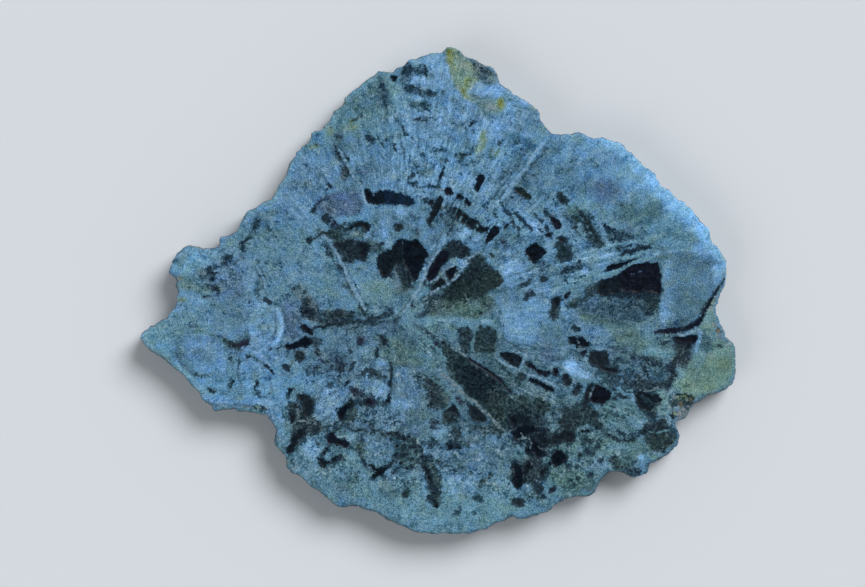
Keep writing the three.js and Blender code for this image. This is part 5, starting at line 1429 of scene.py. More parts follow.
M("brown4", [(216, 334), (226, 338), (236, 344), (234, 352), (226, 348), (218, 340)], 2, 0.50)
N("ink", 2, [(266, 348), (276, 348), (287, 347)], 0.9, 0.55)
M("ink", [(300, 324), (308, 326), (314, 334), (306, 334), (301, 330)], 1.2, 0.66)
N("night", 3, [(230, 354), (232, 366)], 1.2, 0.5)
N("night", 2, [(240, 358), (238, 368)], 1, 0.5)
M("olive3", [(228, 379), (235, 379), (233, 390), (228, 389)], 1.6, 0.52)
N("night", 3, [(212, 380), (214, 386)], 1.2, 0.4)
N("ink", 3, [(258, 379), (256, 388)], 1, 0.55)
N("night", 4, [(255, 390), (260, 397)], 1.4, 0.45)
M("night", [(180, 323), (196, 318), (199, 328), (184, 332)], 3, 0.42)
M("night", [(162, 328), (176, 328), (180, 344), (168, 342)], 4, 0.25)
S("slate7", 3, [(176, 342), (178, 356), (186, 368), (198, 375), (212, 374)], 1.8, 0.5)
N("night", 3, [(184, 366), (196, 375), (210, 375)], 1.6, 0.35)
N("night", 3, [(196, 340), (208, 334), (222, 338)], 2, 0.25)
M("olive3", [(252, 403), (262, 404), (270, 409), (260, 412), (250, 409)], 1.4, 0.55)
P("ochg", [(178, 282), (198, 286), (214, 288), (212, 293), (192, 291), (178, 288)], 2.4, 0.45, 1.4)
B("och", 183, 300, 4, 2.6, 0.55)
B("rust", 179, 279, 4, 3, 0.5)
M("night", [(236, 296), (252, 298), (250, 308), (238, 308)], 3, 0.32)
M("night", [(306, 176), (318, 178), (318, 190), (306, 188)], 4, 0.22)
for _x, _y in ((292, 182), (300, 196), (283, 205), (268, 214), (296, 212), (276, 240), (290, 250), (268, 262), (282, 268), (300, 262), (312, 250), (246, 318), (262, 314), (226, 312), (214, 306), (206, 320), (300, 240), (322, 268), (310, 280)):
    M("night", [(_x - 4, _y - 2), (_x + 3, _y - 3), (_x + 4, _y + 3), (_x - 2, _y + 3)], 2.4, 0.34, 2.0)

# --- darker islands of the middle and the right
P("olive4", [(440, 294), (466, 299), (488, 294), (492, 304), (484, 317), (458, 316), (441, 308)], 3, 0.50, 1.8)
M("olive3", [(440, 296), (466, 300), (488, 294), (490, 306), (482, 319), (458, 317), (440, 308)], 3, 0.42)
M("olive3", [(424, 292), (442, 292), (444, 312), (428, 314), (418, 304)], 3, 0.40)
N("ink", 3, [(471, 317), (477, 314.5), (482, 313)], 1, 0.7)
M("brown3", [(486, 262), (494, 268), (506, 276), (500, 286), (488, 292)], 2, 0.35)
M("ink", [(446, 244), (460, 240), (471, 248), (470, 256), (462, 260), (456, 252)], 1.6, 0.5)
M("brown3", [(438, 256), (446, 245), (456, 239), (468, 243), (471, 254), (464, 262), (450, 258)], 2, 0.5)
M("ink", [(430, 286), (442, 280), (448, 284), (442, 290), (430, 293)], 1.4, 0.55)
N("night", 3, [(446, 206), (450, 220), (447, 236)], 2, 0.40)
M("night", [(448, 204), (456, 206), (466, 222), (460, 228), (450, 218)], 2, 0.45)
N("purp3", 5, [(500, 236), (507, 245), (516, 251)], 1.5, 0.62)
M("night", [(492, 240), (500, 240), (502, 248), (494, 248)], 1.6, 0.5)
M("night", [(512, 233), (530, 234), (531, 243), (520, 248), (513, 244)], 3, 0.45)
for _a, _b in (((490, 209), (496, 216)), ((498, 218), (504, 224)), ((505, 212), (510, 218)), ((517, 213), (523, 220)), ((523, 221), (530, 229)), ((532, 208), (536, 215)),
               ((536, 216), (542, 224)), ((541, 206), (547, 212)), ((545, 212), (551, 217)), ((538, 226), (544, 232)), ((526, 198), (533, 206)), ((513, 225), (519, 232)),
               ((545, 224), (549, 231)), ((553, 200), (558, 208)), ((500, 203), (506, 207)), ((482, 200), (488, 207)), ((488, 220), (493, 226)), ((560, 209), (566, 217)),
               ((566, 219), (571, 228)), ((570, 231), (575, 241)), ((552, 240), (555, 247)), ((531, 233), (536, 239))):
    N("night", 3.2, [_a, _b], 1.2, 0.62)
for _a, _b in (((486, 204), (498, 212)), ((500, 208), (512, 214)), ((514, 208), (526, 216)), ((526, 216), (538, 230)), ((544, 238), (552, 250)), ((508, 216), (518, 226)), ((540, 216), (548, 226)), ((572, 240), (584, 252)), ((588, 208), (602, 228)), ((604, 230), (609, 246))):
    S("lav8", 2.4, [_a, _b], 1.2, 0.45)
M("brown3", [(557, 235), (567, 235), (574, 247), (574, 259), (561, 264), (555, 252)], 1.6, 0.68)
N("night", 3, [(572, 238), (577, 250), (575, 260)], 1.4, 0.55)
M("night", [(534, 261), (551, 260), (553, 268), (546, 276), (536, 270)], 2.5, 0.50)
M("ink", [(555, 278), (560, 268), (572, 264), (585, 260), (587, 267), (574, 273), (562, 279)], 2, 0.62)
M("night", [(560, 277), (586, 270), (590, 279), (568, 287)], 3, 0.40)
M("olive3", [(515, 288), (524, 280), (534, 278), (532, 284), (524, 289), (517, 291)], 1.6, 0.66)
M("brown3", [(520, 295), (531, 290), (537, 291), (531, 301), (525, 303)], 1.6, 0.62)
M("brown3", [(550, 296), (562, 296), (561, 310), (558, 322), (550, 322), (548, 308)], 1.6, 0.58)
M("olive3", [(566, 309), (571, 300), (582, 295), (580, 303), (571, 310)], 1.4, 0.62)
M("ink", [(570, 325), (580, 325), (582, 332), (573, 333)], 1.2, 0.6)
N("night", 3, [(567, 349), (576, 353), (582, 360)], 1.2, 0.55)
N("night", 2, [(566, 354), (574, 360), (584, 366)], 1.2, 0.4)
M("olive3", [(579, 208), (590, 212), (598, 222), (606, 238), (604, 249), (592, 249), (583, 233), (577, 219)], 2, 0.62)
M("olive3", [(570, 212), (580, 216), (580, 224), (571, 222)], 1.4, 0.5)
M("ink", [(600, 220), (611, 225), (614, 232), (604, 229)], 1.4, 0.62)
M("night", [(604, 229), (613, 228), (622, 228), (629, 232), (633, 238), (622, 242), (614, 246), (608, 243)], 1.6, 0.54)
M("night", [(622, 200), (640, 206), (646, 222), (630, 222), (618, 210)], 5, 0.25)
M("night", [(636, 222), (648, 226), (646, 238), (634, 236)], 3, 0.35)
N("ink", 2.8, [(604, 252), (616, 248), (630, 245), (644, 245)], 1, 0.74)
N("ink", 2.6, [(620, 255), (632, 252), (642, 248), (652, 247)], 1, 0.66)
N("ink", 3.4, [(622, 255), (631, 251), (641, 248)], 1, 0.75)
N("ink", 2.8, [(640, 249), (648, 247.5), (655, 249)], 0.9, 0.72)
S("lav8", 3.2, [(556, 265), (578, 260), (602, 256), (626, 252), (648, 250)], 1.4, 0.55)
S("teal8", 2.4, [(606, 247), (622, 243), (640, 241), (660, 238)], 1.2, 0.5)
S("lav8", 2.6, [(584, 281), (600, 275), (616, 270), (628, 264), (644, 256), (668, 252), (700, 250)], 1.2, 0.55)
S("lav8", 4, [(580, 272), (590, 268), (600, 264)], 1.8, 0.5)
M("ink", [(598, 290), (661, 284), (661, 302), (640, 300), (604, 298)], 3.5, 0.62)
M("olive3", [(640, 296), (661, 296), (660, 319), (644, 317)], 3.5, 0.50)
M("night", [(584, 297), (640, 298), (642, 311), (600, 314), (586, 308)], 4.5, 0.32)
M("olive3", [(567, 308), (580, 295), (598, 281), (600, 296), (584, 301), (574, 308)], 2.5, 0.50)
S("lav8", 10, [(667, 264), (669, 285), (667, 306), (664, 326)], 3, 0.42)
B("skyb", 716, 271, 7, 8, 0.35)
B("sky", 704, 252, 16, 6, 0.45, 10)
B("sky", 697, 226, 10, 8, 0.35, 30)
S("slate6", 3, [(690, 258), (704, 263), (722, 262)], 1.6, 0.5)
M("night", [(654, 335), (670, 339), (672, 346), (658, 344)], 2.2, 0.42)
M("brown4", [(672, 342), (692, 342), (692, 361), (680, 369), (667, 365), (676, 352)], 2.5, 0.50)
M("inkp", [(657, 329), (676, 327), (690, 326), (690, 331), (672, 334), (658, 335)], 1.4, 0.45)
N("brown4", 6, [(696, 322), (706, 308), (714, 296)], 3, 0.30)
M("night", [(606, 338), (620, 342), (620, 350), (606, 348)], 3, 0.30)

# --- darker islands of the lower left
M("brown3", [(290, 403), (298, 400), (303, 408), (302, 418), (314, 420), (322, 421), (322, 427), (308, 428), (296, 427), (290, 420)], 2, 0.6)
M("brown3", [(286, 452), (289, 440), (296, 430), (308, 424), (321, 425), (320, 433), (308, 437), (302, 443), (296, 450), (290, 455)], 2, 0.75)
M("brown4", [(296, 350), (307, 352), (306, 360), (298, 366), (292, 361)], 2, 0.7)
N("brown4", 5, [(314, 350), (318, 354), (322, 361)], 1.5, 0.7)
N("ink", 4, [(284, 365), (289, 370)], 1.2, 0.8)
N("slate9", 3, [(286, 368), (294, 360)], 1.2, 0.5)
M("purp3", [(318, 358), (340, 354), (352, 362), (346, 376), (322, 378), (308, 368)], 5, 0.42)
N("purp3", 3, [(343, 364), (340, 372)], 1, 0.7)
N("slate9", 3, [(341, 376), (338, 382)], 1, 0.6)
N("slate8", 3, [(330, 382), (326, 392), (336, 394)], 1.4, 0.35)
M("slate9", [(304, 366), (316, 362), (318, 376), (308, 388), (302, 378)], 3, 0.35)
M("brown4", [(360, 372), (370, 366), (376, 372), (386, 376), (388, 382), (374, 378), (362, 378)], 2, 0.65)
M("purp3", [(346, 386), (360, 387), (370, 392), (378, 398), (368, 399), (358, 399), (352, 396)], 2, 0.55)
M("slate9", [(355, 398), (366, 397), (380, 400), (390, 402), (386, 407), (368, 407), (357, 406)], 2, 0.62)
N("ink", 2.4, [(356, 405), (364, 406), (374, 406)], 0.8, 0.75)
N("ink", 3, [(388, 397), (390, 404)], 1, 0.75)
N("slate9", 2, [(391, 376), (390, 388), (391, 398)], 1, 0.4)
M("ink", [(345, 402), (354, 399), (356, 404), (350, 408), (346, 407)], 1, 0.75)
M("olive3", [(345, 404), (357, 404), (359, 414), (354, 422), (345, 424), (341, 420), (347, 412)], 2, 0.68)
M("ink", [(337, 409), (346, 408), (346, 414), (343, 422), (339, 419)], 1.2, 0.7)
N("olive3", 4, [(343, 422), (338, 428), (332, 433)], 1.4, 0.6)
N("purp3", 4, [(346, 425), (350, 427), (356, 426)], 1.6, 0.55)
N("slate9", 2, [(346, 430), (345, 436), (347, 442)], 0.9, 0.6)
N("slate9", 2.2, [(357, 429), (361, 436), (360, 444), (356, 450)], 1, 0.65)
M("olive3", [(356, 441), (362, 438), (367, 444), (366, 452), (362, 454), (357, 448)], 1.8, 0.55)
N("ink", 2.4, [(361, 452), (364, 459), (367, 465)], 1, 0.7)
N("slate9", 4, [(352, 430), (366, 431), (378, 433), (390, 436)], 2, 0.5)
N("slate9", 5, [(356, 414), (366, 422), (378, 429)], 2.5, 0.5)
M("slate9", [(360, 404), (374, 408), (392, 412), (408, 424), (392, 430), (372, 422), (362, 414)], 4, 0.38)
N("slate9", 3, [(320, 424), (330, 417), (338, 414)], 1.4, 0.45)
M("slate9", [(306, 428), (324, 424), (334, 432), (328, 438), (316, 436)], 2.6, 0.5)
N("ink", 1.8, [(327, 448), (325, 454), (322, 460)], 0.7, 0.8)
N("inkp", 2.2, [(330, 463), (337, 460), (339, 456), (344, 461)], 0.9, 0.7)
M("slate9", [(326, 460), (344, 458), (346, 470), (330, 472)], 2.5, 0.3)
M("slate9", [(314, 440), (320, 440), (318, 448), (314, 446)], 1.4, 0.4)
N("ink", 2.4, [(316, 442), (317, 446)], 0.8, 0.5)
M("brown4", [(386, 430), (404, 430), (406, 438), (400, 440), (386, 438)], 1.6, 0.68)
M("ink", [(400, 432), (406, 436), (410, 442), (404, 448), (400, 446), (403, 440)], 1.4, 0.62)
M("olive3", [(398, 440), (410, 438), (424, 442), (426, 456), (424, 468), (408, 470), (394, 462), (392, 452)], 3, 0.46)
N("ink", 2.6, [(388, 478), (396, 471), (406, 468), (416, 466), (424, 469)], 1, 0.62)
N("ink", 2.6, [(384, 470), (392, 464), (400, 458), (404, 453)], 1, 0.6)
M("ink", [(420, 455), (434, 454), (436, 460), (428, 463), (422, 462)], 1.4, 0.36)
N("ink", 5, [(425, 466), (429, 476), (432, 486), (436, 496)], 1.2, 0.72)
M("olive3", [(430, 470), (438, 470), (444, 486), (443, 500), (438, 508), (430, 504), (436, 492)], 2.5, 0.5)
M("ink", [(425, 495), (432, 496), (434, 502), (428, 502)], 1.2, 0.6)
M("brown3", [(426, 374), (434, 376), (441, 384), (444, 396), (441, 410), (430, 412), (425, 398), (424, 384)], 3, 0.60)
M("brown4", [(414, 372), (428, 370), (430, 384), (420, 392), (412, 384)], 4, 0.35)
M("purp3", [(426, 418), (438, 416), (440, 428), (430, 430)], 2, 0.6)
M("slate9", [(426, 438), (440, 440), (440, 452), (428, 454)], 3, 0.5)
M("slate9", [(436, 458), (446, 462), (462, 468), (456, 474), (440, 468)], 3, 0.42)
M("slate9", [(400, 482), (414, 480), (416, 492), (404, 496), (398, 490)], 3, 0.35)
M("olive3", [(402, 493), (408, 492), (408, 497), (403, 498)], 1, 0.6)
M("grn5", [(340, 470), (360, 468), (366, 480), (346, 484)], 4, 0.35)
M("slate9", [(284, 406), (290, 404), (292, 424), (284, 420)], 3, 0.3)
N("slate8", 3, [(296, 436), (308, 442), (318, 452)], 2, 0.2)
M("slate9", [(290, 456), (298, 460), (296, 468), (288, 464)], 2.5, 0.3)

# --- darker islands of the lower right
M("olive3", [(452, 372), (470, 370), (484, 376), (500, 388), (512, 400), (512, 420), (500, 418), (486, 404), (470, 392), (456, 384)], 2.5, 0.62)
M("ink", [(480, 380), (490, 384), (486, 396), (478, 398)], 2, 0.5)
M("olive3", [(484, 404), (500, 408), (516, 418), (510, 434), (500, 430), (488, 416)], 3, 0.72)
N("olive6", 8, [(486, 394), (498, 398), (505, 402)], 3, 0.0)
N("ink", 3, [(487, 372), (496, 378), (506, 386), (512, 394)], 1, 0.75)
M("brown3", [(444, 412), (450, 405), (456, 406), (460, 414), (454, 424), (446, 424)], 1.6, 0.7)
M("ink", [(449, 405), (455, 404), (459, 410), (458, 416), (452, 412)], 1, 0.7)
M("ink", [(468, 412), (476, 410), (484, 414), (486, 420), (478, 424), (470, 420)], 1.6, 0.68)
M("olive3", [(466, 398), (474, 404), (484, 412), (486, 416), (474, 412), (464, 404)], 1.6, 0.55)
M("inkp", [(458, 396), (464, 397), (466, 404), (460, 403)], 1, 0.75)
M("ink", [(506, 410), (526, 414), (534, 418), (530, 426), (524, 426), (518, 432), (506, 432)], 1.6, 0.8)
M("ink", [(512, 432), (524, 424), (536, 426), (534, 434), (520, 442), (512, 440)], 1.2, 0.85)
M("olive3", [(512, 396), (524, 394), (530, 404), (526, 416), (510, 412)], 2.5, 0.6)
M("olive3", [(532, 402), (544, 398), (550, 408), (552, 416), (540, 418), (532, 412)], 2, 0.68)
M("brown3", [(526, 416), (548, 416), (556, 430), (546, 444), (534, 440), (528, 430)], 3, 0.58)
M("brown3", [(524, 446), (540, 438), (552, 442), (552, 454), (544, 460), (530, 456)], 2, 0.75)
M("brown3", [(548, 426), (562, 420), (578, 426), (578, 440), (566, 446), (550, 442)], 2.5, 0.62)
M("brown3", [(556, 410), (568, 404), (580, 408), (584, 420), (570, 424), (558, 420)], 2.5, 0.55)
M("olive3", [(578, 398), (590, 404), (598, 412), (604, 424), (594, 430), (580, 426), (574, 412)], 2.5, 0.6)
M("ink", [(550, 452), (562, 450), (567, 458), (560, 466), (550, 464)], 1.2, 0.8)
M("brown3", [(510, 462), (524, 462), (532, 456), (542, 458), (546, 470), (538, 482), (526, 484), (516, 490), (512, 476)], 2, 0.66)
M("ink", [(511, 462), (519, 462), (524, 474), (521, 488), (514, 490), (511, 476)], 1.2, 0.75)
M("ink", [(542, 464), (550, 464), (550, 474), (545, 482), (541, 478)], 1.2, 0.72)
M("ink", [(533, 482), (543, 483), (544, 490), (538, 492), (534, 488)], 1, 0.8)
M("ink", [(548, 488), (556, 487), (556, 492), (550, 493)], 0.8, 0.8)
M("olive3", [(512, 496), (522, 498), (526, 506), (516, 508), (510, 502)], 1.4, 0.66)
M("brown4", [(524, 490), (544, 492), (548, 504), (532, 508), (524, 500)], 3, 0.45)
M("slate9", [(508, 474), (514, 476), (512, 492), (506, 486)], 2.5, 0.4)
N("olive3", 4, [(479, 484), (486, 480), (492, 474)], 1.4, 0.65)
M("olive3", [(476, 494), (484, 494), (482, 500), (474, 500)], 1.6, 0.5)
M("brown3", [(450, 424), (462, 422), (462, 440), (452, 440)], 2.5, 0.58)
M("ink", [(445, 442), (460, 443), (462, 448), (450, 451)], 1.4, 0.68)
M("olive3", [(462, 440), (470, 441), (471, 448), (464, 449)], 1.4, 0.6)
M("brown4", [(464, 426), (482, 424), (500, 428), (508, 436), (490, 436), (470, 436)], 3, 0.45)
M("olive3", [(484, 418), (500, 424), (508, 432), (498, 434), (486, 428)], 2, 0.5)
M("slate9", [(442, 466), (458, 466), (456, 476), (444, 476)], 3.5, 0.35)
M("slate9", [(468, 468), (480, 464), (484, 474), (472, 480)], 3, 0.35)
M("slate9", [(452, 510), (466, 508), (468, 518), (452, 518)], 3, 0.2)
for _pts in ([(580, 452), (588, 449), (594, 454), (588, 460), (580, 458)], [(574, 474), (590, 470), (596, 480), (580, 486)],
             [(562, 462), (572, 464), (578, 474), (566, 474)], [(556, 446), (572, 446), (572, 456), (560, 456)],
             [(588, 438), (600, 436), (604, 446), (592, 450)], [(562, 476), (574, 482), (572, 492), (560, 488)]):
    M("olive3", _pts, 2.5, 0.36, 2.0)
M("ink", [(591, 382), (598, 384), (606, 388), (612, 396), (604, 404), (592, 402), (584, 404), (586, 394)], 1.4, 0.6)
N("ink", 3, [(590, 384), (587, 394), (584, 406), (582, 414)], 1.2, 0.72)
M("brown3", [(588, 352), (608, 350), (610, 362), (618, 368), (606, 374), (596, 368), (588, 362)], 2, 0.7)
N("ink", 4, [(594, 364), (604, 369), (616, 372)], 1.4, 0.72)
M("brown4", [(596, 370), (620, 366), (640, 376), (634, 390), (612, 388), (596, 380)], 4, 0.48)
N("slate9", 3, [(596, 378), (610, 381), (624, 388), (636, 394)], 1.6, 0.55)
N("slate9", 3, [(610, 386), (618, 394), (628, 399)], 1.6, 0.55)
M("brown3", [(628, 353), (640, 355), (652, 360), (666, 363), (664, 368), (646, 365), (632, 361)], 1.8, 0.58)
N("ink", 2.6, [(643, 364), (648, 374), (652, 384)], 1, 0.7)
M("brown3", [(632, 384), (648, 380), (662, 382), (672, 384), (670, 390), (652, 390), (640, 396), (632, 392)], 2, 0.66)
N("ink", 4, [(668, 366), (674, 372), (672, 382), (664, 388)], 1.6, 0.66)
M("inkp", [(668, 362), (678, 364), (676, 376), (670, 378)], 2, 0.66)
M("brown3", [(634, 392), (650, 390), (660, 396), (664, 404), (656, 408), (654, 416), (646, 412), (638, 408)], 1.8, 0.68)
M("olive3", [(644, 408), (656, 408), (658, 418), (648, 420)], 1.4, 0.55)
M("brown3", [(642, 424), (656, 418), (668, 420), (676, 428), (678, 440), (668, 446), (650, 444), (640, 436)], 2, 0.62)
M("olive3", [(648, 436), (668, 432), (678, 438), (670, 450), (652, 452)], 2.5, 0.52)
N("ink", 3, [(606, 433), (616, 439), (630, 441), (640, 437)], 1.2, 0.7)
N("ink", 3, [(626, 436), (636, 432), (646, 428)], 1.2, 0.66)
N("slate9", 3, [(612, 430), (620, 433), (630, 432)], 1.4, 0.55)
M("slate9", [(598, 408), (612, 404), (632, 410), (640, 416), (624, 422), (602, 420)], 3, 0.36)
N("slate9", 2, [(600, 410), (616, 412), (630, 419)], 1, 0.45)
N("slate9", 2, [(588, 430), (600, 432), (608, 436)], 1, 0.55)
M("brown4", [(608, 452), (618, 456), (634, 458), (642, 464), (640, 474), (626, 476), (612, 468)], 2.5, 0.52)
M("ink", [(626, 470), (636, 468), (642, 474), (632, 478)], 1.6, 0.6)
M("olive3", [(648, 448), (664, 448), (660, 456), (648, 454)], 2, 0.4)
M("brown3", [(676, 392), (690, 390), (694, 398), (690, 408), (678, 408), (674, 400)], 2, 0.42)
M("olive3", [(666, 398), (676, 396), (676, 408), (668, 408)], 2, 0.35)
M("inkb", [(668, 412), (676, 412), (676, 418), (670, 418)], 1, 0.6)
M("slate9", [(616, 374), (630, 366), (638, 376), (630, 384)], 3, 0.3)

# --- a second pass over the whole face
P("purp6", [(313, 208), (318, 200), (330, 195), (345, 192), (358, 189), (362, 200), (363, 213), (345, 214), (330, 213)], 2.5, 0.85, 1.0)
S("purp5", 2.6, [(313, 210), (319, 202), (330, 196), (344, 192)], 1.2, 0.7)
S("purp5", 2.0, [(330, 214), (346, 215), (362, 214)], 1.2, 0.5)
V("teal6", 1.3, [(450, 224), (455, 214), (460, 205)], 0.02)
V("teal6", 1.3, [(462, 231), (467, 221), (473, 212)], 0.02)
V("teal6", 1.4, [(471, 236), (477, 226), (483, 217)], 0.02)
V("teal6", 1.2, [(456, 228), (461, 218), (466, 209)], 0.02)
V("lav7", 1.6, [(484, 240), (489, 230), (496, 221)], 0.02)
S("slate9", 2.6, [(446, 214), (452, 204), (458, 196)], 1.0, 0.6, 1.4)
S("slate9", 2.2, [(448, 232), (454, 224), (461, 214)], 1.0, 0.5, 1.4)
E([(428, 300), (446, 299), (470, 299), (494, 296), (500, 306), (486, 320), (440, 320)], 3, 0.8)
P("olive6", [(428, 304), (446, 300), (462, 301), (480, 299), (493, 296), (498, 304), (490, 316), (466, 317), (446, 317), (428, 318)], 3.5, 0.7, 1.6)
P("grn6", [(454, 304), (480, 304), (486, 312), (470, 317), (454, 314)], 3, 0.75, 1.4)
B("brown5", 491, 305, 4, 6, 0.4)
P("inkb", [(452, 274), (460, 270), (464, 275), (460, 282), (452, 286), (448, 282)], 1.6, 0.8, 1.4)
P("inkb", [(470, 262), (480, 260), (484, 268), (476, 276), (466, 274)], 3, 0.4, 1.6)
P("slate8", [(446, 244), (456, 241), (466, 246), (462, 254), (450, 254)], 2, 0.8, 1.4)
P("lav8", [(454, 257), (461, 257), (469, 262), (466, 268), (458, 266)], 1.6, 0.7, 1.2)
V("veinb", 1.7, [(428, 296), (437, 290), (447, 284.5), (455, 279), (461, 270.5), (465, 263.5), (471, 257), (477, 253.5)], 0.04)
V("veinb", 1.5, [(431, 283), (438, 277), (444, 272), (452, 266.5), (458, 263)], 0.04)
V("veinb", 1.3, [(443, 273), (447, 280), (450, 284)], 0.03)
V("veinp", 1.3, [(463, 292), (467, 298), (470, 305)], 0.02)
P("olive5", [(366, 237), (376, 241), (385, 248), (380, 255), (371, 251), (367, 244)], 1.8, 0.7, 1.8)
P("olive6", [(346, 230), (362, 228), (368, 234), (358, 239), (346, 238)], 2, 0.5, 1.4)
S("slate8", 1.5, [(328, 243), (335, 254), (341, 267), (348, 283), (357, 303)], 0.8, 0.6, 0.8)
S("slate7", 1.5, [(325, 232), (333, 243), (342, 258), (350, 275), (358, 290), (368, 306)], 0.8, 0.5, 0.8)
S("ochg", 1.8, [(347, 281), (353, 292), (360, 303)], 0.9, 0.45)
P("rindp", [(352, 272), (376, 278), (394, 284), (394, 300), (370, 304), (358, 292)], 6, 0.4, 1.2)
S("inkb", 2.6, [(301, 329), (316, 327.5), (332, 325), (346, 322), (360, 320), (374, 317.5), (388, 313)], 1.0, 0.65, 1.6)
S("olive4", 5, [(322, 319), (336, 317), (352, 316), (366, 314)], 2, 0.6, 1.8)
# the right
P("slate5", [(665, 260), (704, 256), (716, 270), (712, 294), (700, 316), (664, 326)], 5, 0.42, 0.8)
P("slate6", [(678, 290), (702, 292), (696, 314), (672, 322)], 6, 0.35, 0.8)
S("lav7", 4, [(667, 264), (668, 282), (667, 302), (664, 320)], 2.2, 0.35)
P("purp5", [(588, 182), (612, 178), (626, 188), (618, 199), (596, 201)], 7, 0.5, 1.2)
P("slate6", [(560, 160), (580, 172), (592, 190), (578, 196), (560, 180)], 7, 0.35, 1.2)
B("teal5", 648, 212, 26, 14, 0.3, 20)
S("inkp", 4.4, [(655, 332), (668, 331), (680, 329.5), (692, 325), (700, 319)], 1.4, 0.8, 0.8)
S("slate7", 6, [(660, 327), (680, 323), (696, 314)], 3, 0.5)
P("inkp", [(671, 337), (684, 338), (697, 335), (696, 343), (688, 347), (677, 343)], 1.4, 0.9, 0.8)
P("slate8", [(574, 296), (600, 298), (640, 302), (657, 300), (657, 322), (600, 322), (574, 314)], 5, 0.32, 1.6)
V("teal6", 1.0, [(577, 213), (586, 225), (594, 238)], 0.02)
V("teal6", 1.0, [(611, 231), (616, 241)], 0.02)
V("teal6", 1.0, [(618, 228), (624, 239)], 0.02)
S("slate9", 3.0, [(566, 214), (574, 226), (584, 240)], 1.2, 0.6, 1.6)
S("inkb", 3.4, [(577, 207), (585, 218), (592, 230), (598, 242)], 1.2, 0.65, 1.6)
V("lav8", 2.4, [(502, 199), (510, 187), (520, 174), (530, 160), (540, 147), (548, 137)], 0.04)
S("slate7", 2.4, [(506, 202), (516, 188), (526, 174), (538, 158)], 1.4, 0.5, 1.0)
S("slate7", 2.4, [(498, 192), (508, 178), (520, 160), (532, 144)], 1.4, 0.4, 1.0)
P("sky", [(502, 300), (514, 296), (530, 302), (540, 314), (532, 330), (514, 334), (503, 322)], 5, 0.4)
# the dark lens and what is below it
P("ink", [(456, 356), (470, 360), (486, 371), (500, 385), (504, 394), (492, 395), (482, 403), (470, 394), (460, 380), (454, 366)], 2.6, 0.6, 1.6)
P("olive4", [(460, 332), (470, 330), (470, 350), (462, 352)], 2, 0.4, 1.4)
P("brown5", [(484, 392), (498, 389), (507, 396), (505, 404), (494, 405), (486, 400)], 2, 0.55, 1.6)
P("slate9", [(506, 412), (522, 408), (536, 412), (548, 418), (552, 432), (548, 446), (536, 446), (518, 442), (508, 432)], 3, 0.6, 2.2)
M("ink", [(508, 410), (536, 410), (550, 424), (552, 448), (536, 460), (520, 448), (508, 434)], 3, 0.5)
P("brown4", [(552, 404), (566, 402), (580, 408), (588, 418), (580, 430), (560, 430), (550, 420)], 3, 0.45, 2.2)
P("slate7", [(612, 354), (640, 356), (672, 362), (677, 368), (668, 384), (640, 390), (616, 384), (606, 368)], 4, 0.42, 1.6)
P("teal7", [(646, 346), (662, 347), (677, 351), (676, 359), (660, 358), (648, 354)], 2.0, 0.55, 1.4)
E([(646, 346), (664, 347), (678, 351), (675, 359), (660, 358), (648, 354)], 2, 0.6)
S("inkb", 2.2, [(672, 362), (674, 374), (667, 384), (654, 389), (642, 387)], 1.1, 0.7, 1.4)
S("slate9", 2.0, [(604, 346), (620, 350), (636, 355), (652, 358), (668, 360)], 1.4, 0.5, 1.6)
S("teal6", 2.2, [(612, 362), (628, 366), (644, 368), (660, 372)], 1.6, 0.4, 1.2)
P("olive6", [(648, 434), (660, 431), (672, 436), (672, 445), (660, 450), (650, 446)], 3, 0.5, 1.8)
V("teal6", 1.2, [(645, 430), (655, 433), (668, 430)], 0.02)
V("teal7", 1.4, [(604, 406), (616, 411), (630, 418), (642, 426)], 0.02)
V("teal7", 1.2, [(608, 400), (622, 404), (634, 410)], 0.02)
V("teal7", 1.2, [(612, 392), (624, 391), (634, 390)], 0.02)
V("teal7", 1.2, [(600, 414), (610, 421), (624, 428)], 0.02)
P("teal7", [(604, 440), (628, 444), (640, 450), (622, 456), (602, 450)], 4, 0.4, 1.4)
P("grn6", [(552, 470), (570, 464), (586, 474), (592, 488), (570, 492), (552, 488)], 5, 0.5, 1.4)
P("lav7", [(590, 459), (602, 459), (603, 467), (591, 468)], 2.5, 0.5)
# the lower left
E([(392, 432), (424, 432), (428, 470), (392, 470)], 4, 0.45)
E([(540, 412), (566, 410), (572, 430), (548, 434)], 4, 0.5)
P("teal6", [(398, 440), (420, 440), (424, 456), (410, 464), (396, 456)], 5, 0.5, 1.4)
for _x, _y, _r in ((399, 437, 1.5), (404, 438.5, 1.3), (409, 436.5, 1.2), (414, 447, 1.3), (406, 455, 1.3), (412, 459, 1.2), (418, 460, 1.3), (401, 463, 1.2), (397, 446, 1.3), (422, 443, 1.1), (391, 440, 1.1)):
    D("inkb", _x, _y, _r, 0.1)
P("lav8", [(317, 392), (336, 389), (344, 402), (336, 417), (320, 415)], 4, 0.5)
P("sky", [(374, 377), (387, 373), (390, 396), (381, 402), (373, 393)], 3, 0.4)
P("lav7", [(396, 365), (420, 368), (418, 392), (400, 398)], 5, 0.4)
P("slate6", [(306, 352), (344, 348), (352, 370), (324, 379), (304, 366)], 5, 0.42, 1.4)
P("olive6", [(388, 338), (400, 338), (408, 352), (404, 366), (386, 364), (382, 352)], 4, 0.4, 1.2)
P("teal8", [(432, 474), (446, 478), (462, 484), (466, 500), (444, 504), (442, 490)], 5, 0.35)
P("lav8", [(300, 442), (314, 438), (322, 446), (316, 458), (302, 456)], 4, 0.5)
P("teal8", [(340, 448), (352, 450), (356, 460), (346, 466), (336, 464)], 3, 0.45)
P("lav8", [(362, 436), (378, 438), (386, 448), (380, 460), (368, 454)], 4, 0.4)
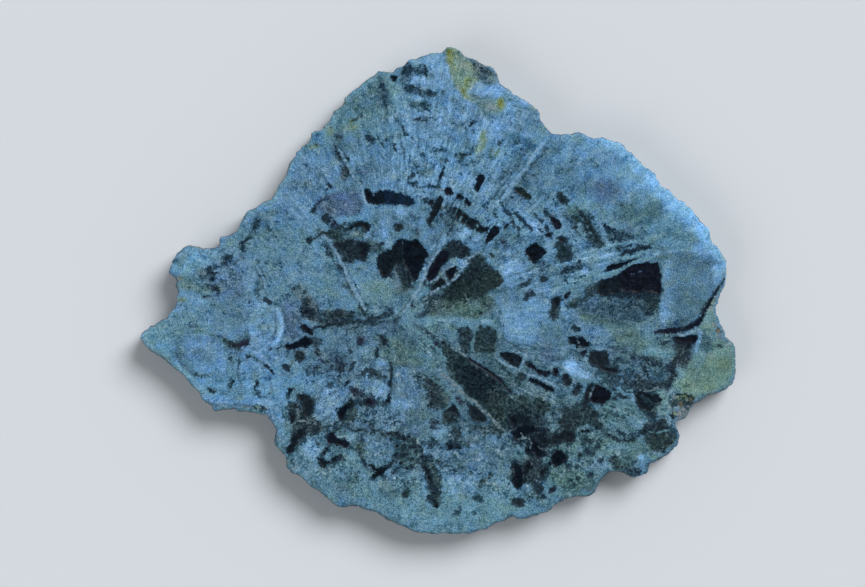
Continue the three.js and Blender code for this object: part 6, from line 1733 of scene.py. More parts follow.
# the left
P("teal6", [(250, 304), (276, 304), (276, 330), (250, 332)], 6, 0.45)
P("lav6", [(246, 330), (278, 332), (280, 372), (250, 380)], 6, 0.4)
S("slate7", 1.6, [(274, 302), (276, 318), (275, 334), (268, 346)], 1.1, 0.5, 0.8)
S("slate7", 1.4, [(283, 306), (285, 320), (284, 336)], 1.0, 0.5, 0.8)
S("lav8", 2.4, [(279, 304), (281, 320), (279, 336), (274, 350)], 1.2, 0.5, 0.8)
P("brown4", [(228, 344), (238, 339), (247, 335), (247, 344), (236, 350), (229, 349)], 1.8, 0.4, 1.4)
S("slate7", 2.6, [(160, 340), (172, 332), (186, 328), (200, 325)], 1.6, 0.4, 1.2)
S("slate7", 2.2, [(176, 352), (182, 366), (194, 376), (208, 378)], 1.6, 0.4, 1.2)
S("slate7", 1.8, [(256, 268), (262, 280), (264, 292)], 1.0, 0.55, 0.8)
S("slate7", 1.8, [(262, 266), (269, 278), (274, 288)], 1.0, 0.45, 0.8)
S("slate7", 2.0, [(240, 352), (238, 370), (242, 388)], 1.4, 0.4, 1.0)
P("slate6", [(206, 300), (240, 300), (250, 316), (240, 332), (212, 326)], 6, 0.32, 1.2)
P("teal7", [(146, 334), (170, 322), (190, 316), (180, 336), (160, 348)], 5, 0.45)
# the top
B("ochs", 449, 53, 3.6, 5, 0.75)
B("ochs", 451, 60, 2.4, 5, 0.45, -15)
B("ochs", 466, 80, 2.6, 5, 0.65)
B("ochs", 463, 90, 2.2, 4, 0.5)
B("ochs", 500.5, 103, 3, 5.4, 0.75)
S("ochs", 1.8, [(462, 89), (466, 96), (474, 101)], 1.0, 0.5)
B("ochs", 483, 137, 2.4, 5, 0.3)
P("rind", [(452, 60), (464, 62), (474, 70), (470, 80), (460, 84), (453, 74)], 3, 0.35)
S("slate7", 6, [(381, 80), (385, 93), (387, 107)], 2.5, 0.6, 1.4)
P("teal5", [(350, 92), (376, 80), (380, 108), (356, 118)], 7, 0.4)
S("slate9", 2.0, [(404, 88), (412, 87), (420, 90), (432, 94)], 1.2, 0.5, 1.4)
S("slate7", 1.4, [(336, 150), (342, 160), (349, 171), (358, 182)], 0.9, 0.6, 0.8)
V("teal7", 1.4, [(338, 148), (344, 158), (352, 170), (360, 183)], 0.03)
S("slate8", 2.4, [(332, 140), (336, 148), (340, 156)], 1.2, 0.6, 1.2)
S("slate7", 3, [(506, 146), (520, 140), (530, 146), (526, 160), (514, 170)], 2.2, 0.4, 1.4)

# --- the curls of the left wing
S("slate7", 1.5, [(254, 266), (258, 273), (262, 280), (262.5, 287), (258, 292), (259, 298), (264, 302)], 0.8, 0.75, 0.5)
S("slate7", 1.3, [(259, 266), (263, 274), (267, 281), (270, 287)], 0.8, 0.7, 0.4)
S("lav8", 1.8, [(257, 266), (261, 274), (265, 281), (266, 288)], 0.8, 0.5, 0.4)
S("teal5", 2.4, [(178, 336), (179, 347), (184, 359), (191, 368), (200, 374), (210, 375), (217, 369)], 1.2, 0.6, 0.5)
S("teal5", 1.8, [(180, 342), (190, 333), (202, 331), (214, 335), (223, 343), (228, 354), (228, 366), (223, 377), (215, 385)], 1.1, 0.5, 0.4)
S("lav8", 2.2, [(190, 338), (202, 335), (213, 339), (220, 347), (223, 358)], 1.4, 0.4, 0.4)
S("slate7", 1.6, [(230, 352), (233, 363), (232, 375), (228, 386)], 1.0, 0.5, 0.4)
S("teal5", 1.8, [(196, 330), (206, 334), (216, 337), (224, 342), (234, 347)], 1.0, 0.55, 0.4)
S("teal4", 1.5, [(249, 355), (256, 359), (263, 364), (268, 368)], 0.8, 0.7, 0.5)
S("slate7", 1.3, [(240, 356), (238, 366), (239, 378), (243, 388)], 0.8, 0.5, 0.4)
S("slate7", 1.6, [(259, 381), (255, 387), (257, 394), (264, 397), (271, 393)], 0.9, 0.55, 0.4)
S("lav8", 2.4, [(262, 383), (260, 389), (264, 393), (270, 389)], 1.2, 0.5, 0.4)
S("lav8", 2.2, [(250, 349), (256, 353), (262, 350), (269, 343)], 1.0, 0.6, 0.4)
S("purp3", 1.8, [(228, 342), (234, 345), (240, 346)], 0.9, 0.6, 0.6)
B("brown5", 238, 350, 6, 3, 0.5)
V("lav7", 1.2, [(241, 349), (245, 346), (249, 347)], 0.02)
S("olive6", 3.0, [(148, 344), (158, 352), (170, 361), (180, 371)], 1.8, 0.45, 0.5)
S("brown6", 2.4, [(216, 405), (232, 405), (248, 406), (262, 409)], 1.4, 0.5, 0.5)
P("olive6", [(176, 262), (184, 252), (192, 250), (186, 262), (180, 272)], 2.6, 0.45, 1.4)
P("brown6", [(200, 268), (208, 270), (208, 282), (198, 280)], 2.6, 0.5, 1.4)

# --- the net of the lower left
E([(289, 403), (299, 403), (300, 420), (291, 424)], 1.6, 0.7)
P("olive6", [(290, 404), (297, 405), (298, 418), (292, 420)], 1.6, 0.7, 1.4)
V("veinp", 1.3, [(289, 427), (296, 422), (304, 421), (312, 424), (318, 421)], 0.02)
V("veinp", 1.1, [(299, 402), (297, 410), (299, 418)], 0.02)
S("slate9", 2.0, [(316, 431), (325, 426), (334, 424), (342, 419)], 0.9, 0.8, 0.6)
S("slate9", 1.6, [(346, 429), (356, 431), (368, 428), (380, 432), (392, 434)], 0.9, 0.75, 0.6)
S("slate9", 1.6, [(352, 447), (358, 453), (362, 460), (368, 467)], 0.8, 0.8, 0.6)
S("slate9", 1.5, [(365, 441), (361, 448), (359, 456)], 0.8, 0.6, 0.6)
S("slate9", 1.8, [(391, 465), (398, 459), (403, 451), (406, 443)], 0.9, 0.7, 0.6)
S("slate9", 1.5, [(322, 456), (327, 449), (331, 445)], 0.8, 0.7, 0.6)
S("slate9", 1.4, [(344, 434), (346, 429), (343, 424)], 0.8, 0.7, 0.6)
S("slate8", 1.4, [(356, 434), (358, 440), (355, 445)], 0.8, 0.6, 0.6)
S("slate9", 1.6, [(418, 432), (412, 440), (418, 448), (424, 456)], 0.9, 0.6, 0.6)
S("lav7", 2.0, [(368, 436), (378, 438), (388, 440)], 1.1, 0.5, 0.5)
E([(402, 440), (421, 440), (423, 461), (404, 462)], 2.4, 0.45)
P("rust", [(296, 396), (302, 395), (306, 398), (300, 402)], 1.4, 0.35, 1.0)
P("brown6", [(330, 484), (350, 486), (352, 496), (336, 496)], 5, 0.3, 1.4)
P("olive6", [(376, 482), (398, 486), (404, 498), (384, 500)], 5, 0.3, 1.4)

# --- small marks of the left half
L("inkb", 1.9, [(391, 364), (391.6, 371), (391, 378)], 0.2)
L("inkb", 1.9, [(390, 381), (390.5, 386)], 0.2)
L("inkb", 2.0, [(389.8, 394), (388, 399), (386, 403)], 0.2)
L("ink", 2.5, [(292, 389), (289, 393), (287.5, 398)], 0.2)
L("inkp", 2.6, [(381, 336), (385, 340), (386, 345)], 0.15, 0.9)
L("ink", 1.9, [(378, 349), (376.5, 353), (376, 357)], 0.2)
C("purp3", [(358, 339), (362, 338), (363, 343), (360, 346), (357.5, 343)], 0.9)
C("inkp", [(366.5, 400.5), (371, 398.5), (376, 401), (376, 404), (371, 406), (366, 404.5)], 1.0)
L("slate9", 2.2, [(342, 364), (340.5, 368), (341, 371)], 0.1, 0.9)
L("slate9", 1.6, [(331.5, 383), (330.5, 387)], 0.1)
L("ink", 2.2, [(320, 455), (323, 461), (329, 463), (335, 458), (341, 456)], 0.2, 0.8)
B("ochs", 358, 448, 3, 3, 0.5)
# --- small marks of the right half
V("olive3", 3.4, [(561, 243), (564, 250), (565, 256)], 0.0, 1.0)
for _x, _y in ((503, 208), (508, 211), (514, 213), (519, 217), (524, 221), (529, 226), (512, 221), (517, 226)):
    L("slate9", 2.0, [(_x, _y), (_x + 2.6, _y + 3.2)], 0.1, 0.8)

# --- the ochre nub
P("och", [(675, 395), (688, 393), (697, 397), (692, 404), (684, 403), (676, 402)], 1.6, 0.55, 1.6)
B("rust", 690, 403, 4, 4, 0.6)
B("ochs", 685, 397, 4, 2.4, 0.5)
B("veinb", 678, 408, 4, 3.4, 0.5)

# --- the last washes
P("slate6", [(434, 329), (457, 329), (458, 340), (440, 341)], 2.5, 0.55, 1.2)
P("slate6", [(402, 374), (424, 374), (426, 394), (404, 396)], 5, 0.40, 1.2)
P("slate6", [(336, 326), (364, 326), (366, 352), (338, 354)], 6, 0.28, 1.2)
P("slate6", [(498, 288), (524, 288), (526, 312), (500, 314)], 6, 0.28, 1.2)
P("slate5", [(538, 328), (564, 328), (564, 354), (540, 356)], 6, 0.28, 1.2)
P("lav7", [(494, 208), (556, 208), (562, 232), (502, 236)], 7, 0.22, 1.2)
P("lav7", [(462, 250), (520, 248), (522, 268), (464, 270)], 7, 0.20, 1.2)
P("lav8", [(432, 98), (456, 98), (462, 116), (434, 114)], 5, 0.25, 1.2)
P("lav8", [(508, 94), (526, 98), (530, 114), (510, 116)], 4, 0.30, 1.2)
P("teal8", [(614, 166), (648, 170), (650, 194), (618, 194)], 7, 0.28, 1.2)
P("slate5", [(606, 364), (634, 366), (634, 380), (608, 380)], 4, 0.35, 1.2)
E([(606, 364), (636, 366), (636, 380), (608, 380)], 3, 0.35)
E([(536, 406), (564, 406), (566, 434), (538, 432)], 5, 0.20)
E([(612, 453), (638, 455), (636, 468), (614, 468)], 3, 0.30)
P("grn5", [(574, 440), (602, 440), (604, 472), (578, 474)], 6, 0.20, 1.2)
M("slate9", [(446, 430), (460, 429), (463, 445), (450, 448)], 2, 0.38)

# --- where the texture of the wood shows
G(440, 150, 100, 60, ray=0.8, ring=0.5)
G(470, 200, 60, 40, ray=0.9, ring=0.5)
G(560, 260, 90, 70, ray=0.7, ring=0.5)
G(530, 380, 60, 40, ray=0.8, ring=0.4)
G(620, 200, 60, 50, ray=0.35, ring=0.35)
G(440, 95, 40, 40, ray=0.7, ring=0.4)
G(300, 200, 60, 60, ray=0.25, ring=0.35)
G(250, 330, 70, 50, ray=0.1, ring=0.35)
G(400, 330, 60, 40, ray=0.6, ring=0.1)
G(400, 480, 110, 40, ray=0.05, ring=0.1, speck=1.0)
G(500, 460, 90, 50, ray=0.15, ring=0.1, speck=0.8)
G(590, 460, 70, 40, ray=0.05, ring=0.1, speck=1.0)
G(330, 430, 60, 50, ray=0.1, ring=0.1, speck=0.7)
G(600, 400, 60, 40, ray=0.3, ring=0.3, speck=0.5)
G(370, 390, 60, 40, ray=0.3, ring=0.2, speck=0.5)
G(690, 390, 30, 30, speck=0.6)

for _x, _y, _rx, _ry, _s in (
    (330, 430, 70, 60, 1.0), (400, 450, 70, 50, 1.0), (500, 455, 70, 46, 0.9), (580, 440, 60, 46, 0.9),
    (400, 350, 80, 60, 0.75), (530, 400, 60, 50, 0.9), (640, 400, 56, 46, 0.8), (230, 280, 50, 40, 0.45), (600, 350, 60, 40, 0.5), (430, 505, 90, 20, 0.4),
):
    LACE.append((_x, _y, _rx, _ry, _s))
for _x, _y, _rx, _ry, _s in (
    (205, 345, 62, 50, 0.7), (524, 318, 24, 30, 0.8), (577, 370, 16, 12, 0.9), (692, 280, 34, 50, 1.0), (712, 365, 30, 34, 0.9), (650, 190, 60, 50, 0.6),
    (400, 510, 90, 22, 0.5), (500, 510, 60, 18, 0.5), (520, 300, 26, 34, 0.5), (470, 75, 50, 40, 0.2), (270, 190, 40, 30, 0.4),
):
    CALM.append((_x, _y, _rx, _ry, _s))


def R(ink, start, end, width, soft=3.0, op=0.8, rag=1.0):
    """A band along the rim, from one place to another, anticlockwise as drawn."""
    a = int(np.argmin(((RIM - start) ** 2).sum(1)))
    b = int(np.argmin(((RIM - end) ** 2).sum(1)))
    path = np.array([RIM[k % len(RIM)] for k in range(a, (b if b > a else b + len(RIM)) + 1)])
    t = np.linspace(0, 1, len(path))
    widths = 2 * width * smooth(0.0, 0.12, t) * smooth(1.0, 0.88, t) + 0.1
    WASH.append(("streak", ink, (path, widths), soft, op, rag))


# --- along the rim: painted shade on the lower edges, a painted highlight on the upper right, and tinted bands elsewhere
# painted shade: thin dark bands along the lower edges, where the rounded rim turns away from the light
R("slate8", (141, 335), (268, 412), 1.3, 1.2, 0.6, 0.4)
R("slate8", (268, 412), (420, 530), 1.3, 1.2, 0.6, 0.4)
R("slate8", (420, 530), (545, 508), 1.2, 1.2, 0.55, 0.4)
R("slate8", (545, 508), (676, 432), 1.2, 1.2, 0.5, 0.4)
R("slate8", (680, 412), (733, 385), 1.0, 1.2, 0.4, 0.4)
R("slate7", (238, 232), (166, 275), 0.8, 1.2, 0.4, 0.4)
# painted highlight: bright sky-blue bands where the rounded upper-right edge catches the light
R("skyb", (727, 280), (596, 136), 9, 4.5, 0.75)
R("skyb", (716, 235), (650, 160), 13, 5, 0.5)
R("lav7", (596, 136), (545, 130), 5, 3, 0.5)
R("lav7", (540, 128), (500, 84), 6, 3, 0.5)
R("teal8", (392, 66), (232, 236), 5, 3, 0.45)
R("lav7", (230, 236), (172, 262), 5, 3, 0.4)
R("teal8", (170, 310), (142, 335), 5, 3, 0.5)
R("teal8", (142, 335), (205, 398), 6, 3, 0.6)
R("teal7", (214, 408), (268, 410), 4, 2.5, 0.4)
R("teal7", (275, 440), (345, 498), 5, 3, 0.45)
R("teal7", (380, 515), (505, 515), 5, 3, 0.4)

# ---------------------------------------------------------------- what is drawn at a point

def _near(q, box, margin):
    return np.nonzero(
        (q[:, 0] > box[0] - margin) & (q[:, 0] < box[2] + margin) & (q[:, 1] > box[1] - margin) & (q[:, 1] < box[3] + margin)
    )[0]


def _box(path, grow=0.0):
    return (path[:, 0].min() - grow, path[:, 1].min() - grow, path[:, 0].max() + grow, path[:, 1].max() + grow)


def warp_at(q):
    """How far a ragged edge wanders."""
    a, b = q / 7.3, q / 3.1
    return np.c_[
        1.25 * noise(a, 3) + 0.75 * noise(b, 5),
        1.25 * noise(a + 40.7, 4) + 0.75 * noise(b + 91.3, 6),
    ]


def _painted(q, warp, strokes):
    """Each stroke of paint in turn, with where and how strongly it lies."""
    for kind, ink, shape, soft, op, rag in strokes:
        if kind == "oval":
            x, y, rx, ry, turn = shape
            reach = max(rx, ry) * 1.3
            idx = _near(q, (x, y, x, y), reach)
            if not len(idx):
                continue
            d = q[idx] + 0.8 * warp[idx] - (x, y)
            c, s = math.cos(math.radians(turn)), math.sin(math.radians(turn))
            r = np.hypot((d[:, 0] * c + d[:, 1] * s) / rx, (d[:, 1] * c - d[:, 0] * s) / ry)
            m = 1 - smooth(0.3, 1.2, r)
        elif kind == "patch":
            idx = _near(q, _box(shape), soft + 2.5 * rag)
            if not len(idx):
                continue
            m = smooth(-soft, soft, inside_of(q[idx] + rag * warp[idx], shape))
        else:
            path, widths = shape
            idx = _near(q, _box(path, widths.max() / 2), soft + 2.5 * rag)
            if not len(idx):
                continue
            m = smooth(-soft, soft * 0.8, inside_stroke(q[idx] + rag * warp[idx], path, widths))
        yield ink, idx, (op * m)[:, None]


def wash_at(q, warp):
    """The soft colours, in display values from 0 to 1."""
    colour = np.tile(np.array(INKS["base"], float), (len(q), 1))
    for ink, idx, m in _painted(q, warp, WASH):
        colour[idx] = colour[idx] * (1 - m) + np.array(INKS[ink], float) * m
    return colour / 255


def stain_at(q, warp):
    """The colour of the dark islands, and how much of the ground they take."""
    colour = np.tile(np.array(INKS["murk"], float) * 0.9, (len(q), 1))
    bare = np.ones((len(q), 1))
    for ink, idx, m in _painted(q, 1.6 * warp, STAIN):
        if not ink:
            bare[idx] = 1 - (1 - bare[idx]) * (1 - m)
            continue
        dark = np.array(INKS[ink], float)
        colour[idx] = colour[idx] * (1 - m) + dark * min(1.0, 34 / dark.mean()) * m
        bare[idx] *= 1 - m
    return np.c_[colour / 255, 1 - bare]


def marks_at(q, warp, marks, reach=4.0):
    """Signed distance to the nearest mark, its colour and its depth."""
    best = np.full(len(q), -reach)
    colour = np.tile(np.array(INKS["ink"], float), (len(q), 1))
    depth = np.zeros(len(q))
    for kind, ink, shape, rag, deep in marks:
        if kind == "cell":
            idx = _near(q, _box(shape), reach + 2.0 * rag)
            if not len(idx):
                continue
            d = inside_of(q[idx] + rag * warp[idx], shape)
        else:
            path, widths = shape
            idx = _near(q, _box(path, widths.max() / 2), reach + 2.0 * rag)
            if not len(idx):
                continue
            d = inside_stroke(q[idx] + rag * warp[idx], path, widths)
        nearer = d > best[idx]
        hit = idx[nearer]
        best[hit] = d[nearer]
        colour[hit] = INKS[ink]
        depth[hit] = deep
    return np.clip(best, -reach, reach), colour / 255, depth


def grain_at(q):
    """How strongly the rays, the rings and the specks show."""
    out = np.zeros((len(q), 3))
    for x, y, rx, ry, ray, ring, speck in GRAIN:
        m = 1 - smooth(0.5, 1.3, np.hypot((q[:, 0] - x) / rx, (q[:, 1] - y) / ry))
        out = np.maximum(out, m[:, None] * (ray, ring, speck))
    return out


def zone_at(q):
    """Where the stone is laced with dark webs, and where it is calm."""
    out = np.zeros((len(q), 3))
    for ovals, column in ((LACE, 0), (CALM, 2)):
        for x, y, rx, ry, strength in ovals:
            m = 1 - smooth(0.5, 1.3, np.hypot((q[:, 0] - x) / rx, (q[:, 1] - y) / ry))
            out[:, column] = np.maximum(out[:, column], m * strength)
    return out

# Colours are display values until the end.

def recipe(k):
    q = k.place()
    u, r = k.polar(q, PITH)
    paint, tint, vein_tint = k.colour("paint"), k.colour("cell_tint"), k.colour("vein_tint")
    stain, share = k.colour("stain"), k.alpha("stain")
    cell, vein = k.number("cell"), k.number("vein")
    rays, rings, specks = k.parts("grain")
    lacy, rind, calm = k.parts("zone")
    patch = k.noise(k.scale(q, 1 / 17.0), 98, 2, 0.6)
    busy = k.smooth(-0.14, 0.20, patch)
    lively = (1 - 0.8 * calm) * (0.35 + 1.0 * busy)

    grain = k.noise(k.stretch(q, 1 / 2.3, 1 / 1.9, 1 / 2.0), 77)
    dust = k.noise(k.scale(q, 1 / 0.85), 79)
    weave = k.noise(k.scale(q, 1 / 3.3), 92)
    blotch = k.noise(k.scale(q, 1 / 8.0), 78, 2, 0.62)
    cloud = k.noise(k.scale(q, 1 / 26.0), 80, 1, 0.5)
    hue = k.noise(k.scale(q, 1 / 12.0), 85, 3, 0.65)

    # rays run out from the pith, and the rings cross them as rows of short ticks
    radial = 0.30 + 0.70 * rays
    ray = k.noise(k.spin(u, 52, r, 1 / 24.0), 81, 2, 0.6)
    row = k.smooth(-0.10, 0.40, k.noise(k.spin(u, 7, r, 1 / 6.0), 83))
    tick = k.noise(k.spin(u, 38, r, 1 / 7.0), 84, 2, 0.6)
    long_pale = k.noise(k.spin(u, 34, r, 1 / 12.0), 95, 2, 0.65)
    round_dark = k.noise(k.scale(q, 1 / 6.2), 94, 2, 0.65)
    round_pale = k.noise(k.scale(q, 1 / 7.0), 93, 1, 0.5)
    dark = k.smooth(0.05, 0.36, round_dark * (1 - radial) + (0.8 * tick + 0.6 * round_dark) * radial)
    pale = k.smooth(0.02, 0.50, round_pale * (1 - radial) + (1.1 * long_pale + 0.3 * round_pale) * radial)
    lace = k.noise(k.scale(q, 1 / 11.0), 89, 3, 0.62)
    web = k.smooth(0.07, 0.0, k.abs(lace))
    pools = k.smooth(0.04, 0.30, lace)
    cracks = k.smooth(0.050, 0.0, k.abs(k.noise(k.scale(q, 1 / 15.0), 99, 2, 0.5)))
    speck = k.smooth(0.20, 0.48, k.noise(k.scale(q, 1 / 2.7), 90))

    shade = 1.045 - 0.09 * busy + 0.10 * blotch * lively + 0.05 * cloud + 0.26 * radial * ray
    shade = shade * (1 - 0.22 * rings * row * k.smooth(0.0, 0.4, tick))
    shade = shade * (1 - 0.26 * specks * speck)
    colour = k.scale(paint, shade)
    colour = k.mix(colour, k.paint("fleck"), (0.40 + 0.22 * lacy) * pale * lively)
    colour = k.mix(colour, k.paint("murk"), (0.46 + 0.16 * rings * row) * dark * lively)
    colour = k.mix(colour, k.paint("murk"), lacy * (0.60 * pools * k.smooth(-0.15, 0.25, round_dark) + 0.35 * web))
    colour = k.mix(colour, k.paint("murk"), 0.62 * cracks * k.smooth(-0.10, 0.14, blotch) * lively * (0.35 + 0.65 * lacy))
    colour = k.multiply(colour, k.vector(1 + 0.10 * hue, 1 - 0.03 * hue, 1 - 0.24 * hue))
    isle = k.noise(k.scale(q, 1 / 4.4), 96, 3, 0.75)
    mottle = 0.05 * grain + 0.17 * dust + 0.03 * weave * lively + 0.13 * blotch * lively + 0.12 * radial * ray
    colour = k.add(colour, k.grey(mottle + lacy * (0.11 * isle + 0.03 * weave) + 0.03 * lacy))
    colour = k.add(colour, k.vector(0.07 * dust, 0.055 * dust, 0.04 * dust))

    # dark islands: as much of the ground as the drawing gives them, and more round each cell
    fray = 2.0 * weave + 1.6 * rays * tick
    share = 0.80 * share + 0.40 * k.smooth(-4.0, 0.5, cell + fray) + 0.12 * lacy
    island = k.smooth(-0.36, 0.36, isle * (1 - 0.7 * rays) + 0.75 * tick * rays + 0.14 * grain)
    stained = k.smooth(-0.20, 0.20, 1.36 * share - 0.18 - island)
    core = k.add(stain, k.grey(0.06 * grain + 0.06 * dust + 0.10 * weave + 0.05 * pale))
    colour = k.mix(colour, core, (0.78 + 0.3 * blotch) * stained)
    thread = k.smooth(0.06, 0.0, k.abs(k.noise(k.scale(q, 1 / 8.0), 97, 2, 0.6)))
    colour = k.mix(colour, k.paint("thread"), 0.55 * thread * lacy * (0.25 + 0.75 * stained))

    # each cell, with a frayed edge
    inside = k.smooth(-1.0, 0.9, cell + 0.8 * fray + 0.9 * grain + 3.2 * radial * ray + 7.0 * lacy * isle)
    core = k.scale(tint, 0.88 + 0.40 * weave + 0.25 * blotch + 0.55 * radial * ray)
    core = k.add(core, k.grey(0.05 * grain + 0.04 * dust + 0.05 * pale - 0.012))
    colour = k.mix(colour, core, 0.97 * inside)

    healed = k.smooth(-1.0, 0.7, vein + 1.0 * weave + 0.7 * grain) * (0.76 + 0.7 * weave)
    colour = k.mix(colour, k.add(vein_tint, k.grey(0.08 * grain + 0.05 * dust)), healed)

    # a little greyer all over than its paints, and cooler where it is dark
    light = k.light(colour)
    colour = k.mix(colour, k.grey(light), 0.07)
    colour = k.multiply(colour, k.vector(0.945 + 0.30 * (light - 0.42), 1.0, 1.005))

    height = 0.25 * grain + 0.15 * dust + 0.3 * weave - 0.4 * speck * specks - 0.3 * inside
    rough = 0.37 + 0.04 * grain + 0.05 * blotch - 0.04 * inside + 0.3 * rind
    return colour, height, rough

# ---------------------------------------------------------------- the slab's shape
# Millimetres, in the CAD's frame.

THICK = 15.0
RING = 1300  # points round the rim
WALL = [  # height and draw-in of each row of the rim, from the back to the face
    (0.0, 1.60), (0.45, 1.10), (1.2, 0.75), (2.4, 0.48), (3.8, 0.26), (5.6, 0.08), (7.6, 0.0),
    (9.4, 0.03), (11.0, 0.10), (12.4, 0.18), (13.6, 0.26), (14.3, 0.36), (14.75, 0.55), (15.0, 0.88),
]
FACE_STEP = 2.45  # drawing units between the face's points, away from the markings
FINE_STEP = 1.2  # and along the edges of the markings
BACK_STEP = 6.0
RIND_FROM, RIND_TO, RIND_SLOPE = (119.4, 2.5), (99.5, -46.5), 9.5
VIEW_CENTRE = np.array((432.5, 293.5))
LIFT = 1.00492  # the face is nearer the camera than the rim is, so it is drawn this much smaller


def to_drawing(xy):
    """Millimetres on the slab to drawing units, as the face is seen from straight above."""
    return VIEW_CENTRE + (drawn(xy[:, 0], xy[:, 1]) - VIEW_CENTRE) * LIFT


def evenly(loop, count):
    step = np.hypot(*(np.roll(loop, -1, 0) - loop).T)
    at = np.r_[0, np.cumsum(step)]
    closed = np.vstack([loop, loop[:1]])
    s = np.linspace(0, at[-1], count, endpoint=False)
    return np.c_[np.interp(s, at, closed[:, 0]), np.interp(s, at, closed[:, 1])], at[-1] / count


def smeared(values, reach):
    """The mean of each value and its neighbours round a loop."""
    total = np.zeros_like(values)
    for k in range(-reach, reach + 1):
        total += np.roll(values, k, 0)
    return total / (2 * reach + 1)


def outward(loop, reach):
    along = smeared(np.roll(loop, -1, 0) - np.roll(loop, 1, 0), reach)
    out = np.c_[along[:, 1], -along[:, 0]]
    return out / np.hypot(*out.T)[:, None]


def crossings(loop):
    """Points of a loop whose segment crosses another one."""
    a, b = loop, np.roll(loop, -1, 0)
    found = []
    n = len(loop)
    for k in range(n):
        others = (np.arange(k + 2, min(k + 60, n + k - 1))) % n
        c, d = a[others], b[others]
        r, s = b[k] - a[k], d - c
        cross = r[0] * s[:, 1] - r[1] * s[:, 0]
        cross = np.where(np.abs(cross) < 1e-12, 1e-12, cross)
        w = c - a[k]
        t = (w[:, 0] * s[:, 1] - w[:, 1] * s[:, 0]) / cross
        v = (w[:, 0] * r[1] - w[:, 1] * r[0]) / cross
        hit = others[(t >= 0) & (t <= 1) & (v >= 0) & (v <= 1)]
        if len(hit):
            found.append((k, int((hit.max() if k < n - 60 else hit[-1]) - k) % n))
    return found


def untangled(loop):
    """The loop with its folds drawn straight."""
    loop = loop.copy()
    n = len(loop)
    for _ in range(12):
        found = crossings(loop)
        if not found:
            break
        for k, span in found:
            i, j = k - 1, k + span + 2
            for m in range(i, j + 1):
                t = (m - i) / (j - i)
                loop[m % n] = 0.25 * loop[m % n] + 0.75 * (loop[i % n] * (1 - t) + loop[j % n] * t)
    return loop


def rind_drop(xy):
    """How far the face has fallen away at the rind's end, in millimetres."""
    a, b = np.array(RIND_FROM), np.array(RIND_TO)
    along = (b - a) / np.hypot(*(b - a))
    beyond = (xy - a) @ np.array((-along[1], along[0]))
    soft = 0.5 * (beyond + np.sqrt(beyond**2 + 1.0)) - 0.5 * np.exp(-np.abs(beyond))
    return np.maximum(soft, 0) * math.tan(math.radians(RIND_SLOPE))


def hexagonal(box, step):
    xs = np.arange(box[0], box[2], step)
    ys = np.arange(box[1], box[3], step * 0.8660254)
    x, y = np.meshgrid(xs, ys)
    x = x + (np.arange(len(ys)) % 2)[:, None] * step / 2
    return np.c_[x.ravel(), y.ravel()]


def within(points, loop, margin):
    keep = np.zeros(len(points), bool)
    for k in range(0, len(points), 3000):
        keep[k : k + 3000] = inside_of(points[k : k + 3000], loop) > margin
    return keep


def fill(ring, points):
    """Triangles between a ring and the points inside it, counter-clockwise."""
    n = len(ring)
    both = np.vstack([ring, points])
    verts = [Vector((float(x), float(y))) for x, y in both]
    made = delaunay_2d_cdt(verts, [(k, (k + 1) % n) for k in range(n)], [], 1, 1e-5, True)
    if len(made[0]) != len(both):
        raise RuntimeError(f"the ring crosses itself: {len(made[0]) - len(both)} new points")
    order = [o[0] for o in made[3]]
    faces = np.array([[order[v] for v in f] for f in made[2]])
    p = both[faces]
    area = (p[:, 1, 0] - p[:, 0, 0]) * (p[:, 2, 1] - p[:, 0, 1]) - (p[:, 2, 0] - p[:, 0, 0]) * (p[:, 1, 1] - p[:, 0, 1])
    faces[area < 0] = faces[area < 0][:, ::-1]
    # a triangle with all its corners on the ring may lie across one of the ring's bays
    edge = np.nonzero((faces < n).all(1))[0]
    middle = both[faces[edge]].mean(1)
    outside = edge[~within(middle, ring, 0.0)]
    return np.delete(faces, outside, 0)


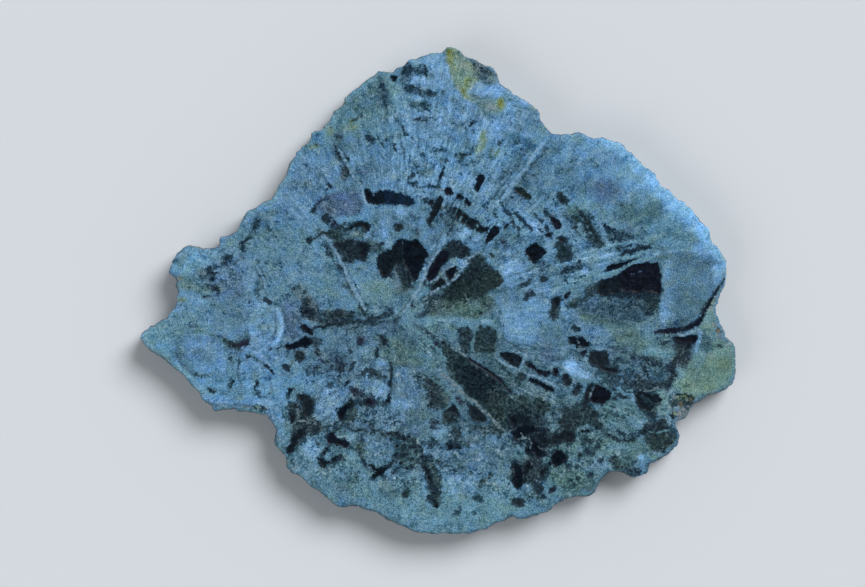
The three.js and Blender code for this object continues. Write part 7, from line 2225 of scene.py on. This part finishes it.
def shape():
    """Points, quads of the rim, triangles of the face and of the back."""
    ring, spacing = evenly(np.array(OUTLINE, float), RING)
    out = outward(ring, 5)
    ring = ring + out * (0.30 * noise(ring / 1.5, 11) + 0.18 * noise(ring / 0.8, 12) - 0.05)[:, None]
    drop = rind_drop(ring)
    rows = []
    for z, draw_in in WALL:
        at = np.c_[ring, np.full(RING, z)]
        lump = 0.55 * np.abs(noise(at / (7, 7, 6), 21)) + 0.34 * np.abs(noise(at / (2.6, 2.6, 7), 22)) + 0.22 * noise(at / (1.2, 1.2, 2.2), 23)
        near_mid = 0.18 + 0.82 * min(1.0, abs(z - 7.6) / 4.0)
        at_edge = 1 - 0.55 * max(0.0, (z - 13.4) / 1.6)
        inset = draw_in + np.maximum(lump, -0.1) * 1.5 * near_mid * at_edge
        xy = ring - out * inset[:, None]
        if z in (0.0, THICK) or draw_in > 0.5:
            xy = untangled(xy)
        rows.append(np.c_[xy, z * (THICK - drop) / THICK])
    top, low = rows[-1][:, :2], rows[0][:, :2]

    box = (top[:, 0].min(), top[:, 1].min(), top[:, 0].max(), top[:, 1].max())
    coarse = hexagonal(box, FACE_STEP * UNIT)
    fine = hexagonal(box, FINE_STEP * UNIT)
    busy_coarse, busy_fine = busy(to_drawing(coarse)), busy(to_drawing(fine))
    points = np.vstack([coarse[~busy_coarse], fine[busy_fine]])
    points += np.c_[noise(points * 3.1, 31), noise(points * 3.1, 32)] * 0.22 * UNIT
    points = points[within(points, top, 0.42)]
    face = fill(top, points)
    points = np.c_[points, THICK - rind_drop(points)]

    under = hexagonal((low[:, 0].min(), low[:, 1].min(), low[:, 0].max(), low[:, 1].max()), BACK_STEP * UNIT)
    under = under[within(under, low, 1.2)]
    back = fill(low, under)[:, ::-1]
    under = np.c_[under, np.zeros(len(under))]

    count = len(WALL) * RING
    face = np.where(face < RING, face + (len(WALL) - 1) * RING, face - RING + count)
    back = np.where(back < RING, back, back - RING + count + len(points))
    quads = []
    for r in range(len(WALL) - 1):
        k = np.arange(RING)
        n = (k + 1) % RING
        quads.append(np.c_[r * RING + k, r * RING + n, (r + 1) * RING + n, (r + 1) * RING + k])
    return np.vstack(rows + [points, under]), np.vstack(quads), face, back, len(points)


def busy(q):
    """Where the face's points need to be close together."""
    flag = np.zeros(len(q), bool)
    for kind, _, path, rag, _ in CELLS + VEINS:
        outline, widths = path if kind != "cell" else (path, np.zeros(1))
        idx = _near(q, _box(outline, widths.max() / 2), 1.6)
        if not len(idx):
            continue
        d = inside_of(q[idx], outline) if kind == "cell" else inside_stroke(q[idx], outline, widths)
        flag[idx[(d > -1.5) & (d < 1.3)]] = True
    for kind, _, path, soft, op, rag in WASH:
        if kind != "streak" or path[1].max() > 4.2 or op < 0.5:
            continue
        idx = _near(q, _box(path[0], path[1].max() / 2), 0.8)
        if len(idx):
            flag[idx[inside_stroke(q[idx], *path) > -0.7]] = True
    return flag

# ---------------------------------------------------------------- the piece

def rind_at(xyz):
    """The weathered outside of the log, in display values from 0 to 1."""
    p = xyz / (26.0, 26.0, 40.0)
    a, b, c = fbm(p, 3, 51), fbm(p * 2.3 + 9, 3, 52), fbm(xyz / (5.0, 5.0, 9.0), 3, 53)
    colour = np.tile(np.array((92.0, 104, 106)), (len(xyz), 1))
    for ink, m in (
        ((112, 116, 100), smooth(-0.05, 0.35, a)),
        ((74, 88, 100), smooth(0.0, 0.35, -a)),
        ((128, 112, 84), 0.8 * smooth(0.08, 0.35, b)),
        ((66, 70, 72), 0.7 * smooth(0.05, 0.35, c)),
        ((124, 138, 138), 0.5 * smooth(0.1, 0.4, -c)),
    ):
        colour = colour * (1 - m[:, None]) + np.array(ink, float) * m[:, None]
    return colour / 255


verts, quads, face, back, face_count = shape()
flat = verts[:, :2]
q = to_drawing(flat)
warp = warp_at(q)
wash = wash_at(q, warp)
stain = stain_at(q, warp)
cell, cell_tint, cell_depth = marks_at(q, warp, CELLS)
vein, vein_tint, vein_rise = marks_at(q, warp, VEINS)
grain = grain_at(q)
zone = zone_at(q)

# the rim's own colour takes over a little below the face and above the back
height = verts[:, 2]
ceiling = THICK - rind_drop(flat)
wall = np.zeros(len(verts))
rim_points = len(WALL) * RING
down = (ceiling - height)[:rim_points]
patchy = 0.5 + 0.9 * noise(verts[:rim_points] / 5.0, 61)
wall[:rim_points] = smooth(0.15, 1.2 + 0.8 * patchy.clip(0, 1), down) * smooth(-0.2, 0.5, height[:rim_points])
rind = rind_at(verts)
keep_face = 0.30
rind = rind * (1 - keep_face) + wash * keep_face
paint = wash * (1 - wall[:, None]) + rind * wall[:, None]
cell = cell * (1 - wall) - 4.0 * wall
vein = vein * (1 - wall) - 4.0 * wall
zone[:, 1] = wall
stain[:, 3] = stain[:, 3] * (1 - wall) + 0.25 * wall
grain *= (1 - wall)[:, None]

# the face's relief: everything lies at or below the saw's plane
is_face = np.zeros(len(verts), bool)
is_face[rim_points : rim_points + face_count] = True
f = q[is_face]
sunk = 0.05 + 0.05 * fbm(f / 60, 3, 71) + 0.035 * fbm(f / 9, 3, 72)
sunk += cell_depth[is_face] * smooth(-0.7, 1.7, cell[is_face]) * (0.85 + 0.5 * noise(f / 5, 73))
sunk -= vein_rise[is_face] * smooth(-0.8, 0.8, vein[is_face])
rough_zone = smooth(-0.2, 0.5, noise(f / 11, 74)) * zone[is_face, 0]
sunk += 0.16 * rough_zone * smooth(0.0, 0.5, noise(f / 5.5, 75))
verts[is_face, 2] -= np.maximum(sunk, 0.0)

mesh = bpy.data.meshes.new("slice")
mesh.from_pydata((verts / 1000).tolist(), [], quads.tolist() + face.tolist() + back.tolist())
mesh.validate()
for name, kind, values in (
    ("paint", "FLOAT_COLOR", np.c_[paint, np.ones(len(verts))]),
    ("stain", "FLOAT_COLOR", stain),
    ("cell_tint", "FLOAT_COLOR", np.c_[cell_tint, np.ones(len(verts))]),
    ("vein_tint", "FLOAT_COLOR", np.c_[vein_tint, np.ones(len(verts))]),
    ("cell", "FLOAT", cell),
    ("vein", "FLOAT", vein),
    ("grain", "FLOAT_VECTOR", grain),
    ("zone", "FLOAT_VECTOR", zone),
):
    layer = mesh.attributes.new(name, kind, "POINT")
    field = {"FLOAT_COLOR": "color", "FLOAT": "value", "FLOAT_VECTOR": "vector"}[kind]
    layer.data.foreach_set(field, np.ascontiguousarray(values, np.float32).ravel())
mesh.shade_smooth()
mesh.set_sharp_from_angle(angle=math.radians(58))
piece = bpy.data.objects.new("stone_slice", mesh)
bpy.context.scene.collection.objects.link(piece)


# ---------------------------------------------------------------- its material

class Number:
    """One value in the node tree, with arithmetic."""

    def __init__(self, kit, socket):
        self.kit, self.socket = kit, socket

    def __add__(self, other):
        return self.kit.math("ADD", self, other)

    def __radd__(self, other):
        return self.kit.math("ADD", other, self)

    def __sub__(self, other):
        return self.kit.math("SUBTRACT", self, other)

    def __rsub__(self, other):
        return self.kit.math("SUBTRACT", other, self)

    def __mul__(self, other):
        return self.kit.math("MULTIPLY", self, other)

    def __rmul__(self, other):
        return self.kit.math("MULTIPLY", other, self)


class Kit:
    """The recipe's operations, as shader nodes."""

    def __init__(self, tree):
        self.tree = tree

    def node(self, kind, **settings):
        made = self.tree.nodes.new(kind)
        for name, value in settings.items():
            setattr(made, name, value)
        return made

    def feed(self, socket, value):
        if isinstance(value, Number):
            value = value.socket
        if isinstance(value, bpy.types.NodeSocket):
            self.tree.links.new(value, socket)
        else:
            socket.default_value = value

    def math(self, op, a, b=0.0):
        made = self.node("ShaderNodeMath", operation=op)
        self.feed(made.inputs[0], a)
        self.feed(made.inputs[1], b)
        return Number(self, made.outputs[0])

    def vmath(self, op, a, b=None, c=None):
        made = self.node("ShaderNodeVectorMath", operation=op)
        for socket, value in zip(made.inputs, (a, b, c)):
            if value is not None:
                self.feed(socket, value)
        return made

    def place(self):
        at = self.node("ShaderNodeTexCoord").outputs["Object"]
        s = 1000 / UNIT * LIFT
        shift = VIEW_CENTRE + (np.array(CENTRE) - VIEW_CENTRE) * LIFT
        return self.vmath("MULTIPLY_ADD", at, (s, -s, s), (*shift, 0)).outputs[0]

    def polar(self, q, centre):
        away = self.vmath("SUBTRACT", q, (*centre, 0)).outputs[0]
        away = self.vmath("MULTIPLY", away, (1, 1, 0)).outputs[0]
        return self.vmath("NORMALIZE", away).outputs[0], Number(self, self.vmath("LENGTH", away).outputs["Value"])

    def spin(self, u, turns, r, per):
        out = self.node("ShaderNodeCombineXYZ")
        self.feed(out.inputs[2], r * per)
        return self.vmath("MULTIPLY_ADD", u, (turns, turns, 0), out.outputs[0]).outputs[0]

    def attribute(self, name):
        return self.node("ShaderNodeAttribute", attribute_name=name)

    def colour(self, name):
        return self.attribute(name).outputs["Color"]

    def alpha(self, name):
        return Number(self, self.attribute(name).outputs["Alpha"])

    def number(self, name):
        return Number(self, self.attribute(name).outputs["Fac"])

    def parts(self, name):
        made = self.node("ShaderNodeSeparateXYZ")
        self.feed(made.inputs[0], self.attribute(name).outputs["Vector"])
        return [Number(self, s) for s in made.outputs]

    def scale(self, v, s):
        made = self.vmath("SCALE", v)
        self.feed(made.inputs["Scale"], s)
        return made.outputs[0]

    def stretch(self, v, x, y, z):
        return self.vmath("MULTIPLY", v, (x, y, z)).outputs[0]

    def noise(self, v, seed, detail=0, rough=0.5):
        made = self.node("ShaderNodeTexNoise", noise_dimensions="3D")
        shift = seed * 7.13
        self.feed(made.inputs["Vector"], self.vmath("ADD", v, (shift, shift, shift)).outputs[0])
        for name, value in (("Scale", 1.0), ("Detail", detail), ("Roughness", rough), ("Lacunarity", 2.0), ("Distortion", 0.0)):
            made.inputs[name].default_value = value
        fac = next(s for s in made.outputs if s.name in ("Fac", "Factor"))
        out = self.node("ShaderNodeMath", operation="MULTIPLY_ADD")
        self.feed(out.inputs[0], fac)
        out.inputs[1].default_value = 2.0
        out.inputs[2].default_value = -1.0
        return Number(self, out.outputs[0])

    def smooth(self, lo, hi, x):
        made = self.node("ShaderNodeMapRange", interpolation_type="SMOOTHSTEP", clamp=True)
        self.feed(made.inputs["Value"], x)
        made.inputs["From Min"].default_value = lo
        made.inputs["From Max"].default_value = hi
        return Number(self, made.outputs[0])

    def abs(self, x):
        return self.math("ABSOLUTE", x)

    def paint(self, name):
        return (*[v / 255 for v in INKS[name]], 1.0)

    def mix(self, a, b, f):
        made = self.node("ShaderNodeMix", data_type="RGBA", blend_type="MIX", clamp_factor=True)
        self.feed(made.inputs[0], f)
        self.feed(made.inputs[6], a)
        self.feed(made.inputs[7], b)
        return made.outputs[2]

    def multiply(self, a, b):
        return self.vmath("MULTIPLY", a, b).outputs[0]

    def add(self, a, b):
        return self.vmath("ADD", a, b).outputs[0]

    def vector(self, x, y, z):
        made = self.node("ShaderNodeCombineXYZ")
        for socket, value in zip(made.inputs, (x, y, z)):
            self.feed(socket, value)
        return made.outputs[0]

    def grey(self, x):
        return self.vector(x, x, x)

    def light(self, colour):
        return Number(self, self.vmath("DOT_PRODUCT", colour, (0.3, 0.59, 0.11)).outputs["Value"])


def stone():
    material = bpy.data.materials.new("agatised_wood")
    material.use_nodes = True
    tree = material.node_tree
    tree.nodes.clear()
    kit = Kit(tree)
    colour, relief, rough = recipe(kit)
    # display values to linear ones
    up = kit.vmath("MULTIPLY_ADD", colour, (1 / 1.055,) * 3, (0.055 / 1.055,) * 3).outputs[0]
    up = kit.vmath("MAXIMUM", up, (0.0, 0.0, 0.0)).outputs[0]
    linear = kit.node("ShaderNodeGamma")
    linear.inputs["Gamma"].default_value = 2.4
    kit.feed(linear.inputs["Color"], up)
    bump = kit.node("ShaderNodeBump")
    bump.inputs["Strength"].default_value = 1.0
    bump.inputs["Distance"].default_value = 0.00005
    kit.feed(bump.inputs["Height"], relief)
    shader = kit.node("ShaderNodeBsdfPrincipled")
    kit.feed(shader.inputs["Base Color"], linear.outputs[0])
    kit.feed(shader.inputs["Roughness"], rough)
    kit.feed(shader.inputs["Normal"], bump.outputs[0])
    shader.inputs["Specular IOR Level"].default_value = 0.15
    shader.inputs["IOR"].default_value = 1.45
    out = kit.node("ShaderNodeOutputMaterial")
    kit.feed(out.inputs["Surface"], shader.outputs[0])
    return material


mesh.materials.append(stone())
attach(piece, "root")
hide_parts("petrified_wood_slice")

# ---------------------------------------------------------------- floor, light and camera

def plain(name, colour, roughness):
    material = bpy.data.materials.new(name)
    material.use_nodes = True
    shader = material.node_tree.nodes["Principled BSDF"]
    shader.inputs["Base Color"].default_value = (*colour, 1)
    shader.inputs["Roughness"].default_value = roughness
    shader.inputs["Specular IOR Level"].default_value = 0.1
    return material


ground = bpy.data.meshes.new("floor")
ground.from_pydata([(-15, -15, -0.0001), (15, -15, -0.0001), (15, 15, -0.0001), (-15, 15, -0.0001)], [], [(0, 1, 2, 3)])
ground.materials.append(plain("pale_floor", (0.665, 0.70, 0.74), 0.9))
floor = bpy.data.objects.new("floor", ground)
bpy.context.scene.collection.objects.link(floor)


def lamp(name, strength, spread, azimuth, elevation):
    """A wide soft light, even over the whole floor."""
    light = bpy.data.lights.new(name, "SUN")
    light.energy = strength
    light.angle = math.radians(spread)
    at = 1.5 * Vector((
        math.cos(math.radians(elevation)) * math.cos(math.radians(azimuth)),
        math.cos(math.radians(elevation)) * math.sin(math.radians(azimuth)),
        math.sin(math.radians(elevation)),
    ))
    obj = bpy.data.objects.new(name, light)
    obj.location = at
    obj.rotation_euler = (-at).to_track_quat("-Z", "Y").to_euler()
    bpy.context.scene.collection.objects.link(obj)
    return obj


lamp("key", 2.70, 35, 48, 46)
lamp("fill", 0.60, 42, 215, 40)

# a soft surround: pale round the horizon, dimmer overhead
world = bpy.data.worlds.new("surround")
bpy.context.scene.world = world
world.use_nodes = True
sky = world.node_tree
sky.nodes.clear()
where = sky.nodes.new("ShaderNodeTexCoord")
split = sky.nodes.new("ShaderNodeSeparateXYZ")
sky.links.new(where.outputs["Generated"], split.inputs[0])
height_of = sky.nodes.new("ShaderNodeMapRange")
height_of.interpolation_type = "SMOOTHSTEP"
height_of.inputs["From Min"].default_value = 0.05
height_of.inputs["From Max"].default_value = 0.85
height_of.inputs["To Min"].default_value = 0.75
height_of.inputs["To Max"].default_value = 0.11
sky.links.new(split.outputs[2], height_of.inputs["Value"])
backdrop = sky.nodes.new("ShaderNodeBackground")
backdrop.inputs["Color"].default_value = (0.955, 0.975, 1.0, 1)
sky.links.new(height_of.outputs[0], backdrop.inputs["Strength"])
end = sky.nodes.new("ShaderNodeOutputWorld")
sky.links.new(backdrop.outputs[0], end.inputs["Surface"])

LENS, SENSOR, FRAME_WIDE = 150.0, 36.0, 865 * UNIT / 1000
camera = bpy.data.cameras.new("camera")
camera.lens, camera.sensor_width, camera.sensor_fit = LENS, SENSOR, "HORIZONTAL"
camera.clip_start, camera.clip_end = 0.05, 50
eye = bpy.data.objects.new("camera", camera)
eye.location = (
    (VIEW_CENTRE[0] - CENTRE[0]) * UNIT / 1000,
    (CENTRE[1] - VIEW_CENTRE[1]) * UNIT / 1000,
    0.0076 + FRAME_WIDE * LENS / SENSOR,
)
bpy.context.scene.collection.objects.link(eye)
bpy.context.scene.camera = eye

look = bpy.context.scene.view_settings
look.view_transform, look.look, look.exposure, look.gamma = "Standard", "None", 0.0, 1.0
